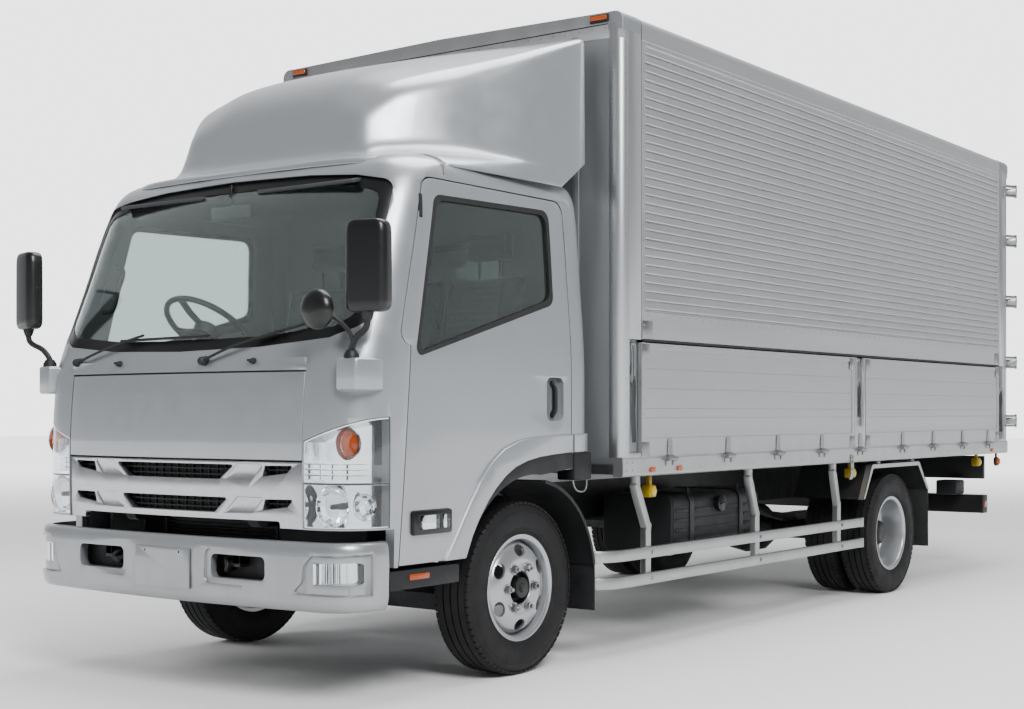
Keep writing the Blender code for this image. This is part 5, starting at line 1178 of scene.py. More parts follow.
def build_wheels():
    """Front and twin rear wheels with their hubs, nuts and tyres."""
    blocks = bpy.context.scene.truck_sizes.tread_blocks
    half = TYRE_HALF * 0.80
    for label, side in SIDES:
        hub = (side * FRONT_TYRE_X, 0, HUB_Z)
        body = "front_wheel_" + label
        face = soften([(0.028, 0.2085), (0.046, 0.2040), (0.070, 0.1880), (0.084, 0.1620), (0.0915, 0.1300),
                       (0.0900, 0.1080), (0.0885, 0.0880), (0.0840, 0.0740), (0.0500, 0.0700)], 5)
        back = soften([(0.072, 0.086), (0.0805, 0.118), (0.0765, 0.148), (0.058, 0.182), (0.028, 0.200)], 3)
        profile = [(-0.030, 0), (-0.030, 0.085), (0.070, 0.085)] + back
        profile += [(0.012, 0.2105), (-half + 0.006, 0.2105), (-half - 0.003, 0.2150),
                    (-half - 0.004, 0.2310), (-half - 0.001, 0.2310), (-half + 0.006, 0.2235)]
        profile += rim_lip(half) + [(0.036, 0.2110)] + face + [(0.047, 0.066), (0.047, 0)]
        disc = turned("X", hub, [(side * along, radius) for along, radius in profile], 96)
        cut_vents(disc, hub, hub[0] + side * 0.03, hub[0] + side * 0.12)
        dress("wheel_disc_front_" + label, disc, "rim", body, ("wheel_front_" + label,),
              BROAD)
        cap = turned("X", hub, [(side * a, r)
                                for a, r in [(0.0465, 0), (0.0465, 0.0715), (0.0835, 0.0745),
                                             (0.0800, 0.0705), (0.0520, 0.0680),
                                             (0.0520, 0.0500)] + soften([(0.054, 0.049), (0.092, 0.046),
                                                                         (0.099, 0.040), (0.101, 0.022),
                                                                         (0.108, 0.020), (0.110, 0)])],
                     48)
        dress("hub_cap_front_" + label, cap, "chassis", body, sharp=BROAD)
        dress("wheel_nuts_front_" + label, wheel_nuts(side, hub, 0.0885), "zinc", body,
              sharp=BROAD)
        build_tyre("tyre_tread_front_" + label, hub, body, "tyre_front_" + label, blocks)
    for label, side in SIDES:
        middle = (side * TWIN_MIDDLE_X, WHEELBASE, HUB_Z)
        body = "rear_wheel_" + label
        near = TWIN_HALF - half
        face = soften([(0.060, 0.2085), (0.050, 0.1990), (0.036, 0.1650), (0.018, 0.1400), (0.012, 0.1250),
                       (0.0115, 0.0860)], 5)
        back = soften([(-0.0115, 0.0870), (-0.012, 0.1250), (-0.018, 0.1400), (-0.036, 0.1650),
                       (-0.050, 0.1990), (-0.060, 0.2085)], 3)
        outer_rim = [(near - 0.002, 0.2110), (near - 0.002, 0.2235)] + rim_lip(TWIN_HALF + half)
        profile = [(-0.085, 0), (-0.085, 0.087)] + back
        profile += [(-a, r) for a, r in reversed(outer_rim + [(0.082, 0.2110)])]
        profile += soften([(-0.034, 0.2030), (-0.022, 0.1640), (0, 0.1440), (0.022, 0.1640),
                           (0.034, 0.2030)])
        profile += outer_rim + [(0.082, 0.2110)] + face
        profile += soften([(0.030, 0.0790), (0.100, 0.0760), (0.128, 0.0720), (0.148, 0.0570),
                           (0.150, 0)])
        disc = turned("X", middle, [(side * along, radius) for along, radius in profile], 96)
        cut_vents(disc, middle, middle[0] + side * 0.004, middle[0] + side * 0.075)
        dress("wheel_disc_rear_" + label, disc, "rim", body, ("wheel_rear_" + label,),
              BROAD)
        cap = turned("X", middle, [(side * a, r)
                                   for a, r in [(0.060, 0)] + soften([(0.060, 0.0805), (0.110, 0.0790),
                                                                      (0.132, 0.0740), (0.1515, 0.0590),
                                                                      (0.1535, 0.0300), (0.1535, 0)], 3)],
                     48)
        dress("hub_cap_rear_" + label, cap, "chassis", body, sharp=BROAD)
        dress("wheel_nuts_rear_" + label, wheel_nuts(side, middle, 0.0120, 0.108), "zinc", body,
              sharp=BROAD)
        for row, x in (("outer", TWIN_MIDDLE_X + TWIN_HALF), ("inner", TWIN_MIDDLE_X - TWIN_HALF)):
            build_tyre("tyre_tread_rear_%s_%s" % (label, row), (side * x, WHEELBASE, HUB_Z), body,
                       "tyre_rear_%s_%s" % (label, row), blocks)


# Front end

GRILLE_CENTRE = ((0.36, 0.947), (0.28, 0.888))
GRILLE_CORNER = ((0.735, 0.945), (0.935, 0.947), (0.895, 0.918), (0.715, 0.902))
GRILLE_ROWS = ((0, 1), (0.133, 0.9))
GRILLE_LOW = 0.727
GRILLE_LEG = 0.60
BUMPER_FRONT = -1.224
HOOK_SPAN = (0.27, 0.57)
HOOK_HEIGHTS = (0.495, 0.590)
FOG_LAMP = ((0.800, 0.494, 0.008), (0.962, 0.494, 0.012), (0.962, 0.578, 0.012), (0.800, 0.578, 0.008))


def front_y(x, height, inset=0.0):
    """Where the cab's front surface lies at a distance from the centre line and a height."""
    _, front, half, _, corner_x, corner_y = station_at(height)
    centre = half - corner_x
    if abs(x) <= centre:
        return front + inset + FRONT_BOW * (x / centre) ** 2
    share = min((abs(x) - centre) / (corner_x - inset), 1)
    turn = math.asin(share ** (CORNER_POWER / 2))
    return front + FRONT_BOW + corner_y - (corner_y - inset) * math.cos(turn) ** (2 / CORNER_POWER)


def front_strip(x_span, z_span, inset, depth, steps=12):
    """A bar that follows the cab's front between two insets."""
    rings = []
    for at in range(steps + 1):
        x = x_span[0] + (x_span[1] - x_span[0]) * at / steps
        low, high = z_span
        rings.append([(x, front_y(x, low, inset), low), (x, front_y(x, low, inset + depth), low),
                      (x, front_y(x, high, inset + depth), high), (x, front_y(x, high, inset), high)])
    return loft(rings)


def build_grille():
    """Two satin chrome bars with slanted struts before a black grid."""
    half = LID_HALF - 0.001
    face = slice_of_cab(0.004, 0.032, block((-half, half), (AHEAD, -1.0),
                                            (NOSE_BOTTOM, LID_BOTTOM - 0.006)))
    for drop, narrow in GRILLE_ROWS:
        centre = [(x * narrow, z - drop, 0.004) for x, z in GRILLE_CENTRE]
        cut(face, prism("Y", rounded(centre + [(-x, z, r) for x, z, r in reversed(centre)]), AHEAD, -1.0))
        for _, side in SIDES:
            corner = [(side * LID_HALF * share, z - drop, 0.004) for share, z in GRILLE_CORNER]
            cut(face, prism("Y", rounded(corner), AHEAD, -1.0))
            strut = [(side * x, z - drop, 0.004)
                     for x, z in ((0.378, 0.952), (0.515, 0.952), (0.462, 0.893), (0.310, 0.889))]
            deep = slice_of_cab(0.0, 0.009, prism("Y", rounded(strut), AHEAD, -1.0))
            cut(face, deep)
    cut(face, prism("Y", rounded([(-0.61, 0.60, 0), (0.61, 0.60, 0), (GRILLE_LEG, GRILLE_LOW, 0.012),
                                  (-GRILLE_LEG, GRILLE_LOW, 0.012)]), AHEAD, -1.0))
    bevelled(face, 0.0035, 3, 35)
    dress("grille_face", face, "satin_chrome", "cab", ("grille",), BROAD)
    bars = []
    for drop, _ in GRILLE_ROWS:
        bars += [front_strip((-0.70, 0.70), (z - drop - 0.0025, z - drop + 0.0025), 0.034, 0.014)
                 for z in (0.905, 0.928)]
        bars.append(front_strip((-0.70, 0.70), (0.872 - drop, 0.958 - drop), 0.060, 0.004))
        for at in range(-14, 15):
            x = at * 0.047
            bars.append(front_strip((x - 0.002, x + 0.002), (0.878 - drop, 0.955 - drop), 0.036, 0.012, 1))
    dress("grille_grid", gather(bars), "black_plastic", "cab")
    fins = [block((-0.34, 0.34), (-0.905, -0.885), (z, z + 0.004))
            for z in [0.50 + 0.016 * at for at in range(23)]]
    fins += [block((-0.355, 0.355), (-0.915, -0.87), (z, z + 0.02), 0.003) for z in (0.475, 0.868)]
    fins += [block((x, x + 0.015), (-0.915, -0.87), (0.48, 0.885), 0.003) for x in (-0.355, 0.34)]
    fins.append(block((-0.345, 0.345), (-0.885, -0.872), (0.48, 0.88)))
    dress("radiator", gather(fins), "chassis", "chassis")


def bumper_line(inset, height):
    """Plan line of the bumper from its left end round to its right end."""
    corner_x, corner_y = 0.24, 0.22
    points = [(0.99 - inset, -0.935)]
    for at in range(17):
        turn = math.radians(90 * at / 16)
        points.append((0.75 + (corner_x - inset) * math.cos(turn) ** 0.8,
                       BUMPER_FRONT + 0.041 + corner_y - (corner_y - inset) * math.sin(turn) ** 0.8))
    points += [(0.75 * share, BUMPER_FRONT + inset + 0.041 * share ** 2)
               for share in (0.9, 0.8, 0.6, 0.4, 0.2, 0)]
    return [(x, y, height) for x, y in points + [(-x, y) for x, y in reversed(points[:-1])]]


def bumper_form(extra, wall):
    """The bumper's pressing between its face, moved inwards by extra, and its back."""
    rows = ((0.385, 0.034), (0.388, 0.024), (0.400, 0.014), (0.420, 0.009), (0.440, 0.006), (0.560, 0.004),
            (0.600, 0.0055), (0.630, 0.008), (0.645, 0.013), (0.652, 0.020), (0.655, 0.030))
    rings = []
    for height, inset in rows:
        outer = bumper_line(inset + extra, height)
        rings.append(outer + list(reversed(bumper_line(wall, height))))
    return loft(rings)


def build_bumper():
    """Painted steel bumper with two hook openings, a blank plate and a fog lamp in each corner."""
    shell = bumper_form(0, 0.045)
    for _, side in SIDES:
        swoosh = [(side * x, z, r) for x, z, r in ((0.700, 0.455, 0.01), (1.02, 0.450, 0.0),
                                                   (1.02, 0.612, 0.0), (0.800, 0.606, 0.02),
                                                   (0.758, 0.560, 0.05), (0.752, 0.500, 0.03))]
        zone = prism("Y", rounded(swoosh), AHEAD, -1.02)
        inner = keep(bumper_form(0.012, 0.045), prism("Y", rounded(swoosh), AHEAD, -1.02))
        cut(shell, zone)
        fuse(shell, inner)
        near, far = (side * x for x in HOOK_SPAN)
        low, high = HOOK_HEIGHTS
        pocket = rounded([(side * 0.238, low - 0.026, 0.03), (far + side * 0.02, low - 0.020, 0.03),
                          (far + side * 0.02, high + 0.020, 0.03), (side * 0.245, high + 0.022, 0.03)])
        cut(shell, prism("Y", pocket, AHEAD, -1.2035),
            prism("Y", rounded([(near, low, 0.025), (far, low, 0.025), (far, high, 0.025),
                                (near, high, 0.025)]), AHEAD, -1.0),
            prism("Y", rounded([(side * x, z, r) for x, z, r in FOG_LAMP]), AHEAD, -0.95))
    bevelled(shell, 0.005, 3, 38)
    dress("bumper_shell", shell, "cab_paint", "chassis", ("bumper",), ROUND)
    stays = []
    for _, side in SIDES:
        span = (side * 0.375, side * 0.415)
        stays += [block(span, (-1.182, -0.90), (0.54, 0.5997), 0.003),
                  block(span, (-1.182, -0.98), (0.55, 0.64), 0.003)]
    dress("bumper_stays", gather(stays), "chassis", "chassis")
    plate = block((-0.165, 0.165), (-1.2275, -1.2205), (0.440, 0.605), 0.002)
    cut(plate, *(rod("Y", (x, 0, 0.588), 0.005, -1.3, -1.1, 16) for x in (-0.105, 0.105)))
    dress("front_plate_blank", plate, "cab_paint", "chassis", sharp=BROAD)
    for label, side in SIDES:
        backing = prism("Y", rounded([(side * x, z, 0.02)
                                      for x, z in ((0.255, 0.480), (0.585, 0.480), (0.585, 0.605),
                                                   (0.255, 0.605))]), -1.132, -1.128)
        walls = prism("Y", rounded([(side * x, z, 0.02)
                                    for x, z in ((0.255, 0.480), (0.585, 0.480), (0.585, 0.605),
                                                 (0.255, 0.605))]), -1.176, -1.130)
        cut(walls, prism("Y", rounded([(side * x, z, 0.02)
                                       for x, z in ((0.262, 0.487), (0.578, 0.487), (0.578, 0.598),
                                                    (0.262, 0.598))]), -1.3, -1.0))
        hook = swept(smooth_path([(side * 0.335, -1.13, 0.530), (side * 0.335, -1.175, 0.522),
                                  (side * 0.352, -1.190, 0.545), (side * 0.335, -1.175, 0.568),
                                  (side * 0.335, -1.13, 0.560)], 6), round_section(0.009, 12))
        dress("hook_pocket_" + label, gather([backing, walls, hook]), "black_plastic", "chassis")
        outline = rounded([(side * x, z, r) for x, z, r in FOG_LAMP])
        cover = bumper_form(0.015, 0.022)
        keep(cover, prism("Y", outline, AHEAD, -0.95))
        dress("fog_lamp_cover_" + label, cover, "clear", "chassis", sharp=ROUND)
        bowl = keep(bumper_form(0.046, 0.050), prism("Y", outline, AHEAD, -0.95))
        flutes = [rod("Z", (side * x, -1.112 + 0.9 * (x - 0.88) + 1.6 * max(x - 0.88, 0) ** 1.2, 0),
                      0.006, 0.497, 0.575, 10)
                  for x in (0.815, 0.832, 0.849, 0.866, 0.883, 0.900, 0.917, 0.934)]
        dress("fog_lamp_bowl_" + label, gather([bowl] + flutes), "reflector", "chassis", (),
              20)


def ring_shell(axis, centre, profile, thick, sides=32):
    """A thin bowl turned from a profile of (along, radius), as thick as given."""
    inner = [(along + thick, max(radius - thick, 0.001)) for along, radius in profile]
    return turned(axis, centre, profile + list(reversed(inner)), sides, ring=True)


LAMP_GAP = 0.0015


def build_headlamps():
    """Two-storey lamps: an amber bulb and fluted chamber above, a faceted main bowl below."""
    for label, side in SIDES:

        def window(grow, low, high):
            shape = lamp_outline(side, LAMP_GAP + grow)
            wall = prism("Y", shape, AHEAD, -0.93)
            return keep(wall, block(ACROSS, (-1.5, -0.9), (low, high)))

        lens = slice_of_cab(0.002, 0.005, window(0.001, 0.70, 1.16))
        dress("lamp_cover_" + label, lens, "clear", "cab", ("headlamp_" + label,), ROUND)
        bucket = slice_of_cab(0.072, 0.075, window(0.003, 0.70, 1.16))
        walls = slice_of_cab(0.006, 0.074, window(0.0, 0.70, 1.16))
        cut(walls, window(0.005, 0.711, 0.8745), window(0.005, 0.884, 1.147))
        dress("lamp_bucket_" + label, gather([bucket, walls]), "reflector", "cab", sharp=BROAD)
        line = slice_of_cab(0.0022, 0.012, window(0.0, 0.8755, 0.8835))
        dress("lamp_divider_" + label, line, "black_gloss", "cab", sharp=ROUND)
        main = ring_shell("Y", (side * 0.832, 0, 0.790), [(-1.094, 0.084), (-1.080, 0.078), (-1.062, 0.062),
                                                            (-1.050, 0.042), (-1.045, 0.012)], 0.002, 22)
        side_bowl = ring_shell("Y", (side * 0.942, 0, 0.790),
                               [(-1.030, 0.055), (-1.010, 0.048), (-0.995, 0.030), (-0.990, 0.008)],
                               0.002, 14)
        upper = ring_shell("Y", (side * 0.895, 0, 1.035),
                           [(-1.075, 0.064), (-1.055, 0.056), (-1.035, 0.036), (-1.028, 0.010)], 0.002,
                           28)
        chips = [front_strip((side * x, side * (x + 0.046)), (z, z + 0.016), 0.030, 0.012, 2)
                 for z in (0.893, 0.915, 0.937) for x in (0.735, 0.787, 0.839, 0.891)]
        dress("lamp_bowls_" + label, gather([main, side_bowl, upper] + chips), "reflector", "cab",
              (), 8)
        bulbs = [turned("Y", (side * 0.832, 0, 0.790),
                        [(-1.098, 0), (-1.096, 0.008), (-1.088, 0.011), (-1.060, 0.011), (-1.046, 0.013),
                         (-1.044, 0)], 20)]
        dress("lamp_cap_" + label, gather(bulbs), "black_gloss", "cab")
        glow = turned("Y", (side * 0.895, 0, 1.035),
                      [(-1.082, 0), (-1.080, 0.020), (-1.073, 0.038), (-1.062, 0.048), (-1.050, 0.050),
                       (-1.046, 0)], 40)
        ribs = [rod("Z", (side * 0.895 + x, -1.079 + 0.35 * abs(x), 1.035), 0.0022,
                    -math.sqrt(0.0024 - x * x), math.sqrt(0.0024 - x * x), 8)
                for x in [0.006 * at for at in range(-7, 8)]]
        dress("turn_bulb_" + label, gather([glow] + ribs), "amber", "cab", sharp=BROAD)
        flutes = [front_strip((side * x, side * (x + 0.0035)), (0.962, 1.040), 0.010, 0.004, 1)
                  for x in [0.728 + 0.0072 * at for at in range(14)]]
        dress("lamp_flutes_" + label, gather(flutes), "clear", "cab")


def build_mirrors():
    """Mirror heads turned outwards on bent arms, silver arm pods and a round mirror at the left corner."""
    turn = math.radians(15)
    mid_x, mid_y, half, deep, low, high = 1.043, -1.120, 0.0875, 0.035, 1.535, 1.885
    for label, side in SIDES:

        def plan(inset, height, size=1.0, span=None):
            flat = rounded([(-half + inset, -deep + inset, 0.032), (half - inset, -deep + inset, 0.032),
                            (half - inset, deep - 0.001, 0.006), (-half + inset, deep - 0.001, 0.006)])
            if span:
                flat = [(a * (half - inset - 0.004) / (half - inset), b)
                        for a, b in [(-half + inset, span[0]), (half - inset, span[0]),
                                     (half - inset, span[1]), (-half + inset, span[1])]]
            return [(side * (mid_x + size * (a * math.cos(turn) - b * math.sin(turn))),
                     mid_y + size * (a * math.sin(turn) + b * math.cos(turn)), height) for a, b in flat]

        rings = [plan(0, low + (high - low) * share, size)
                 for share, size in ((0, 0.62), (0.012, 0.80), (0.035, 0.92), (0.07, 0.98), (0.12, 1.0),
                                     (0.5, 1.0), (0.85, 0.99), (0.93, 0.96), (0.97, 0.88), (0.99, 0.76),
                                     (1.0, 0.58))]
        head = loft(rings)
        dress("mirror_head_" + label, head, "black_gloss", "cab", ("mirror_" + label,), 50)
        pane = loft([plan(0.010, height, 1.0, (deep - 0.0012, deep + 0.0008))
                     for height in (low + 0.03, high - 0.03)])
        dress("mirror_pane_" + label, pane, "mirror", "cab")
        path = smooth_path([(side * 0.93, -1.088, POD_TOP - 0.004), (side * 0.93, -1.088, 1.395),
                            (side * 0.965, -1.100, 1.440), (side * 1.025, -1.116, 1.470),
                            (side * mid_x, mid_y, 1.500), (side * mid_x, mid_y, low + 0.03)], 6)
        arm = swept(path, round_section(0.0125, 16))
        cuff = turned("Z", (side * 0.93, -1.088, 0),
                      [(POD_TOP - 0.003, 0), (POD_TOP - 0.003, 0.030), (POD_TOP + 0.012, 0.030),
                       (POD_TOP + 0.030, 0.019), (POD_TOP + 0.034, 0)], 28)
        collar = turned("Z", (side * mid_x, mid_y, 0),
                        [(low - 0.030, 0), (low - 0.030, 0.016), (low - 0.006, 0.024),
                         (low + 0.012, 0.026), (low + 0.012, 0)], 24)
        parts = [arm, cuff, collar]
        if side > 0:
            parts.append(swept(smooth_path([(0.845, -1.165, 1.548), (0.890, -1.140, 1.520),
                                            (0.935, -1.112, 1.470), (0.950, -1.100, 1.425)], 6),
                               round_section(0.0085)))
            parts.append(turned("Y", (0.845, 0, 1.55),
                                [(-1.172, 0), (-1.172, 0.016), (-1.146, 0.012), (-1.140, 0)], 20))
        dress("mirror_arm_" + label, gather(parts), "black_plastic", "cab", sharp=ROUND)
    dome = turned("Y", (0.845, 0, 1.55),
                  [(-1.2265, 0)] + soften([(-1.2265, 0.020), (-1.222, 0.045), (-1.210, 0.066),
                                           (-1.195, 0.076), (-1.182, 0.0785), (-1.172, 0.074),
                                           (-1.158, 0.050), (-1.152, 0.020)]) + [(-1.152, 0)], 48)
    dress("corner_mirror", dome, "black_gloss", "cab", (), 50)


def build_wipers():
    """Two wipers lying on the glass, their pivots and the washer nozzles."""
    parts = []
    for pivot, bend, tip, blade in (((-0.688, 1.375), (-0.456, 1.437), (-0.244, 1.484),
                                     ((-0.400, 1.464), (0.163, 1.470))),
                                    ((0.171, 1.366), (0.347, 1.427), (0.560, 1.477),
                                     ((0.425, 1.452), (0.735, 1.520)))):
        spots = [(x, front_y(x, z, -lift), z)
                 for (x, z), lift in ((pivot, 0.018), (bend, 0.028), (tip, 0.020))]
        parts.append(swept(smooth_path(spots, 6), round_section(0.0075, 12, 0.7)))
        centre = (pivot[0], front_y(*pivot), pivot[1])
        parts.append(turned("Y", centre,
                            [(-0.034, 0), (-0.034, 0.010), (-0.026, 0.017), (-0.012, 0.019),
                             (0.004, 0.022), (0.004, 0)], 24))
        (x0, z0), (x1, z1) = blade
        for lift, radius in ((0.012, 0.006), (0.0045, 0.003)):
            line = [(x0 + (x1 - x0) * share, 0, z0 + (z1 - z0) * share)
                    for share in [at / 12 for at in range(13)]]
            parts.append(swept([(x, front_y(x, z, -lift), z) for x, _, z in line],
                               round_section(radius, 10)))
    for x, z in ((-0.377, 1.364), (0.442, 1.361)):
        y = front_y(x, z)
        parts.append(turned("Y", (x, y, z),
                            [(-0.020, 0), (-0.020, 0.008), (-0.010, 0.012), (0.002, 0.014), (0.002, 0)],
                            20))
        parts.append(rod("X", (x - 0.010, y - 0.012, z + 0.004), 0.005, -0.012, 0.012, 14))
    dress("wipers", gather(parts), "seal", "cab", sharp=ROUND)


# Load body

BODY_HALF = 1.11
BODY_FRONT = 0.54
BODY_REAR = 5.82
FRONT_POST = 0.16
REAR_POST = 0.185
RAIL_LOW = 0.855
RAIL_HIGH = 0.945
GATE_TOP = 1.488
WING_BOTTOM = 1.504
WALL_TOP = 2.935
ROOF_TOP = 3.045
CENTRE_POST = (3.105, 3.257)
WING_SPAN = (BODY_FRONT + FRONT_POST + 0.006, BODY_REAR - REAR_POST - 0.006)
RIB_FIRST = 1.640
RIB_LAST = 2.895
RIB_COUNT = 30
HINGE_X = BODY_HALF + 0.018
HINGE_Z = RAIL_HIGH - 0.012
GATES = (("front", WING_SPAN[0], CENTRE_POST[0] - 0.006, (0.96, 1.54, 2.10, 2.65)),
         ("rear", CENTRE_POST[1] + 0.006, WING_SPAN[1], (3.83, 4.35, 4.89, 5.40)))
REAR_HINGE = (BODY_HALF + 0.045, BODY_REAR + 0.045)
REAR_HINGE_HEIGHTS = [RAIL_HIGH + share * (WALL_TOP - RAIL_HIGH)
                      for share in (0.075, 0.294, 0.522, 0.750, 0.937)]


def along_side(side, outline, low, high):
    """A bar with a flat (x, z) section, drawn for the left side and mirrored for the right."""
    return prism("Y", [(side * x, z) for x, z in outline], low, high)


def wing_section(lift, ribbed):
    """Cross-section of a wing: side wall, rounded shoulder and half of the roof."""
    outer = BODY_HALF + lift
    pitch = (RIB_LAST - RIB_FIRST) / RIB_COUNT
    outline = [(BODY_HALF - 0.032, WING_BOTTOM), (outer - 0.002, WING_BOTTOM),
               (outer, WING_BOTTOM + 0.003), (outer, RIB_FIRST - 0.034),
               (outer - 0.0015, RIB_FIRST - 0.032), (outer - 0.0015, RIB_FIRST - 0.006)]
    if ribbed:
        for at in range(RIB_COUNT):
            low = RIB_FIRST + at * pitch
            outline += [(outer - 0.0125, low), (outer - 0.0125, low + pitch * 0.10),
                        (outer - 0.0030, low + pitch * 0.20), (outer - 0.0004, low + pitch * 0.30),
                        (outer - 0.0004, low + pitch * 0.78), (outer - 0.0022, low + pitch * 0.90),
                        (outer - 0.0060, low + pitch * 0.97)]
    outline += [(outer - 0.0015, RIB_LAST + 0.004), (outer - 0.0015, RIB_LAST + 0.022),
                (outer, RIB_LAST + 0.024), (outer, RIB_LAST + 0.034)]
    outline += arc((outer - 0.045, ROOF_TOP - 0.063), 0.045, 0, 90, 10)
    outline += [(0.103, ROOF_TOP - 0.001), (0.103, ROOF_TOP - 0.040), (BODY_HALF - 0.11, ROOF_TOP - 0.054),
                (BODY_HALF - 0.032, ROOF_TOP - 0.13)]
    return outline


def rivet_line(points, angles):
    """Spots for a row of rivets at the scene's pitch along a straight line."""
    start, end = Vector(points[0]), Vector(points[1])
    count = max(1, round((end - start).length / bpy.context.scene.truck_sizes.rivet_pitch))
    return [(start.lerp(end, (at + 0.5) / count), angles) for at in range(count)]


def rivets(spots, name, body, material="zinc", scale=1.0):
    """Domed rivet heads on spots."""
    head = rivet_head(bpy.context.scene.truck_sizes.rivet_radius * scale)
    dress(name, repeat(head, spots, material), material, body, sharp=ROUND)


def build_wings():
    """Wings of corrugated sheet between flat end frames, with lapped joints and riveted rails."""
    for label, side in SIDES:
        low, high = WING_SPAN
        wing = along_side(side, wing_section(0, True), low + 0.030, high - 0.030)
        frames = [along_side(side, wing_section(0, False), *span)
                  for span in ((low, low + 0.0302), (high - 0.0302, high))]
        fuse(wing, *frames)
        laps = []
        pitch = (RIB_LAST - RIB_FIRST) / RIB_COUNT
        for seam in (1.680, 2.652, 3.625, 4.598):
            for at in range(RIB_COUNT):
                base = RIB_FIRST + at * pitch
                laps.append(block((side * (BODY_HALF - 0.003), side * (BODY_HALF + 0.0003)),
                                  (seam - 0.011, seam + 0.011),
                                  (base + pitch * 0.30, base + pitch * 0.78)))
        dress("wing_skin_" + label, gather([wing] + laps), "corrugated", "wing_" + label,
              ("wing_" + label,), 28)
        x = side * (BODY_HALF - 0.0012)
        spots = []
        for z in (RIB_FIRST - 0.019, RIB_LAST + 0.013):
            spots += rivet_line(((x, low + 0.02, z), (x, high - 0.02, z)), OUTWARD[side])
        for y in (low + 0.014, high - 0.014):
            spots += rivet_line(((x, y, RIB_FIRST), (x, y, RIB_LAST)), OUTWARD[side])
        rivets(spots, "wing_rivets_" + label, "wing_" + label)
        for end, y in (("front", low + 0.05), ("rear", high - 0.05)):
            screws = [((side * BODY_HALF, y + step, z), OUTWARD[side]) for step in (-0.028, 0.028)
                      for z in (WING_BOTTOM + 0.022, WING_BOTTOM + 0.066)]
            plate = block((side * (BODY_HALF - 0.001), side * (BODY_HALF + 0.0018)), (y - 0.045, y + 0.045),
                          (WING_BOTTOM + 0.006, WING_BOTTOM + 0.088), 0.0008)
            heads = repeat(rivet_head(0.006, 0.4, 14), [(Vector(spot) + Vector((side * 0.0018, 0, 0)), turn)
                                                        for spot, turn in screws], "zinc")
            dress("wing_plate_%s_%s" % (end, label), gather([plate, heads]), "zinc", "wing_" + label,
                  sharp=ROUND)
        rail = along_side(side, [(BODY_HALF - 0.002, WING_BOTTOM - 0.0105),
                                 (BODY_HALF + 0.0005, WING_BOTTOM - 0.0105),
                                 (BODY_HALF + 0.0005, WING_BOTTOM + 0.001),
                                 (BODY_HALF - 0.030, WING_BOTTOM + 0.001),
                                 (BODY_HALF - 0.030, WING_BOTTOM - 0.004),
                                 (BODY_HALF - 0.002, WING_BOTTOM - 0.004)], low + 0.01, high - 0.01)
        dress("wing_seal_" + label, rail, "seal", "wing_" + label)


def latch(side, y, z, length=0.30):
    """A toggle latch: base plate, lever with a pivot disc, and a hooked bail."""
    x = side * (BODY_HALF - 0.024)

    def at(out, along, up):
        return (x + side * out, y + along, z + up)

    base = block((x, x + side * 0.003), (y - 0.027, y + 0.027), (z - 0.08, z + 0.06), 0.001)
    disc = rod("X", (x, y, z), 0.026, *sorted((side * 0.003, side * 0.011)), 28)
    pin = rod("X", (x, y, z), 0.010, *sorted((side * 0.011, side * 0.018)), 16)
    lever = swept(smooth_path([at(0.009, 0.004, 0.010), at(0.016, 0.002, -0.06),
                               at(0.014, 0.0, -length * 0.55), at(0.020, 0.0, -length)], 6),
                  [(-0.013, -0.0025), (0.013, -0.0025), (0.013, 0.0025), (-0.013, 0.0025)], (0, 1, 0))
    bail = swept(smooth_path([at(0.010, -0.008, -0.02), at(0.012, -0.010, 0.06),
                              at(0.010, -0.010, length * 0.48), at(0.004, 0.0, length * 0.56),
                              at(0.010, 0.010, length * 0.48), at(0.012, 0.010, 0.06),
                              at(0.010, 0.008, -0.02)], 6), round_section(0.0042, 10))
    keeper = block((x, x + side * 0.014), (y - 0.018, y + 0.018),
                   (z + length * 0.56 - 0.008, z + length * 0.56 + 0.004), 0.002)
    return gather([base, disc, pin, lever, bail, keeper])


def painted_recess_shade(place_name, label, side, y_span, z_span, body):
    """Dull inner face of a latch recess."""
    sheet = block((side * (BODY_HALF - 0.0265), side * (BODY_HALF - 0.0245)), y_span, z_span)
    dress("%s_recess_%s" % (place_name, label), sheet, "casting", body)


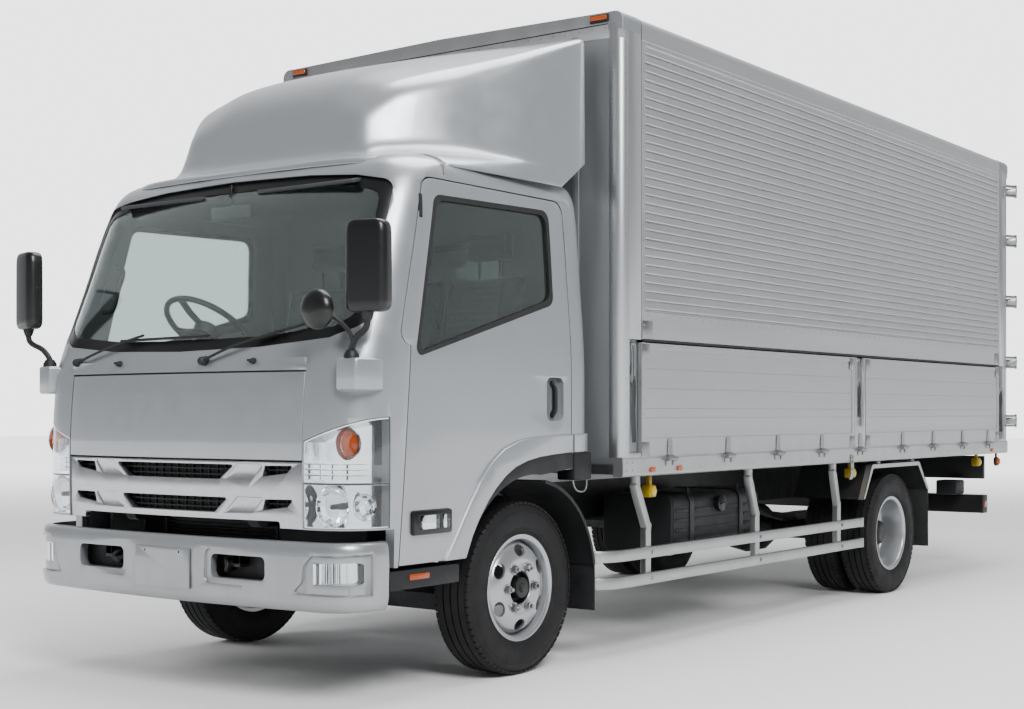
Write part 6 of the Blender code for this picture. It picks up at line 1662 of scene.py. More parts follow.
def build_front_wall():
    """Front wall: sheet with stiffeners, rounded corner posts with a latch recess, and the header."""
    base = RAIL_HIGH + 0.0003
    sheet = block((-BODY_HALF + 0.072, BODY_HALF - 0.072), (BODY_FRONT + 0.004, BODY_FRONT + 0.040),
                  (base, WALL_TOP + 0.02))
    ribs = [block((x - 0.02, x + 0.02), (BODY_FRONT + 0.0005, BODY_FRONT + 0.0045),
                  (base + 0.02, WALL_TOP), 0.001) for x in (-0.84, -0.56, -0.28, 0, 0.28, 0.56, 0.84)]
    inner = [block((x - 0.02, x + 0.02), (BODY_FRONT + 0.040, BODY_FRONT + 0.065), (base, WALL_TOP), 0.002)
             for x in (-0.72, -0.36, 0, 0.36, 0.72)]
    dress("front_wall_sheet", gather([sheet] + ribs + inner), "wall_sheet", "chassis",
          ("front_wall",), BROAD)
    half = BODY_HALF - 0.0015
    header = prism("Y", rounded([(half, WALL_TOP - 0.03, 0), (half, ROOF_TOP - 0.018, 0.045),
                                 (0, ROOF_TOP, 0), (-half, ROOF_TOP - 0.018, 0.045),
                                 (-half, WALL_TOP - 0.03, 0)], 8), BODY_FRONT + 0.0015,
                   BODY_FRONT + FRONT_POST)
    bevelled(header, 0.003, 2, 40)
    dress("front_header", header, "extrusion", "chassis")
    spots = []
    for label, side in SIDES:
        plan = rounded([(BODY_HALF - 0.075, BODY_FRONT, 0), (BODY_HALF, BODY_FRONT, 0.038),
                        (BODY_HALF, BODY_FRONT + FRONT_POST, 0),
                        (BODY_HALF - 0.075, BODY_FRONT + FRONT_POST, 0)], 10)
        post = prism("Z", [(side * x, y) for x, y in plan], base, WALL_TOP + 0.04)
        cut(post, block((side * (BODY_HALF - 0.026), side * 1.2),
                        (BODY_FRONT + 0.058, BODY_FRONT + FRONT_POST + 0.01),
                        (RAIL_HIGH + 0.02, GATE_TOP + 0.012)),
            block((side * (BODY_HALF - 0.0022), side * 1.2), (BODY_FRONT + 0.0440, BODY_FRONT + 0.0475),
                  (base - 0.1, 3.2)))
        bevelled(post, 0.0015, 2, 50)
        dress("front_post_" + label, post, "post", "chassis")
        # Painted shade: a darker sheet at the back of the latch recess.
        painted_recess_shade("front", label, side, (BODY_FRONT + 0.060, BODY_FRONT + 0.158),
                       (RAIL_HIGH + 0.022, GATE_TOP + 0.010), "chassis")
        dress("front_latch_" + label, latch(side, BODY_FRONT + 0.108, 1.315), "zinc", "chassis",
              sharp=ROUND)
        casting = along_side(side, rounded([(BODY_HALF - 0.085, WALL_TOP + 0.006, 0.01),
                                            (BODY_HALF + 0.0012, WALL_TOP + 0.006, 0.004),
                                            (BODY_HALF + 0.0012, ROOF_TOP - 0.0165, 0.046),
                                            (BODY_HALF - 0.085, ROOF_TOP - 0.0155, 0.01)], 8),
                             BODY_FRONT + 0.0002, BODY_FRONT + FRONT_POST - 0.002)
        bevelled(casting, 0.006, 3, 40)
        dress("front_casting_" + label, casting, "casting", "chassis", sharp=ROUND)
        spots += rivet_line(((side * (BODY_HALF - 0.055), BODY_FRONT - 0.0002, base + 0.03),
                             (side * (BODY_HALF - 0.055), BODY_FRONT - 0.0002, WALL_TOP)), FORWARD)
        spots += rivet_line(((side * (BODY_HALF + 0.0002), BODY_FRONT + 0.030, base + 0.03),
                             (side * (BODY_HALF + 0.0002), BODY_FRONT + 0.030, WALL_TOP - 0.01)),
                            OUTWARD[side])
    for x in (-0.84, -0.56, -0.28, 0, 0.28, 0.56, 0.84):
        spots += rivet_line(((x, BODY_FRONT + 0.0004, base + 0.03),
                             (x, BODY_FRONT + 0.0004, WALL_TOP - 0.02)), FORWARD)
    rivets(spots, "front_wall_rivets", "chassis", "zinc", 0.8)


def gate_section(proud):
    """Section of a drop side: bottom rail, three planks with fine seams and a top rail."""
    outer = BODY_HALF - 0.001 + proud
    inner = BODY_HALF - 0.035
    low = RAIL_HIGH + 0.0003
    outline = [(inner, low), (outer - 0.002, low), (outer, low + 0.002), (outer, low + 0.086),
               (outer - 0.004, low + 0.090)]
    face = outer - 0.004
    for seam in (1.130, 1.175, 1.270, 1.365):
        outline += [(face, seam - 0.0014), (face - 0.0016, seam - 0.0004), (face - 0.0016, seam + 0.0004),
                    (face, seam + 0.0014)]
    return outline + [(face, GATE_TOP - 0.030), (outer, GATE_TOP - 0.026), (outer, GATE_TOP - 0.002),
                      (outer - 0.002, GATE_TOP), (inner, GATE_TOP)]


def gate_hinge():
    """The gate's half of a hinge, facing +X with its pin at the origin: strap, knuckle and rivets."""
    strap = prism("X", rounded([(-0.021, -0.002, 0.002), (0.021, -0.002, 0.002), (0.024, 0.035, 0.01),
                                (0.020, 0.098, 0.014), (-0.020, 0.098, 0.014), (-0.024, 0.035, 0.01)], 5),
                  -0.0180, -0.0145)
    bevelled(strap, 0.001, 1)
    knuckle = rod("Y", (0, 0, 0), 0.0100, -0.025, 0.025, 20)
    web = prism("Y", [(-0.0155, 0.020), (-0.0175, 0.0), (-0.002, -0.0095), (0.006, 0.006)], -0.024, 0.024)
    heads = [turned("X", (0, y, z), [(-0.0150, 0), (-0.0150, 0.0052), (-0.0128, 0.0040), (-0.0122, 0)], 12)
             for y in (-0.011, 0.011) for z in (0.035, 0.060, 0.084)]
    return gather([strap, knuckle, web] + heads)


def deck_hinge():
    """The deck's half of a hinge: two knuckles, a leaf down the rail and the pin's heads."""
    knuckles = [rod("Y", (0, 0, 0), 0.0100, *span, 20) for span in ((-0.0415, -0.0260), (0.0260, 0.0415))]
    heads = [rod("Y", (0, 0, 0), 0.0072, *span, 16) for span in ((-0.0450, -0.0415), (0.0415, 0.0450))]
    leaves = []
    for low, high in ((-0.0415, -0.0260), (0.0260, 0.0415)):
        leaves.append(prism("Y", [(-0.0176, -0.034), (-0.0140, -0.034), (-0.0120, -0.010),
                                  (-0.002, -0.009), (-0.008, 0.006), (-0.0176, 0.002)], low, high))
    return gather(knuckles + heads + leaves)


def build_gates():
    """Drop sides with end channels, corner plates and strap hinges."""
    for label, side in SIDES:
        for row, low, high, stations in GATES:
            body = "gate_%s_%s" % (row, label)
            gate = along_side(side, gate_section(0), low + 0.032, high - 0.032)
            face = BODY_HALF - 0.001
            channels = [along_side(side,
                                   [(BODY_HALF - 0.035, RAIL_HIGH + 0.0003), (face, RAIL_HIGH + 0.0003),
                                    (face, GATE_TOP), (BODY_HALF - 0.035, GATE_TOP)], *span)
                        for span in ((low, low + 0.0322), (high - 0.0322, high))]
            fuse(gate, *channels)
            dress("drop_side_%s_%s" % (row, label), gate, "planks", body, (body,), 28)
            plates = []
            spots = []
            for y in (low + 0.036, high - 0.036):
                for z in (RAIL_HIGH + 0.036, GATE_TOP - 0.042):
                    plates.append(block((side * (face - 0.001), side * (face + 0.0016)),
                                        (y - 0.033, y + 0.033), (z - 0.032, z + 0.036), 0.0008))
                    spots += [((side * (face + 0.0014), y + a, z + b), OUTWARD[side])
                              for a in (-0.019, 0.019) for b in (-0.018, 0.020)]
            for y in (low + 0.016, high - 0.016):
                spots += rivet_line(((side * (face - 0.0002), y, RAIL_HIGH + 0.10),
                                     (side * (face - 0.0002), y, GATE_TOP - 0.10)), OUTWARD[side])
            dress("gate_plates_%s_%s" % (row, label), gather(plates), "zinc", body,
                  sharp=ROUND)
            rivets(spots, "gate_rivets_%s_%s" % (row, label), body, "zinc", 0.85)
            turn = (0, 0, 0) if side > 0 else (0, 0, math.pi)
            hinges = repeat(gate_hinge(), [((side * HINGE_X, y, HINGE_Z), turn) for y in stations], "zinc")
            dress("gate_hinges_%s_%s" % (row, label), hinges, "zinc", body)
        turn = (0, 0, 0) if side > 0 else (0, 0, math.pi)
        stations = GATES[0][3] + GATES[1][3] + (3.181,)
        fixed = repeat(deck_hinge(), [((side * HINGE_X, y, HINGE_Z), turn) for y in stations], "zinc")
        dress("deck_hinges_" + label, fixed, "zinc", "chassis")
        body = "centre_post_" + label
        post = block((side * (BODY_HALF - 0.06), side * (BODY_HALF - 0.001)), CENTRE_POST,
                     (RAIL_HIGH + 0.0003, GATE_TOP))
        cut(post, block((side * (BODY_HALF - 0.026), side * 1.2),
                        (CENTRE_POST[0] + 0.034, CENTRE_POST[1] - 0.034), (1.13, GATE_TOP + 0.1)))
        bevelled(post, 0.002)
        hinge = repeat(gate_hinge(), [((side * HINGE_X, 3.181, HINGE_Z), turn)], "zinc")
        dress("middle_post_" + label, post, "post", body, (body,))
        # Painted shade: a darker sheet at the back of the latch recess.
        painted_recess_shade("middle", label, side, (CENTRE_POST[0] + 0.036, CENTRE_POST[1] - 0.036),
                       (1.132, GATE_TOP - 0.002), body)
        dress("middle_latch_" + label, gather([latch(side, 3.181, 1.335, 0.26), hinge]), "zinc", body,
              sharp=ROUND)


def build_deck_trim():
    """Marker lamps, side rail screws and the hanging side lamps under the deck."""
    for label, side in SIDES:
        spots = []
        for y in (0.575, 0.625):
            spots += [((side * (BODY_HALF + 0.0002), y, z), OUTWARD[side]) for z in (0.885, 0.920)]
        for y in (1.25, 1.82, 2.38, 2.92, 3.50, 4.08, 4.62, 5.15, 5.72):
            spots.append(((side * (BODY_HALF + 0.0002), y, 0.890), OUTWARD[side]))
        rivets(spots, "rail_screws_" + label, "chassis", "zinc", 1.1)
        amber = []
        for y in (0.80, 1.05, 5.483):
            lens = prism("X", rounded([(y - 0.022, 0.872, 0.005), (y + 0.022, 0.872, 0.005),
                                       (y + 0.022, 0.896, 0.005), (y - 0.022, 0.896, 0.005)]),
                         *sorted((side * (BODY_HALF - 0.001), side * (BODY_HALF + 0.007))))
            amber.append(bevelled(lens, 0.002))
        dress("rail_markers_" + label, gather(amber), "amber", "chassis", sharp=ROUND)
        housings = []
        lenses = []
        for y, z in ((0.945, 0.771), (3.273, 0.784), (5.456, 0.794)):
            x = side * 1.0
            housings.append(block((x - 0.026, x + 0.026), (y - 0.032, y + 0.032), (z - 0.030, z + 0.030),
                                  0.010))
            housings.append(block((x - 0.010, x + 0.010), (y - 0.012, y + 0.012),
                                  (z + 0.025, RAIL_LOW + 0.006), 0.002))
            lenses.append(turned("X", (x, y, z),
                                 [(side * 0.024, 0), (side * 0.024, 0.025), (side * 0.030, 0.024),
                                  (side * 0.036, 0.015), (side * 0.037, 0)], 24))
        dress("side_lamp_housings_" + label, gather(housings), "yellow", "chassis",
              sharp=ROUND)
        dress("side_lamp_lenses_" + label, gather(lenses), "yellow_lens", "chassis",
              sharp=ROUND)
        bracket = prism("Y", [(side * x, z)
                              for x, z in ((BODY_HALF + 0.0003, 0.905), (BODY_HALF + 0.006, 0.905),
                                           (BODY_HALF + 0.006, 0.785), (BODY_HALF - 0.004, 0.755),
                                           (BODY_HALF - 0.010, 0.755), (BODY_HALF + 0.0003, 0.79))],
                        3.035, 3.075)
        bevelled(bracket, 0.001, 1)
        bolts = repeat(bolt_head(0.008, 0.007), [((side * (BODY_HALF + 0.0058), 3.055, z), OUTWARD[side])
                                                  for z in (0.82, 0.86, 0.89)], "zinc", 1.0, 5)
        dress("rail_bracket_" + label, gather([bracket, bolts]), "zinc", "chassis")
    top = []
    for side in (1, -1):
        lens = block((side * 0.935, side * 1.025), (BODY_FRONT - 0.018, BODY_FRONT + 0.004),
                     (2.990, 3.014), 0.006)
        top.append(lens)
    dress("top_markers", gather(top), "amber", "chassis", sharp=ROUND)
    bases = [block((side * 0.928, side * 1.032), (BODY_FRONT - 0.006, BODY_FRONT + 0.004), (2.982, 3.020),
                   0.003) for side in (1, -1)]
    bases.append(block((-1.07, 1.07), (BODY_FRONT + 0.0005, BODY_FRONT + 0.004), (2.9695, 2.9745)))
    dress("top_marker_bases", gather(bases), "seal", "chassis", sharp=ROUND)
    rivets(rivet_line(((-1.05, BODY_FRONT + 0.0013, 2.956), (1.05, BODY_FRONT + 0.0013, 2.956)), FORWARD),
           "header_rivets", "chassis")


def build_side_guards():
    """Two flat rails a side with rolled front ends, on cranked posts with coach screws."""
    rail_x = BODY_HALF - 0.075
    for label, side in SIDES:
        parts = []
        for height in (0.478, 0.352):
            path = smooth_path([(side * (rail_x - 0.150), 0.515, height),
                                (side * (rail_x - 0.120), 0.500, height),
                                (side * (rail_x - 0.060), 0.520, height),
                                (side * (rail_x - 0.018), 0.585, height), (side * rail_x, 0.700, height),
                                (side * rail_x, 1.2, height), (side * rail_x, 3.37, height)], 6)
            section = rounded([(-0.012, -0.0275, 0.004), (0.012, -0.0275, 0.004), (0.012, 0.0275, 0.004),
                               (-0.012, 0.0275, 0.004)], 2)
            parts.append(swept(path, section))
            parts.append(block((side * (rail_x - 0.0125), side * (rail_x + 0.0135)), (3.325, 3.3705),
                               (height - 0.029, height + 0.029), 0.003))
        for station in (0.90, 2.02, 3.06):
            path = smooth_path([(side * (rail_x - 0.026), station, 0.325),
                                (side * (rail_x - 0.026), station, 0.585),
                                (side * (rail_x - 0.024), station - 0.006, 0.610),
                                (side * (BODY_HALF - 0.036), station - 0.190, RAIL_LOW - 0.070),
                                (side * (BODY_HALF - 0.034), station - 0.20, RAIL_LOW - 0.045),
                                (side * (BODY_HALF - 0.034), station - 0.20, RAIL_LOW - 0.0003)], 2)
            section = rounded([(-0.019, -0.0225, 0.006), (0.019, -0.0225, 0.006), (0.019, 0.0225, 0.006),
                               (-0.019, 0.0225, 0.006)], 3)
            parts.append(swept(path, section))
        dress("guard_rails_" + label, gather(parts), "extrusion", "chassis",
              ("side_guard_" + label,), BROAD)
        spots = [((side * (rail_x + 0.0118), station, height), OUTWARD[side])
                 for station in (0.90, 2.02, 3.06) for height in (0.478, 0.352)]
        screws = repeat(bolt_head(0.0085, 0.006, 1.5), spots, "zinc", 1.0, 7)
        dress("guard_screws_" + label, screws, "zinc", "chassis", sharp=ROUND)


# Rear end

DOOR_LOW = RAIL_HIGH + 0.006
DOOR_HIGH = WALL_TOP - 0.011
DOOR_EDGE = BODY_HALF - 0.026
DOOR_FACE = BODY_REAR - 0.002
LOCK_RODS = (0.14, 0.62)


def mirrored(side, outline):
    """An outline's points on one side of the truck."""
    return [(side * first, second) for first, second in outline]


def rear_leaf(side, height):
    """Strap of a rear hinge with a rounded root and the nose about its pin."""
    root = DOOR_EDGE - 0.184
    outline = [(root, DOOR_FACE - 0.001), (DOOR_EDGE - 0.002, DOOR_FACE - 0.001)]
    outline += arc(REAR_HINGE, 0.0098, -60, 120, 10) + [(DOOR_EDGE - 0.030, DOOR_FACE + 0.010),
                                                        (root, DOOR_FACE + 0.007)]
    strap = prism("Z", mirrored(side, outline), height - 0.0245, height + 0.0245)
    return bevelled(strap, 0.002, 2, 50)


def rear_ears(side, height):
    """The two plates and the pin that carry one rear hinge."""
    near = BODY_HALF - 0.006
    outline = [(near, BODY_REAR - 0.058), (BODY_HALF + 0.003, BODY_REAR - 0.058)]
    outline += arc(REAR_HINGE, 0.0098, -30, 130, 10) + [(near, BODY_REAR - 0.041)]
    parts = [rod("Z", (side * REAR_HINGE[0], REAR_HINGE[1], 0), 0.0062, height - 0.049, height + 0.049, 16)]
    for end in (-1, 1):
        middle = height + end * 0.0353
        parts.append(bevelled(prism("Z", mirrored(side, outline), middle - 0.0088, middle + 0.0088),
                              0.0015, 2, 50))
    return parts


def build_rear_frame():
    """Rear posts with latch recesses, header, castings, roof beam and hinge ears."""
    base = RAIL_HIGH + 0.0003
    front = BODY_REAR - REAR_POST
    opening = BODY_REAR - 0.045
    half = BODY_HALF - 0.0015
    header = prism("Y", rounded([(half, WALL_TOP - 0.03, 0), (half, ROOF_TOP - 0.018, 0.045),
                                 (0, ROOF_TOP, 0), (-half, ROOF_TOP - 0.018, 0.045),
                                 (-half, WALL_TOP - 0.03, 0)], 8), front, BODY_REAR - 0.002)
    cut(header, block((-BODY_HALF + 0.02, BODY_HALF - 0.02), (opening, BODY_REAR + 0.1),
                      (WALL_TOP - 0.1, WALL_TOP - 0.005)))
    bevelled(header, 0.003, 2, 40)
    dress("rear_header", header, "extrusion", "chassis", ("body_portal",))
    under = ROOF_TOP - 0.09
    edge = 0.099
    seat = ROOF_TOP - 0.0412
    beam = prism("Y", [(-0.16, under), (0.16, under), (0.16, seat), (edge, seat),
                       (edge, ROOF_TOP - 0.003), (0.092, ROOF_TOP - 0.001), (-0.092, ROOF_TOP - 0.001),
                       (-edge, ROOF_TOP - 0.003), (-edge, seat), (-0.16, seat)],
                 BODY_FRONT + FRONT_POST + 0.0003, front + 0.002)
    dress("roof_beam", bevelled(beam, 0.002), "extrusion", "chassis")
    spots = [((side * 0.080, BODY_FRONT + 0.25 + at * 0.15, ROOF_TOP - 0.0012), UPWARD) for side in (1, -1)
             for at in range(33)]
    rivets(spots, "roof_beam_rivets", "chassis")
    frames = []
    for label, side in SIDES:
        plan = rounded([(BODY_HALF - 0.075, front, 0), (BODY_HALF, front, 0), (BODY_HALF, BODY_REAR, 0.035),
                        (BODY_HALF - 0.075, BODY_REAR, 0)], 10)
        post = prism("Z", mirrored(side, plan), base, WALL_TOP + 0.04)
        cut(post, block((0, side * (BODY_HALF - 0.02)), (opening, BODY_REAR + 0.1), (0.8, 3.2)),
            block((side * (BODY_HALF - 0.026), side * 1.2), (front - 0.01, front + 0.100),
                  (RAIL_HIGH + 0.02, GATE_TOP + 0.012)),
            block((side * (BODY_HALF - 0.0022), side * 1.2), (front + 0.120, front + 0.1235),
                  (base - 0.1, 3.2)))
        bevelled(post, 0.0015, 2, 50)
        dress("rear_post_" + label, post, "post", "chassis")
        # Painted shade: a darker sheet at the back of the latch recess.
        painted_recess_shade("rear", label, side, (front + 0.002, front + 0.099),
                       (RAIL_HIGH + 0.022, GATE_TOP + 0.010), "chassis")
        dress("rear_latch_" + label, latch(side, front + 0.052, 1.315), "zinc", "chassis",
              sharp=ROUND)
        casting = along_side(side, rounded([(BODY_HALF - 0.085, WALL_TOP + 0.006, 0.01),
                                            (BODY_HALF + 0.0012, WALL_TOP + 0.006, 0.004),
                                            (BODY_HALF + 0.0012, ROOF_TOP - 0.0165, 0.046),
                                            (BODY_HALF - 0.085, ROOF_TOP - 0.0155, 0.01)], 8),
                             front + 0.002, BODY_REAR - 0.0012)
        dress("rear_casting_" + label, bevelled(casting, 0.006, 3, 40), "casting", "chassis",
              sharp=ROUND)
        for height in REAR_HINGE_HEIGHTS:
            frames += rear_ears(side, height)
    dress("rear_hinge_ears", gather(frames), "zinc", "chassis")
    lenses = [block((side * 0.90, side * 0.99), (BODY_REAR - 0.004, BODY_REAR + 0.016), (2.958, 2.990),
                    0.006) for side in (1, -1)]
    dress("rear_top_markers", gather(lenses), "red", "chassis", sharp=ROUND)


def build_rear_doors():
    """Rear doors: framed skins with swages, lock rods with cams and handles, hinges and rubber."""
    for label, side in SIDES:
        body = "rear_door_" + label
        door = block((side * 0.0035, side * (DOOR_EDGE - 0.0005)), (DOOR_FACE - 0.0348, DOOR_FACE),
                     (DOOR_LOW, DOOR_HIGH))
        cut(door, block((side * 0.052, side * (DOOR_EDGE - 0.052)), (DOOR_FACE - 0.0035, DOOR_FACE + 0.1),
                        (DOOR_LOW + 0.062, DOOR_HIGH - 0.052)))
        bevelled(door, 0.0012, 2, 50)
        swages = [block((side * (x - 0.016), side * (x + 0.016)),
                        (DOOR_FACE - 0.0045, DOOR_FACE - 0.0008), (DOOR_LOW + 0.075, DOOR_HIGH - 0.065),
                        0.0025) for x in (0.245, 0.38, 0.515, 0.745, 0.88, 0.985)]
        dress("rear_door_skin_" + label, gather([door] + swages), "post", body, (body,))
        rubber = []
        for span in (((side * 0.0008, side * 0.0034), (DOOR_LOW, DOOR_HIGH)),
                     ((side * (DOOR_EDGE - 0.0004), side * (DOOR_EDGE + 0.0036)), (DOOR_LOW, DOOR_HIGH)),
                     ((side * 0.0034, side * DOOR_EDGE), (DOOR_HIGH, DOOR_HIGH + 0.0034)),
                     ((side * 0.0034, side * DOOR_EDGE), (DOOR_LOW - 0.0034, DOOR_LOW))):
            rubber.append(block(span[0], (DOOR_FACE - 0.030, DOOR_FACE - 0.002), span[1]))
        dress("rear_door_rubber_" + label, gather(rubber), "seal", body)
        metal = []
        axis_y = DOOR_FACE + 0.019
        for x in LOCK_RODS:
            metal.append(rod("Z", (side * x, axis_y, 0), 0.0120, DOOR_LOW - 0.002, DOOR_HIGH - 0.021))
            for height in (DOOR_LOW + 0.125, DOOR_LOW + 0.425, DOOR_LOW + 0.95, DOOR_HIGH - 0.095):
                strap = [(x - 0.034, DOOR_FACE - 0.001), (x - 0.034, DOOR_FACE + 0.003),
                         (x - 0.017, DOOR_FACE + 0.003)]
                strap += [(x + 0.0155 * math.cos(turn), axis_y + 0.0135 * math.sin(turn))
                          for turn in (math.radians(180 - 22.5 * at) for at in range(9))]
                strap += [(x + 0.017, DOOR_FACE + 0.003), (x + 0.034, DOOR_FACE + 0.003),
                          (x + 0.034, DOOR_FACE - 0.001)]
                metal.append(bevelled(prism("Z", mirrored(side, strap), height - 0.022, height + 0.022),
                                      0.001, 1, 50))
                metal += [turned("Y", (side * (x + step), 0, height),
                                 [(DOOR_FACE + 0.002, 0), (DOOR_FACE + 0.002, 0.0062),
                                  (DOOR_FACE + 0.006, 0.0045), (DOOR_FACE + 0.007, 0)], 12)
                          for step in (-0.0265, 0.0265)]
            for height in (DOOR_LOW + 0.022, DOOR_HIGH - 0.050):
                metal.append(block((side * (x - 0.026), side * (x + 0.022)),
                                   (axis_y - 0.015, axis_y + 0.0135), (height - 0.018, height + 0.018),
                                   0.004))
            pivot = (side * x, axis_y, DOOR_LOW + 0.30)
            metal.append(rod("Z", pivot, 0.0165, -0.024, 0.024, 20))
            reach = side * (0.26 if x < 0.3 else 0.22)
            path = smooth_path([(pivot[0], axis_y + 0.008, pivot[2]),
                                (pivot[0] + reach * 0.25, axis_y + 0.012, pivot[2] - 0.004),
                                (pivot[0] + reach * 0.8, axis_y + 0.012, pivot[2] - 0.030),
                                (pivot[0] + reach, axis_y + 0.012, pivot[2] - 0.038)], 6)
            metal.append(swept(path, [(-0.0115, -0.0028), (0.0115, -0.0028), (0.0115, 0.0028),
                                      (-0.0115, 0.0028)], (0, 1, 0)))
            metal.append(block((pivot[0] + reach * 0.72, pivot[0] + reach * 0.88),
                               (DOOR_FACE - 0.001, axis_y + 0.016), (pivot[2] - 0.052, pivot[2] - 0.006),
                               0.004))
        for height in REAR_HINGE_HEIGHTS:
            metal.append(rear_leaf(side, height))
            metal += [turned("Y", (side * x, 0, height + rise),
                             [(DOOR_FACE + 0.007, 0), (DOOR_FACE + 0.007, 0.0078),
                              (DOOR_FACE + 0.011, 0.0062), (DOOR_FACE + 0.0125, 0)], 14)
                      for x in (DOOR_EDGE - 0.16, DOOR_EDGE - 0.10, DOOR_EDGE - 0.045)
                      for rise in (-0.012, 0.012)]
        dress("rear_door_metal_" + label, gather(metal), "zinc", body)
        spots = []
        for x in (0.026, DOOR_EDGE - 0.026):
            spots += rivet_line(((side * x, DOOR_FACE - 0.0002, DOOR_LOW + 0.03),
                                 (side * x, DOOR_FACE - 0.0002, DOOR_HIGH - 0.03)), REARWARD)
        rivets(spots, "rear_door_rivets_" + label, body, "zinc", 0.8)


def build_tail():
    """Black lamp bar with split lamps and a blank plate, and the underride bar with its marks."""
    bar = block((-0.98, 0.98), (5.661, 5.699), (0.662, 0.833), 0.006)
    cut(bar, block((-0.50, -0.20), (5.68, 5.8), (0.69, 0.805)),
        block((0.20, 0.50), (5.68, 5.8), (0.69, 0.805)))
    stays = [block((side * 0.388, side * 0.424), (5.6005, 5.665), (0.682, 0.758), 0.003)
             for side in (1, -1)]
    dress("tail_bar", gather([bar] + stays), "chassis", "chassis", ("rear_lamp_bar",))
    housings, red, amber, clear = [], [], [], []
    for side in (1, -1):
        housings.append(block((side * 0.556, side * 0.972), (5.697, 5.716), (0.673, 0.822), 0.008))
        for group, near, far in ((red, 0.832, 0.962), (amber, 0.700, 0.826), (clear, 0.566, 0.694)):
            group.append(block((side * near, side * far), (5.712, 5.734), (0.682, 0.813), 0.009))
        red.append(turned("Y", (side * 0.525, 0, 0.748),
                          [(5.698, 0), (5.698, 0.026), (5.704, 0.024), (5.706, 0)], 28))
    dress("tail_lamp_housings", gather(housings), "black_gloss", "chassis", sharp=ROUND)
    dress("tail_lamps_red", gather(red), "red", "chassis", sharp=ROUND)
    dress("tail_lamps_amber", gather(amber), "amber", "chassis", sharp=ROUND)
    dress("tail_lamps_clear", gather(clear), "clear", "chassis", sharp=ROUND)
    plate = block((-0.165, 0.165), (5.6995, 5.7020), (0.668, 0.828), 0.001)
    dress("rear_plate_blank", plate, "white", "chassis")
    lamp = block((-0.045, 0.045), (5.690, 5.722), (0.833, 0.853), 0.005)
    bolts = repeat(bolt_head(0.006, 0.004), [((x, 5.7018, 0.800), REARWARD) for x in (-0.105, 0.105)],
                   "zinc", 1.0, 11)
    dress("rear_plate_lamp", gather([lamp, bolts]), "zinc", "chassis", sharp=ROUND)
    bar = prism("X", rounded([(5.60, 0.41, 0.012), (5.70, 0.41, 0.012), (5.70, 0.545, 0.012),
                              (5.60, 0.545, 0.012)]), -0.996, 0.996)
    caps = [block((side * 0.990, side * 0.9995), (5.603, 5.697), (0.413, 0.542), 0.004) for side in (1, -1)]
    legs = [block((side * 0.376, side * 0.414), (5.481, 5.659), (0.471, 0.5995), 0.003) for side in (1, -1)]
    dress("underride_tube", gather([bar] + caps + legs), "chassis", "chassis",
          ("underride_bar",), ROUND)
    marks = [block((side * 0.80, side * 0.95), (5.699, 5.7025), (0.452, 0.503), 0.001) for side in (1, -1)]
    marks += [block((side * 0.999, side * 1.002), (5.625, 5.675), (0.455, 0.500), 0.001)
              for side in (1, -1)]
    dress("underride_reflectors", gather(marks), "red", "chassis", sharp=ROUND)
    lamps, holders = [], []
    for side in (1, -1):
        x = side * 1.045
        holders.append(block((x - 0.004, x + 0.004), (5.735, 5.765), (0.79, RAIL_LOW + 0.004), 0.001))
        holders.append(rod("X", (x, 5.75, 0.792), 0.034, -0.008, 0.010, 28))
        lamps.append(turned("X", (x, 5.75, 0.792),
                            [(side * 0.008, 0), (side * 0.008, 0.030), (side * 0.020, 0.028),
                             (side * 0.028, 0.018), (side * 0.030, 0)], 28))
        holders.append(block((side * 0.70, side * 0.86), (5.43, 5.60), (0.55, 0.655), 0.012))
    dress("tail_side_holders", gather(holders), "black_plastic", "chassis", sharp=ROUND)
    dress("tail_side_lamps", gather(lamps), "amber", "chassis", sharp=ROUND)


# Under the deck

def box_outline(low_x, high_x, low_z, high_z, radius, steps=8):
    """A rectangle with round corners."""
    return rounded([(low_x, low_z, radius), (high_x, low_z, radius), (high_x, high_z, radius),
                    (low_x, high_z, radius)], steps)


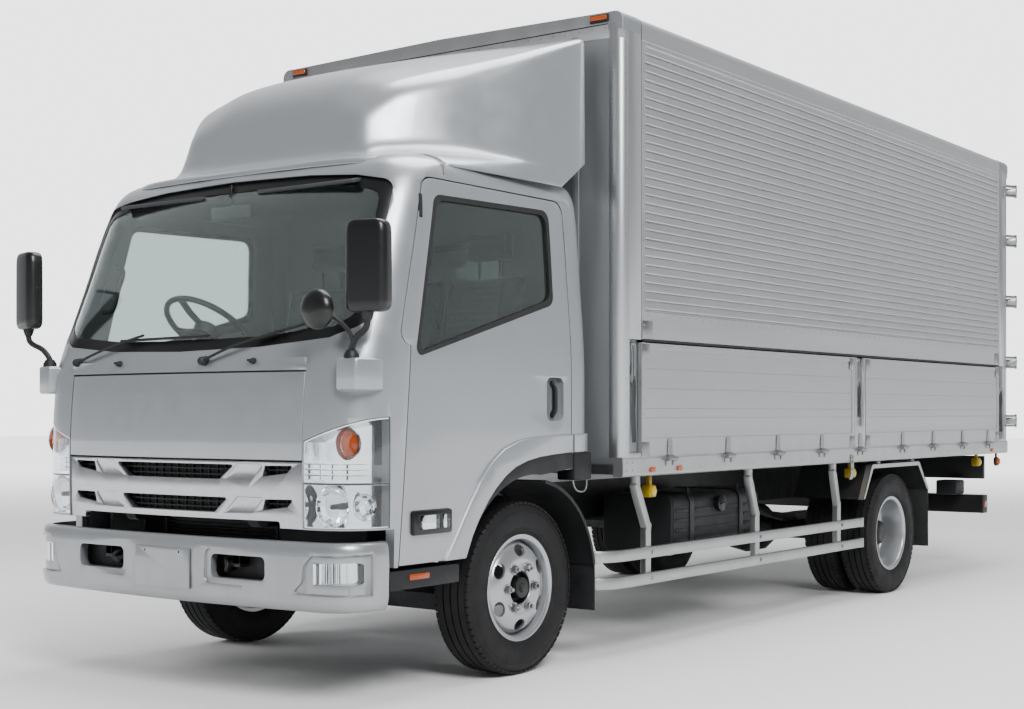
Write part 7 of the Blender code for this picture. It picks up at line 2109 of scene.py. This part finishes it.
def build_boxes():
    """Fuel tank with ribs, straps and filler, and the battery box with its lid and catches."""
    tank = bevelled(prism("Y", box_outline(0.502, 0.928, 0.427, 0.733, 0.05), 1.282, 2.218), 0.012, 3, 50)
    ribs = [block((0.922, 0.9325), span, (z - 0.009, z + 0.009), 0.003)
            for z in (0.500, 0.550, 0.600, 0.650)
            for span in ((1.31, 1.435), (1.51, 1.965), (2.04, 2.19))]
    seams = [bevelled(prism("Y", box_outline(0.499, 0.931, 0.424, 0.736, 0.052), y - 0.003, y + 0.003),
                      0.001, 1, 50) for y in (1.296, 2.204)]
    dress("tank_shell", gather([tank] + ribs + seams), "black_plastic", "chassis",
          ("fuel_tank",), ROUND)
    straps = []
    for y in (1.4725, 2.0025):
        ring = prism("Y", box_outline(0.495, 0.9355, 0.420, 0.7405, 0.054), y - 0.0215, y + 0.0215)
        straps.append(bevelled(ring, 0.0015, 1, 50))
        straps.append(block((0.4257, 0.53), (y - 0.022, y + 0.022), (0.622, 0.718), 0.003))
        straps.append(rod("Z", (0.905, y, 0), 0.006, 0.742, 0.765, 12))
        straps.append(rod("Z", (0.905, y, 0), 0.011, 0.742, 0.750, 6))
    dress("tank_straps", gather(straps), "chassis", "chassis", sharp=ROUND)
    cap = turned("X", (0.926, 1.75, 0.672),
                 [(-0.01, 0), (-0.01, 0.040), (0.012, 0.040), (0.014, 0.046), (0.034, 0.045),
                  (0.040, 0.038), (0.041, 0)], 36)
    grip = block((0.962, 0.975), (1.715, 1.785), (0.666, 0.678), 0.003)
    dress("tank_cap", gather([cap, grip]), "black_gloss", "chassis", sharp=ROUND)
    case = bevelled(prism("Y", box_outline(-0.928, -0.472, 0.462, 0.738, 0.02, 5), 1.052, 1.618), 0.006,
                    2, 50)
    hanger = block((-0.50, -0.4257), (1.152, 1.498), (0.632, 0.718), 0.003)
    ribs = [block((-0.9335, -0.925), (y - 0.008, y + 0.008), (0.50, 0.715), 0.003)
            for y in (1.12, 1.22, 1.45, 1.55)]
    dress("battery_case", gather([case, hanger] + ribs), "black_plastic", "chassis",
          ("battery_box",), ROUND)
    lid = bevelled(prism("Y", box_outline(-0.9395, -0.4605, 0.726, 0.7515, 0.01, 5), 1.041, 1.629), 0.005,
                   2, 50)
    step = [block((-0.9, -0.5), (y - 0.012, y + 0.012), (0.748, 0.756), 0.003)
            for y in (1.12, 1.22, 1.335, 1.45, 1.55)]
    dress("battery_lid", gather([lid] + step), "black_plastic", "chassis", sharp=ROUND)
    catches = [block((-0.945, -0.933), (y - 0.014, y + 0.014), (0.655, 0.742), 0.003) for y in (1.17, 1.50)]
    dress("battery_catches", gather(catches), "zinc", "chassis", sharp=ROUND)


def build_guards():
    """Front mudguards with lips and flaps; rear fenders of folded aluminium with black flaps."""
    for label, side in SIDES:
        centre = (0, 0.382)
        sheet = arc(centre, 0.4815, 8, 80, 30) + arc(centre, 0.4745, 80, 8, 30)
        guard = prism("X", sheet, *sorted((side * 0.6205, side * 0.9995)))
        rims = [prism("X", arc(centre, 0.4818, 8, 80, 30) + arc(centre, 0.466, 80, 8, 30),
                      *sorted((side * a, side * b))) for a, b in ((0.992, 0.9997), (0.6202, 0.628))]
        flap = block((side * 0.625, side * 0.995), (0.4755, 0.4805), (0.236, 0.462), 0.0015)
        ribs = [block((side * (x - 0.006), side * (x + 0.006)), (0.4800, 0.4835), (0.245, 0.42), 0.001)
                for x in (0.68, 0.745, 0.81, 0.875, 0.94)]
        clamp = block((side * 0.64, side * 0.98), (0.4795, 0.4845), (0.432, 0.452), 0.001)
        arm = block((side * 0.4257, side * 0.64), (0.303, 0.342), (0.737, 0.763), 0.004)
        dress("front_guard_" + label, gather([guard, flap, clamp, arm] + rims + ribs), "black_plastic",
              "chassis", ("front_mudguard_" + label,))
        front, rear, top, edge = 3.30, 4.36, 0.838, 1.075
        outer = rounded([(front, 0.62, 0), (front + 0.13, top, 0.03), (rear - 0.16, top, 0.03),
                         (rear, 0.64, 0)])
        inner = rounded([(rear - 0.0072, 0.64, 0), (rear - 0.1672, top - 0.006, 0.025),
                         (front + 0.1372, top - 0.006, 0.025), (front + 0.0072, 0.62, 0)])
        fender = prism("X", outer + inner, *sorted((side * 0.6, side * (edge - 0.0345))))
        deep = rounded([(rear - 0.030, 0.645, 0), (rear - 0.182, top - 0.030, 0.02),
                        (front + 0.152, top - 0.030, 0.02), (front + 0.030, 0.625, 0)])
        folds = [prism("X", outer + deep, *sorted((side * (edge - 0.003), side * edge))),
                 prism("X", outer + inner, *sorted((side * (edge - 0.034), side * edge)))]
        stays = [block((side * (edge - 0.018), side * edge), (y + 0.001, y + 0.039),
                       (top - 0.004, RAIL_LOW - 0.0003), 0.002) for y in (front + 0.22, rear - 0.30)]
        dress("fender_edge_" + label, gather(folds + stays), "extrusion", "chassis",
              ("rear_fender_" + label,), BROAD)
        low = rounded([(rear - 0.0073, 0.64, 0), (rear - 0.1673, top - 0.0062, 0.025),
                       (front + 0.1373, top - 0.0062, 0.025), (front + 0.0073, 0.62, 0)])
        deep = rounded([(front + 0.0103, 0.62, 0), (front + 0.1403, top - 0.0092, 0.025),
                        (rear - 0.1703, top - 0.0092, 0.025), (rear - 0.0103, 0.64, 0)])
        lining = prism("X", low + deep, *sorted((side * 0.605, side * (edge - 0.005))))
        flap = block((side * 0.603, side * (edge - 0.003)), (rear - 0.0118, rear - 0.0042), (0.261, 0.66),
                     0.0015)
        weight = block((side * 0.62, side * 1.06), (rear - 0.013, rear - 0.003), (0.268, 0.290), 0.001)
        dress("fender_lining_" + label, gather([fender, lining, flap, weight]), "seal", "chassis",
              sharp=BROAD)
        spots = [((side * x, rear - 0.0042, 0.648), REARWARD) for x in (0.66, 0.78, 0.90, 1.02)]
        spots += [((side * (edge + 0.0002), y, 0.846), OUTWARD[side]) for y in (3.54, 4.08)]
        screws = repeat(bolt_head(0.007, 0.005, 1.5), spots, "zinc", 1.0, 13)
        dress("fender_screws_" + label, screws, "zinc", "chassis", sharp=ROUND)


def side_x(y, z):
    """Where the cab's side is at a station and height."""
    ring = [point for point in cab_ring(z, 0) if point[0] > 0 and point[1] < 0.2]
    for first, second in zip(ring, ring[1:]):
        if first[1] <= y < second[1]:
            return first[0] + (second[0] - first[0]) * (y - first[1]) / (second[1] - first[1])
    raise RuntimeError("no cab side there")


CREASE_LINE = [(-0.607, 0.551), (-0.555, 0.625), (-0.492, 0.717), (-0.440, 0.792), (-0.385, 0.862),
               (-0.300, 0.946), (-0.213, 1.001), (-0.100, 1.035), (0.018, 1.050), (0.150, 1.056),
               (0.2955, 1.058)]
PAINT_LINE = [(-0.4715, 0.551), (-0.430, 0.640), (-0.385, 0.710), (-0.330, 0.778), (-0.275, 0.832),
              (-0.205, 0.884), (-0.137, 0.919), (-0.050, 0.944), (0.046, 0.959), (0.160, 0.968),
              (0.2955, 0.974)]
DOOR_EDGE_LINE = [(0.2955, 0.903), (0.060, 0.8805)] + arc((0, 0.382), 0.5015, 83, 160.2, 16)


def flare(side, outline, rise):
    """A raised band that follows the cab's side inside an outline, with a softened rim."""
    band = slice_of_cab(rise, 0.004, through_side(side, outline, 0.85))
    return bevelled(band, 0.006, 3, 50)


def build_steps():
    """Cab steps with treads, strip lamps, door lamps, and the blocks with handles behind the doors."""
    for label, side in SIDES:
        frame_part = prism("X", rounded([(-0.928, 0.457, 0.012), (-0.502, 0.457, 0.012),
                                         (-0.502, 0.533, 0.012), (-0.928, 0.533, 0.012)], 5),
                           *sorted((side * 0.762, side * 0.984)))
        cut(frame_part, block((side * 0.785, side * 0.962), (-0.90, -0.53), (0.522, 0.6)))
        bevelled(frame_part, 0.003, 2, 50)
        bars = [block((side * 0.780, side * 0.966), (y - 0.005, y + 0.005), (0.515, 0.5335), 0.0015)
                for y in (-0.870, -0.835, -0.800, -0.765, -0.730, -0.695, -0.660, -0.625, -0.590, -0.555)]
        hanger = block((side * 0.772, side * 0.798), (-0.858, -0.602), (0.522, 0.8995), 0.004)
        dress("step_tread_" + label, gather([frame_part, hanger] + bars), "black_plastic", "cab",
              ("step_" + label,))
        strip = block((side * 0.982, side * 0.989), (-0.815, -0.695), (0.490, 0.514), 0.003)
        dress("step_strip_" + label, strip, "amber", "cab", sharp=ROUND)
        x = side_x(-0.69, 0.72)
        door = "cab_door_" + label
        bezel = block((side * (x - 0.012), side * (x + 0.020)), (-0.811, -0.569), (0.667, 0.766), 0.012)
        cut(bezel, block((side * (x + 0.004), side * (x + 0.1)), (-0.775, -0.652), (0.690, 0.745)),
            block((side * (x + 0.004), side * (x + 0.1)), (-0.636, -0.584), (0.690, 0.745)))
        dress("door_lamp_bezel_" + label, bezel, "black_gloss", door, sharp=ROUND)
        bowls = [block((side * (x + 0.003), side * (x + 0.006)), span, (0.688, 0.747), 0.002)
                 for span in ((-0.778, -0.648), (-0.613, -0.582))]
        dress("door_lamp_bowl_" + label, gather(bowls), "reflector", door, sharp=ROUND)
        lens = [block((side * (x + 0.014), side * (x + 0.0185)), span, (0.689, 0.746), 0.002)
                for span in ((-0.776, -0.651), (-0.637, -0.583))]
        dress("door_lamp_lens_" + label, gather(lens), "clear", door, sharp=ROUND)
        bulb = block((side * (x + 0.004), side * (x + 0.010)), (-0.634, -0.618), (0.692, 0.743), 0.002)
        dress("door_lamp_amber_" + label, bulb, "amber", door, sharp=ROUND)
        dress("arch_flare_" + label, flare(side, CREASE_LINE + PAINT_LINE[::-1], -0.014), "cab_paint",
              door, sharp=ROUND)
        dress("arch_lip_" + label, flare(side, PAINT_LINE + DOOR_EDGE_LINE, -0.008), "black_plastic",
              door, sharp=ROUND)
        rear = flare(side, [(0.3045, 1.058), (0.446, 1.060), (0.446, 0.978), (0.3045, 0.976)], -0.014)
        dress("corner_flare_" + label, rear, "cab_paint", "cab", sharp=ROUND)
        x = side_x(0.10, 0.92)
        corner = block((side * 0.90, side * (x + 0.012)), (0.306, 0.447), (0.846, 0.974), 0.010)
        dress("corner_block_" + label, corner, "black_plastic", "cab", sharp=ROUND)
        loop = swept(smooth_path([(side * 0.975, 0.325, 0.852), (side * 0.975, 0.345, 0.810),
                                  (side * 0.975, 0.385, 0.792), (side * 0.975, 0.432, 0.800),
                                  (side * 0.975, 0.440, 0.852)], 6), round_section(0.0042, 12))
        dress("corner_handle_" + label, loop, "zinc", "cab", sharp=ROUND)


def build_floor():
    """Hardwood boards over the load floor."""
    boards = []
    pitch = 2.06 / 16
    for at in range(16):
        low = -1.03 + at * pitch
        boards.append(block((low + 0.0012, low + pitch - 0.0012), (0.614, 5.763), (0.9470, 0.9483)))
    dress("floor_boards", gather(boards), "boards", "chassis")


# Cab interior

SWELL_LIMIT = 0.024
SEATS = (("driver", (-0.76, -0.24), ((-0.50, 0.52),)),
         ("bench", (-0.20, 0.76), ((0.04, 0.48), (0.52, 0.48))))


def swollen(form):
    """Swell a closed form into a pad: skin it, press it outwards as cloth and hold back what moves far."""
    skin = form.modifiers.new("skin", "REMESH")
    skin.mode = "VOXEL"
    skin.voxel_size = 0.006
    settle(form)
    start = [point.co.copy() for point in form.data.vertices]
    step = form.modifiers.new("cloth", "CLOTH")
    step.settings.quality = 3
    step.settings.use_pressure = True
    step.settings.uniform_pressure_force = 4
    step.settings.effector_weights.gravity = 0
    step.point_cache.frame_start = 1
    step.point_cache.frame_end = 20
    for frame in range(1, 21):
        bpy.context.scene.frame_set(frame)
        bpy.context.view_layer.update()
    settle(form)
    bpy.context.scene.frame_set(1)
    for point, before in zip(form.data.vertices, start):
        move = point.co - before
        if move.length > SWELL_LIMIT:
            point.co = before + move * (SWELL_LIMIT / move.length)
    return form


def pad_form(outline, low, high, round_off):
    """A pad's form before it swells."""
    return bevelled(prism("X", outline, low, high), round_off, 4, 20)


def piping(pad, path, radius=0.0035):
    """A sewn seam drawn to a pad's surface along a path."""
    work = bmesh.new()
    work.from_mesh(pad.data)
    tree = BVHTree.FromBMesh(work)
    spots = [tree.find_nearest(Vector(point))[0] for point in path]
    work.free()
    return swept(spots, round_section(radius, 8))


def build_seats():
    """Driver's seat and bench: swollen cushions, backs and headrests with piped seams on black stands."""
    for name, (low, high), places in SEATS:
        node = "seat_" + name
        cushion_line = rounded([(-0.335, 1.162, 0.03), (0.085, 1.162, 0.03), (0.070, 1.262, 0.03),
                                (-0.335, 1.268, 0.045)])
        cushion = swollen(pad_form(cushion_line, low + 0.014, high - 0.014, 0.022))
        seams = [piping(cushion, [(low + 0.03 + (high - low - 0.06) * at / 24, y, 1.30)
                                  for at in range(25)]) for y in (-0.300, 0.030)]
        edges = [x + end * (width / 2 - 0.075) for x, width in places for end in (-1, 1)]
        seams += [piping(cushion, [(x, -0.34 + 0.40 * at / 16, 1.32) for at in range(17)]) for x in edges]
        dress("cushion_" + name, cushion, "cloth", "cab", (node,), 60)
        backs = []
        for x, width in places:
            line = rounded([(0.118, 1.285, 0.03), (0.222, 1.255, 0.03), (0.300, 1.795, 0.03),
                            (0.225, 1.800, 0.04)])
            backs.append(pad_form(line, x - width / 2 + 0.014, x + width / 2 - 0.014, 0.020))
        back = swollen(gather(backs))
        for x, width in places:
            for end in (-1, 1):
                seams.append(piping(back,
                                    [(x + end * (width / 2 - 0.085), 0.06 + 0.12 * at / 20,
                                      1.30 + 0.48 * at / 20) for at in range(21)]))
        dress("back_" + name, back, "cloth", "cab", (), 60)
        heads = []
        for x, width in places:
            line = rounded([(0.252, 1.872, 0.03), (0.330, 1.872, 0.03), (0.338, 2.005, 0.03),
                            (0.262, 2.008, 0.03)], 5)
            heads.append(pad_form(line, x - 0.118, x + 0.118, 0.016))
        head = swollen(gather(heads))
        dress("headrest_" + name, head, "cloth", "cab", (), 60)
        dress("seat_piping_" + name, gather(seams), "seal", "cab", (), 60)
        stand = [block((low + 0.02, high - 0.02), (-0.30, 0.17), (1.138, 1.160), 0.006),
                 block((low + 0.04, high - 0.04), (-0.24, 0.14), (1.100, 1.140),
                       0.004) if name == "driver" else block((0.40, high - 0.04), (-0.24, 0.14),
                                                             (0.9503, 1.140), 0.006)]
        if name == "driver":
            stand.append(block((low + 0.03, -0.40), (-0.24, 0.14), (0.9503, 1.105), 0.006))
        for x, width in places:
            stand += [rod("Z", (x + step, 0.290, 0), 0.006, 1.79, 1.90, 12) for step in (-0.06, 0.06)]
        dress("seat_stand_" + name, gather(stand), "black_plastic", "cab", sharp=ROUND)


def build_dashboard():
    """Dashboard with its hood, vents and glovebox, and the steering wheel on its column."""
    outline = rounded([(-1.20, 1.03, 0), (-0.80, 1.03, 0.03), (-0.66, 1.16, 0.04), (-0.62, 1.34, 0.04),
                       (-0.74, 1.40, 0.04), (-1.20, 1.385, 0)])
    board = prism("X", outline, -0.89, 0.89)
    keep(board, cab_solid(0.081, 0.03, 0.6))
    cut(board, block((-1, 1), (-1.3, -1.0447), (0.9, 1.5)),
        block((0.14, 0.72), (-0.66, -0.50), (1.19, 1.196)),
        block((0.14, 0.72), (-0.68, -0.50), (1.315, 1.320)),
        block((-0.13, 0.10), (-0.66, -0.50), (1.20, 1.33)))
    bevelled(board, 0.002, 1, 50)
    dress("dash_board", board, "dash", "cab", ("dashboard",))
    hood = prism("X", rounded([(-0.93, 1.392, 0.0), (-0.70, 1.392, 0.02), (-0.665, 1.428, 0.012),
                               (-0.74, 1.455, 0.03), (-0.93, 1.418, 0.0)], 5), -0.70, -0.30)
    screen = [block((-0.125, 0.095), (-0.668, -0.640), (1.205, 1.325), 0.004)]
    screen += [block((x - 0.055, x + 0.055), (-0.640, -0.612), (1.275, 1.325), 0.006)
               for x in (-0.80, 0.80)]
    dress("dash_hood", gather([bevelled(hood, 0.006, 2, 40)] + screen), "black_gloss", "cab")
    turn = Matrix.Translation((-0.50, -0.53, 1.545)) @ Matrix.Rotation(math.radians(-38), 4, "X")
    section = [(0.0142 * math.sin(math.radians(at * 22.5)),
                0.215 + 0.0138 * math.cos(math.radians(at * 22.5))) for at in range(16)]
    parts = [turned("Z", (0, 0, 0), section, 64, True), rod("Z", (0, 0, 0), 0.030, -0.42, -0.04),
             turned("Z", (0, 0, 0), [(-0.048, 0), (-0.048, 0.060), (-0.006, 0.068), (0.006, 0.056),
                                     (0.010, 0)], 32)]
    for end in ((-0.207, 0.0), (0.207, 0.0), (0.0, -0.207)):
        spoke = smooth_path([(end[0] * 0.2, end[1] * 0.2, -0.012), (end[0] * 0.6, end[1] * 0.6, -0.014),
                             (end[0], end[1], -0.002)], 4)
        parts.append(swept(spoke, [(-0.019, -0.006), (0.019, -0.006), (0.017, 0.006), (-0.017, 0.006)]))
    wheel = gather(parts)
    wheel.data.transform(turn)
    dress("steering_wheel", wheel, "black_gloss", "cab", sharp=ROUND)


def build_fittings():
    """Interior mirror, sun visors and the grab handles on the pillars."""
    stem = swept(smooth_path([(0, -0.845, 2.135), (0, -0.850, 2.09), (0, -0.835, 2.045)], 5),
                 round_section(0.007, 12))
    shell = block((-0.125, 0.125), (-0.852, -0.830), (1.985, 2.048), 0.010)
    dress("inner_mirror", gather([stem, shell]), "black_gloss", "cab", sharp=ROUND)
    face = block((-0.117, 0.117), (-0.832, -0.829), (1.993, 2.040), 0.001)
    dress("inner_mirror_face", face, "mirror", "cab", sharp=ROUND)
    visors = []
    for low, high in ((-0.72, -0.17), (0.17, 0.72)):
        line = rounded([(-0.86, 2.082, 0.006), (-0.70, 2.118, 0.006), (-0.704, 2.134, 0.006),
                        (-0.864, 2.098, 0.006)], 4)
        visors.append(bevelled(prism("X", line, low, high), 0.004, 2, 40))
    dress("sun_visors", gather(visors), "dash", "cab", sharp=ROUND)
    for label, side in SIDES:
        slot = rounded([(-0.722, 1.942, 0.004), (-0.706, 1.940, 0.004), (-0.696, 2.038, 0.004),
                        (-0.712, 2.040, 0.004)], 4)
        vent = slice_of_cab(-0.002, 0.004, through_side(side, slot))
        dress("pillar_vent_" + label, vent, "black_plastic", "cab", sharp=ROUND)
        x = side * 0.845
        grab = swept(smooth_path([(x, -0.860, 1.615), (x - side * 0.035, -0.830, 1.630),
                                  (x - side * 0.035, -0.800, 1.72), (x - side * 0.040, -0.775, 1.81),
                                  (x - side * 0.010, -0.800, 1.830)]), round_section(0.010, 12))
        dress("grab_handle_" + label, grab, "black_plastic", "cab", sharp=ROUND)


# Stage

def build_stage():
    """Pale floor, four soft lamps, a backdrop and the camera at the photograph's place."""
    floor = solid_from([(x * FLOOR_HALF, y * FLOOR_HALF, 0)
                        for x, y in ((-1, -1), (1, -1), (1, 1), (-1, 1))], [(0, 1, 2, 3)])
    floor.name = "studio_floor"
    floor.data.transform(Matrix.Translation((0, 0, -FLOOR_DROP)))
    floor.data.materials.append(MATERIALS["floor"])
    floor.visible_diffuse = False
    for name, spot, size, power, shows in STAGE_LAMPS:
        lamp = bpy.data.lights.new(name, "AREA")
        lamp.shape = "DISK"
        lamp.size = size
        lamp.energy = power
        holder = bpy.data.objects.new(name, lamp)
        holder.location = spot
        holder.rotation_euler = (LAMP_AIM - Vector(spot)).to_track_quat("-Z", "Y").to_euler()
        holder.visible_glossy = holder.visible_transmission = shows
        bpy.context.scene.collection.objects.link(holder)
    world = bpy.data.worlds.new("studio")
    world.use_nodes = True
    tree = world.node_tree
    where = add(tree, "ShaderNodeTexCoord").outputs["Generated"]
    ahead = (-math.sin(CAMERA_TURN), math.cos(CAMERA_TURN), 0.0)
    facing = add(tree, "ShaderNodeVectorMath", {"operation": "DOT_PRODUCT"},
                 {0: where, 1: ahead}).outputs["Value"]
    ramp = add(tree, "ShaderNodeMapRange", {"interpolation_type": "SMOOTHSTEP"},
               {"Value": facing, "From Min": BACKDROP_FACING[0], "From Max": BACKDROP_FACING[1],
                "To Min": BACKDROP_LIGHT[0], "To Max": BACKDROP_LIGHT[1]}).outputs["Result"]
    sky = tree.nodes["Background"]
    sky.inputs["Color"].default_value = linear(BACKDROP_COLOUR)
    path = add(tree, "ShaderNodeLightPath").outputs
    seen = add(tree, "ShaderNodeMath", {"operation": "MAXIMUM"},
               {0: path["Is Camera Ray"], 1: path["Is Transmission Ray"]})
    tree.links.new(add(tree, "ShaderNodeMath", {"operation": "MULTIPLY_ADD"},
                       {0: seen.outputs["Value"], 1: BACKDROP_SEEN, 2: ramp}).outputs["Value"],
                   sky.inputs["Strength"])
    bpy.context.scene.world = world
    lens = bpy.data.cameras.new("camera")
    lens.lens = CAMERA_LENS
    lens.shift_x, lens.shift_y = CAMERA_SHIFT
    lens.clip_end = CAMERA_FAR
    eye = bpy.data.objects.new("camera", lens)
    eye.location = CAMERA_SPOT
    eye.rotation_euler = (math.pi / 2, 0, CAMERA_TURN)
    bpy.context.scene.collection.objects.link(eye)
    bpy.context.scene.camera = eye


NODE_FINISH = {
    "chassis": ("chassis_frame", "rear_axle", "underride_bar"),
    "cast": ("front_axle", "knuckle_left", "knuckle_right", "power_unit"),
    "black_plastic": ("fuel_tank", "battery_box", "front_mudguard_left", "front_mudguard_right",
                      "mirror_left", "mirror_right", "step_left", "step_right"),
    "dash": ("dashboard",),
    "cab_paint": ("bumper", "front_lid", "cab_shell", "door_left", "door_right", "roof_deflector"),
    "extrusion": ("side_guard_left", "side_guard_right", "rear_fender_left", "rear_fender_right",
                  "deck"),
    "wall_sheet": ("front_wall",),
    "post": ("body_portal", "centre_post_left", "centre_post_right", "rear_door_left",
             "rear_door_right"),
    "corrugated": ("wing_left", "wing_right", "gate_front_left", "gate_front_right", "gate_rear_left",
                   "gate_rear_right"),
    "red": ("rear_lamp_bar",),
    "chrome": ("grille",),
    "clear": ("headlamp_left", "headlamp_right"),
    "glass": ("windscreen", "rear_window"),
    "door_glass": ("door_glass_left", "door_glass_right"),
    "cloth": ("seat_driver", "seat_bench"),
    "rim": ("wheel_front_left", "wheel_front_right", "wheel_rear_left", "wheel_rear_right"),
    "tyre": ("tyre_front_left", "tyre_front_right", "tyre_rear_left_outer", "tyre_rear_left_inner",
             "tyre_rear_right_outer", "tyre_rear_right_inner"),
}


def build_repaint():
    """Give every CAD node its better material."""
    for material, nodes in NODE_FINISH.items():
        for node in nodes:
            repaint(node, material)


# Operators

def operator(name, label, text, *steps):
    """One operator class that runs the build steps."""

    def execute(self, context):
        for step in steps:
            step()
        return {"FINISHED"}

    return type("TRUCK_OT_" + name, (bpy.types.Operator,),
                {"bl_idname": "truck." + name, "bl_label": label, "__doc__": text, "execute": execute})


OPERATORS = (
    operator("finishes", "Finish the nodes", "Give the frame's nodes their materials", build_repaint),
    operator("cab", "Build the cab", "Build the cab's body, doors, lid and glass",
             build_cab_shell, build_lid, build_doors, build_glass),
    operator("deflector", "Build the deflector", "Build the roof deflector", build_deflector),
    operator("wheels", "Build the wheels", "Build the wheels, their nuts and the tyres", build_wheels),
    operator("front", "Build the front", "Build the grille, bumper, lamps, mirrors and wipers",
             build_grille, build_bumper, build_headlamps, build_mirrors, build_wipers),
    operator("body", "Build the load body", "Build the wings, walls, drop sides and their hardware",
             build_wings, build_front_wall, build_gates, build_deck_trim, build_side_guards),
    operator("rear", "Build the rear", "Build the rear frame, doors, lamps and underride bar",
             build_rear_frame, build_rear_doors, build_tail),
    operator("underbody", "Build the underbody", "Build the tank, boxes, guards, steps and floor boards",
             build_boxes, build_guards, build_steps, build_floor),
    operator("interior", "Build the interior", "Build the seats, dashboard and what hangs in the cab",
             build_seats, build_dashboard, build_fittings),
    operator("stage", "Build the stage", "Build the floor, the lights and the camera", build_stage),
)


class TRUCK_PT_panel(bpy.types.Panel):
    """Lists the build steps."""

    bl_label = "Truck"
    bl_space_type = "VIEW_3D"
    bl_region_type = "UI"
    bl_category = "Truck"

    def draw(self, context):
        for group in (context.scene.truck_colours, context.scene.truck_sizes):
            for key in group.bl_rna.properties.keys():
                if key not in ("rna_type", "name"):
                    self.layout.prop(group, key)
        for made in OPERATORS:
            self.layout.operator(made.bl_idname)


CLASSES = (TruckColours, TruckSizes) + OPERATORS + (TRUCK_PT_panel,)


def register():
    """Add the classes and their settings to Blender."""
    for made in CLASSES:
        bpy.utils.register_class(made)
    bpy.types.Scene.truck_colours = bpy.props.PointerProperty(type=TruckColours)
    bpy.types.Scene.truck_sizes = bpy.props.PointerProperty(type=TruckSizes)


def unregister():
    """Take the classes and their settings away again."""
    del bpy.types.Scene.truck_sizes
    del bpy.types.Scene.truck_colours
    for made in reversed(CLASSES):
        bpy.utils.unregister_class(made)


def main():
    """Run every build step in turn and write the sizes."""
    register()
    make_materials(bpy.context.scene.truck_colours)
    for made in OPERATORS:
        group, name = made.bl_idname.split(".")
        getattr(getattr(bpy.ops, group), name)()
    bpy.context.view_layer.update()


if __name__ == "__main__":
    main()
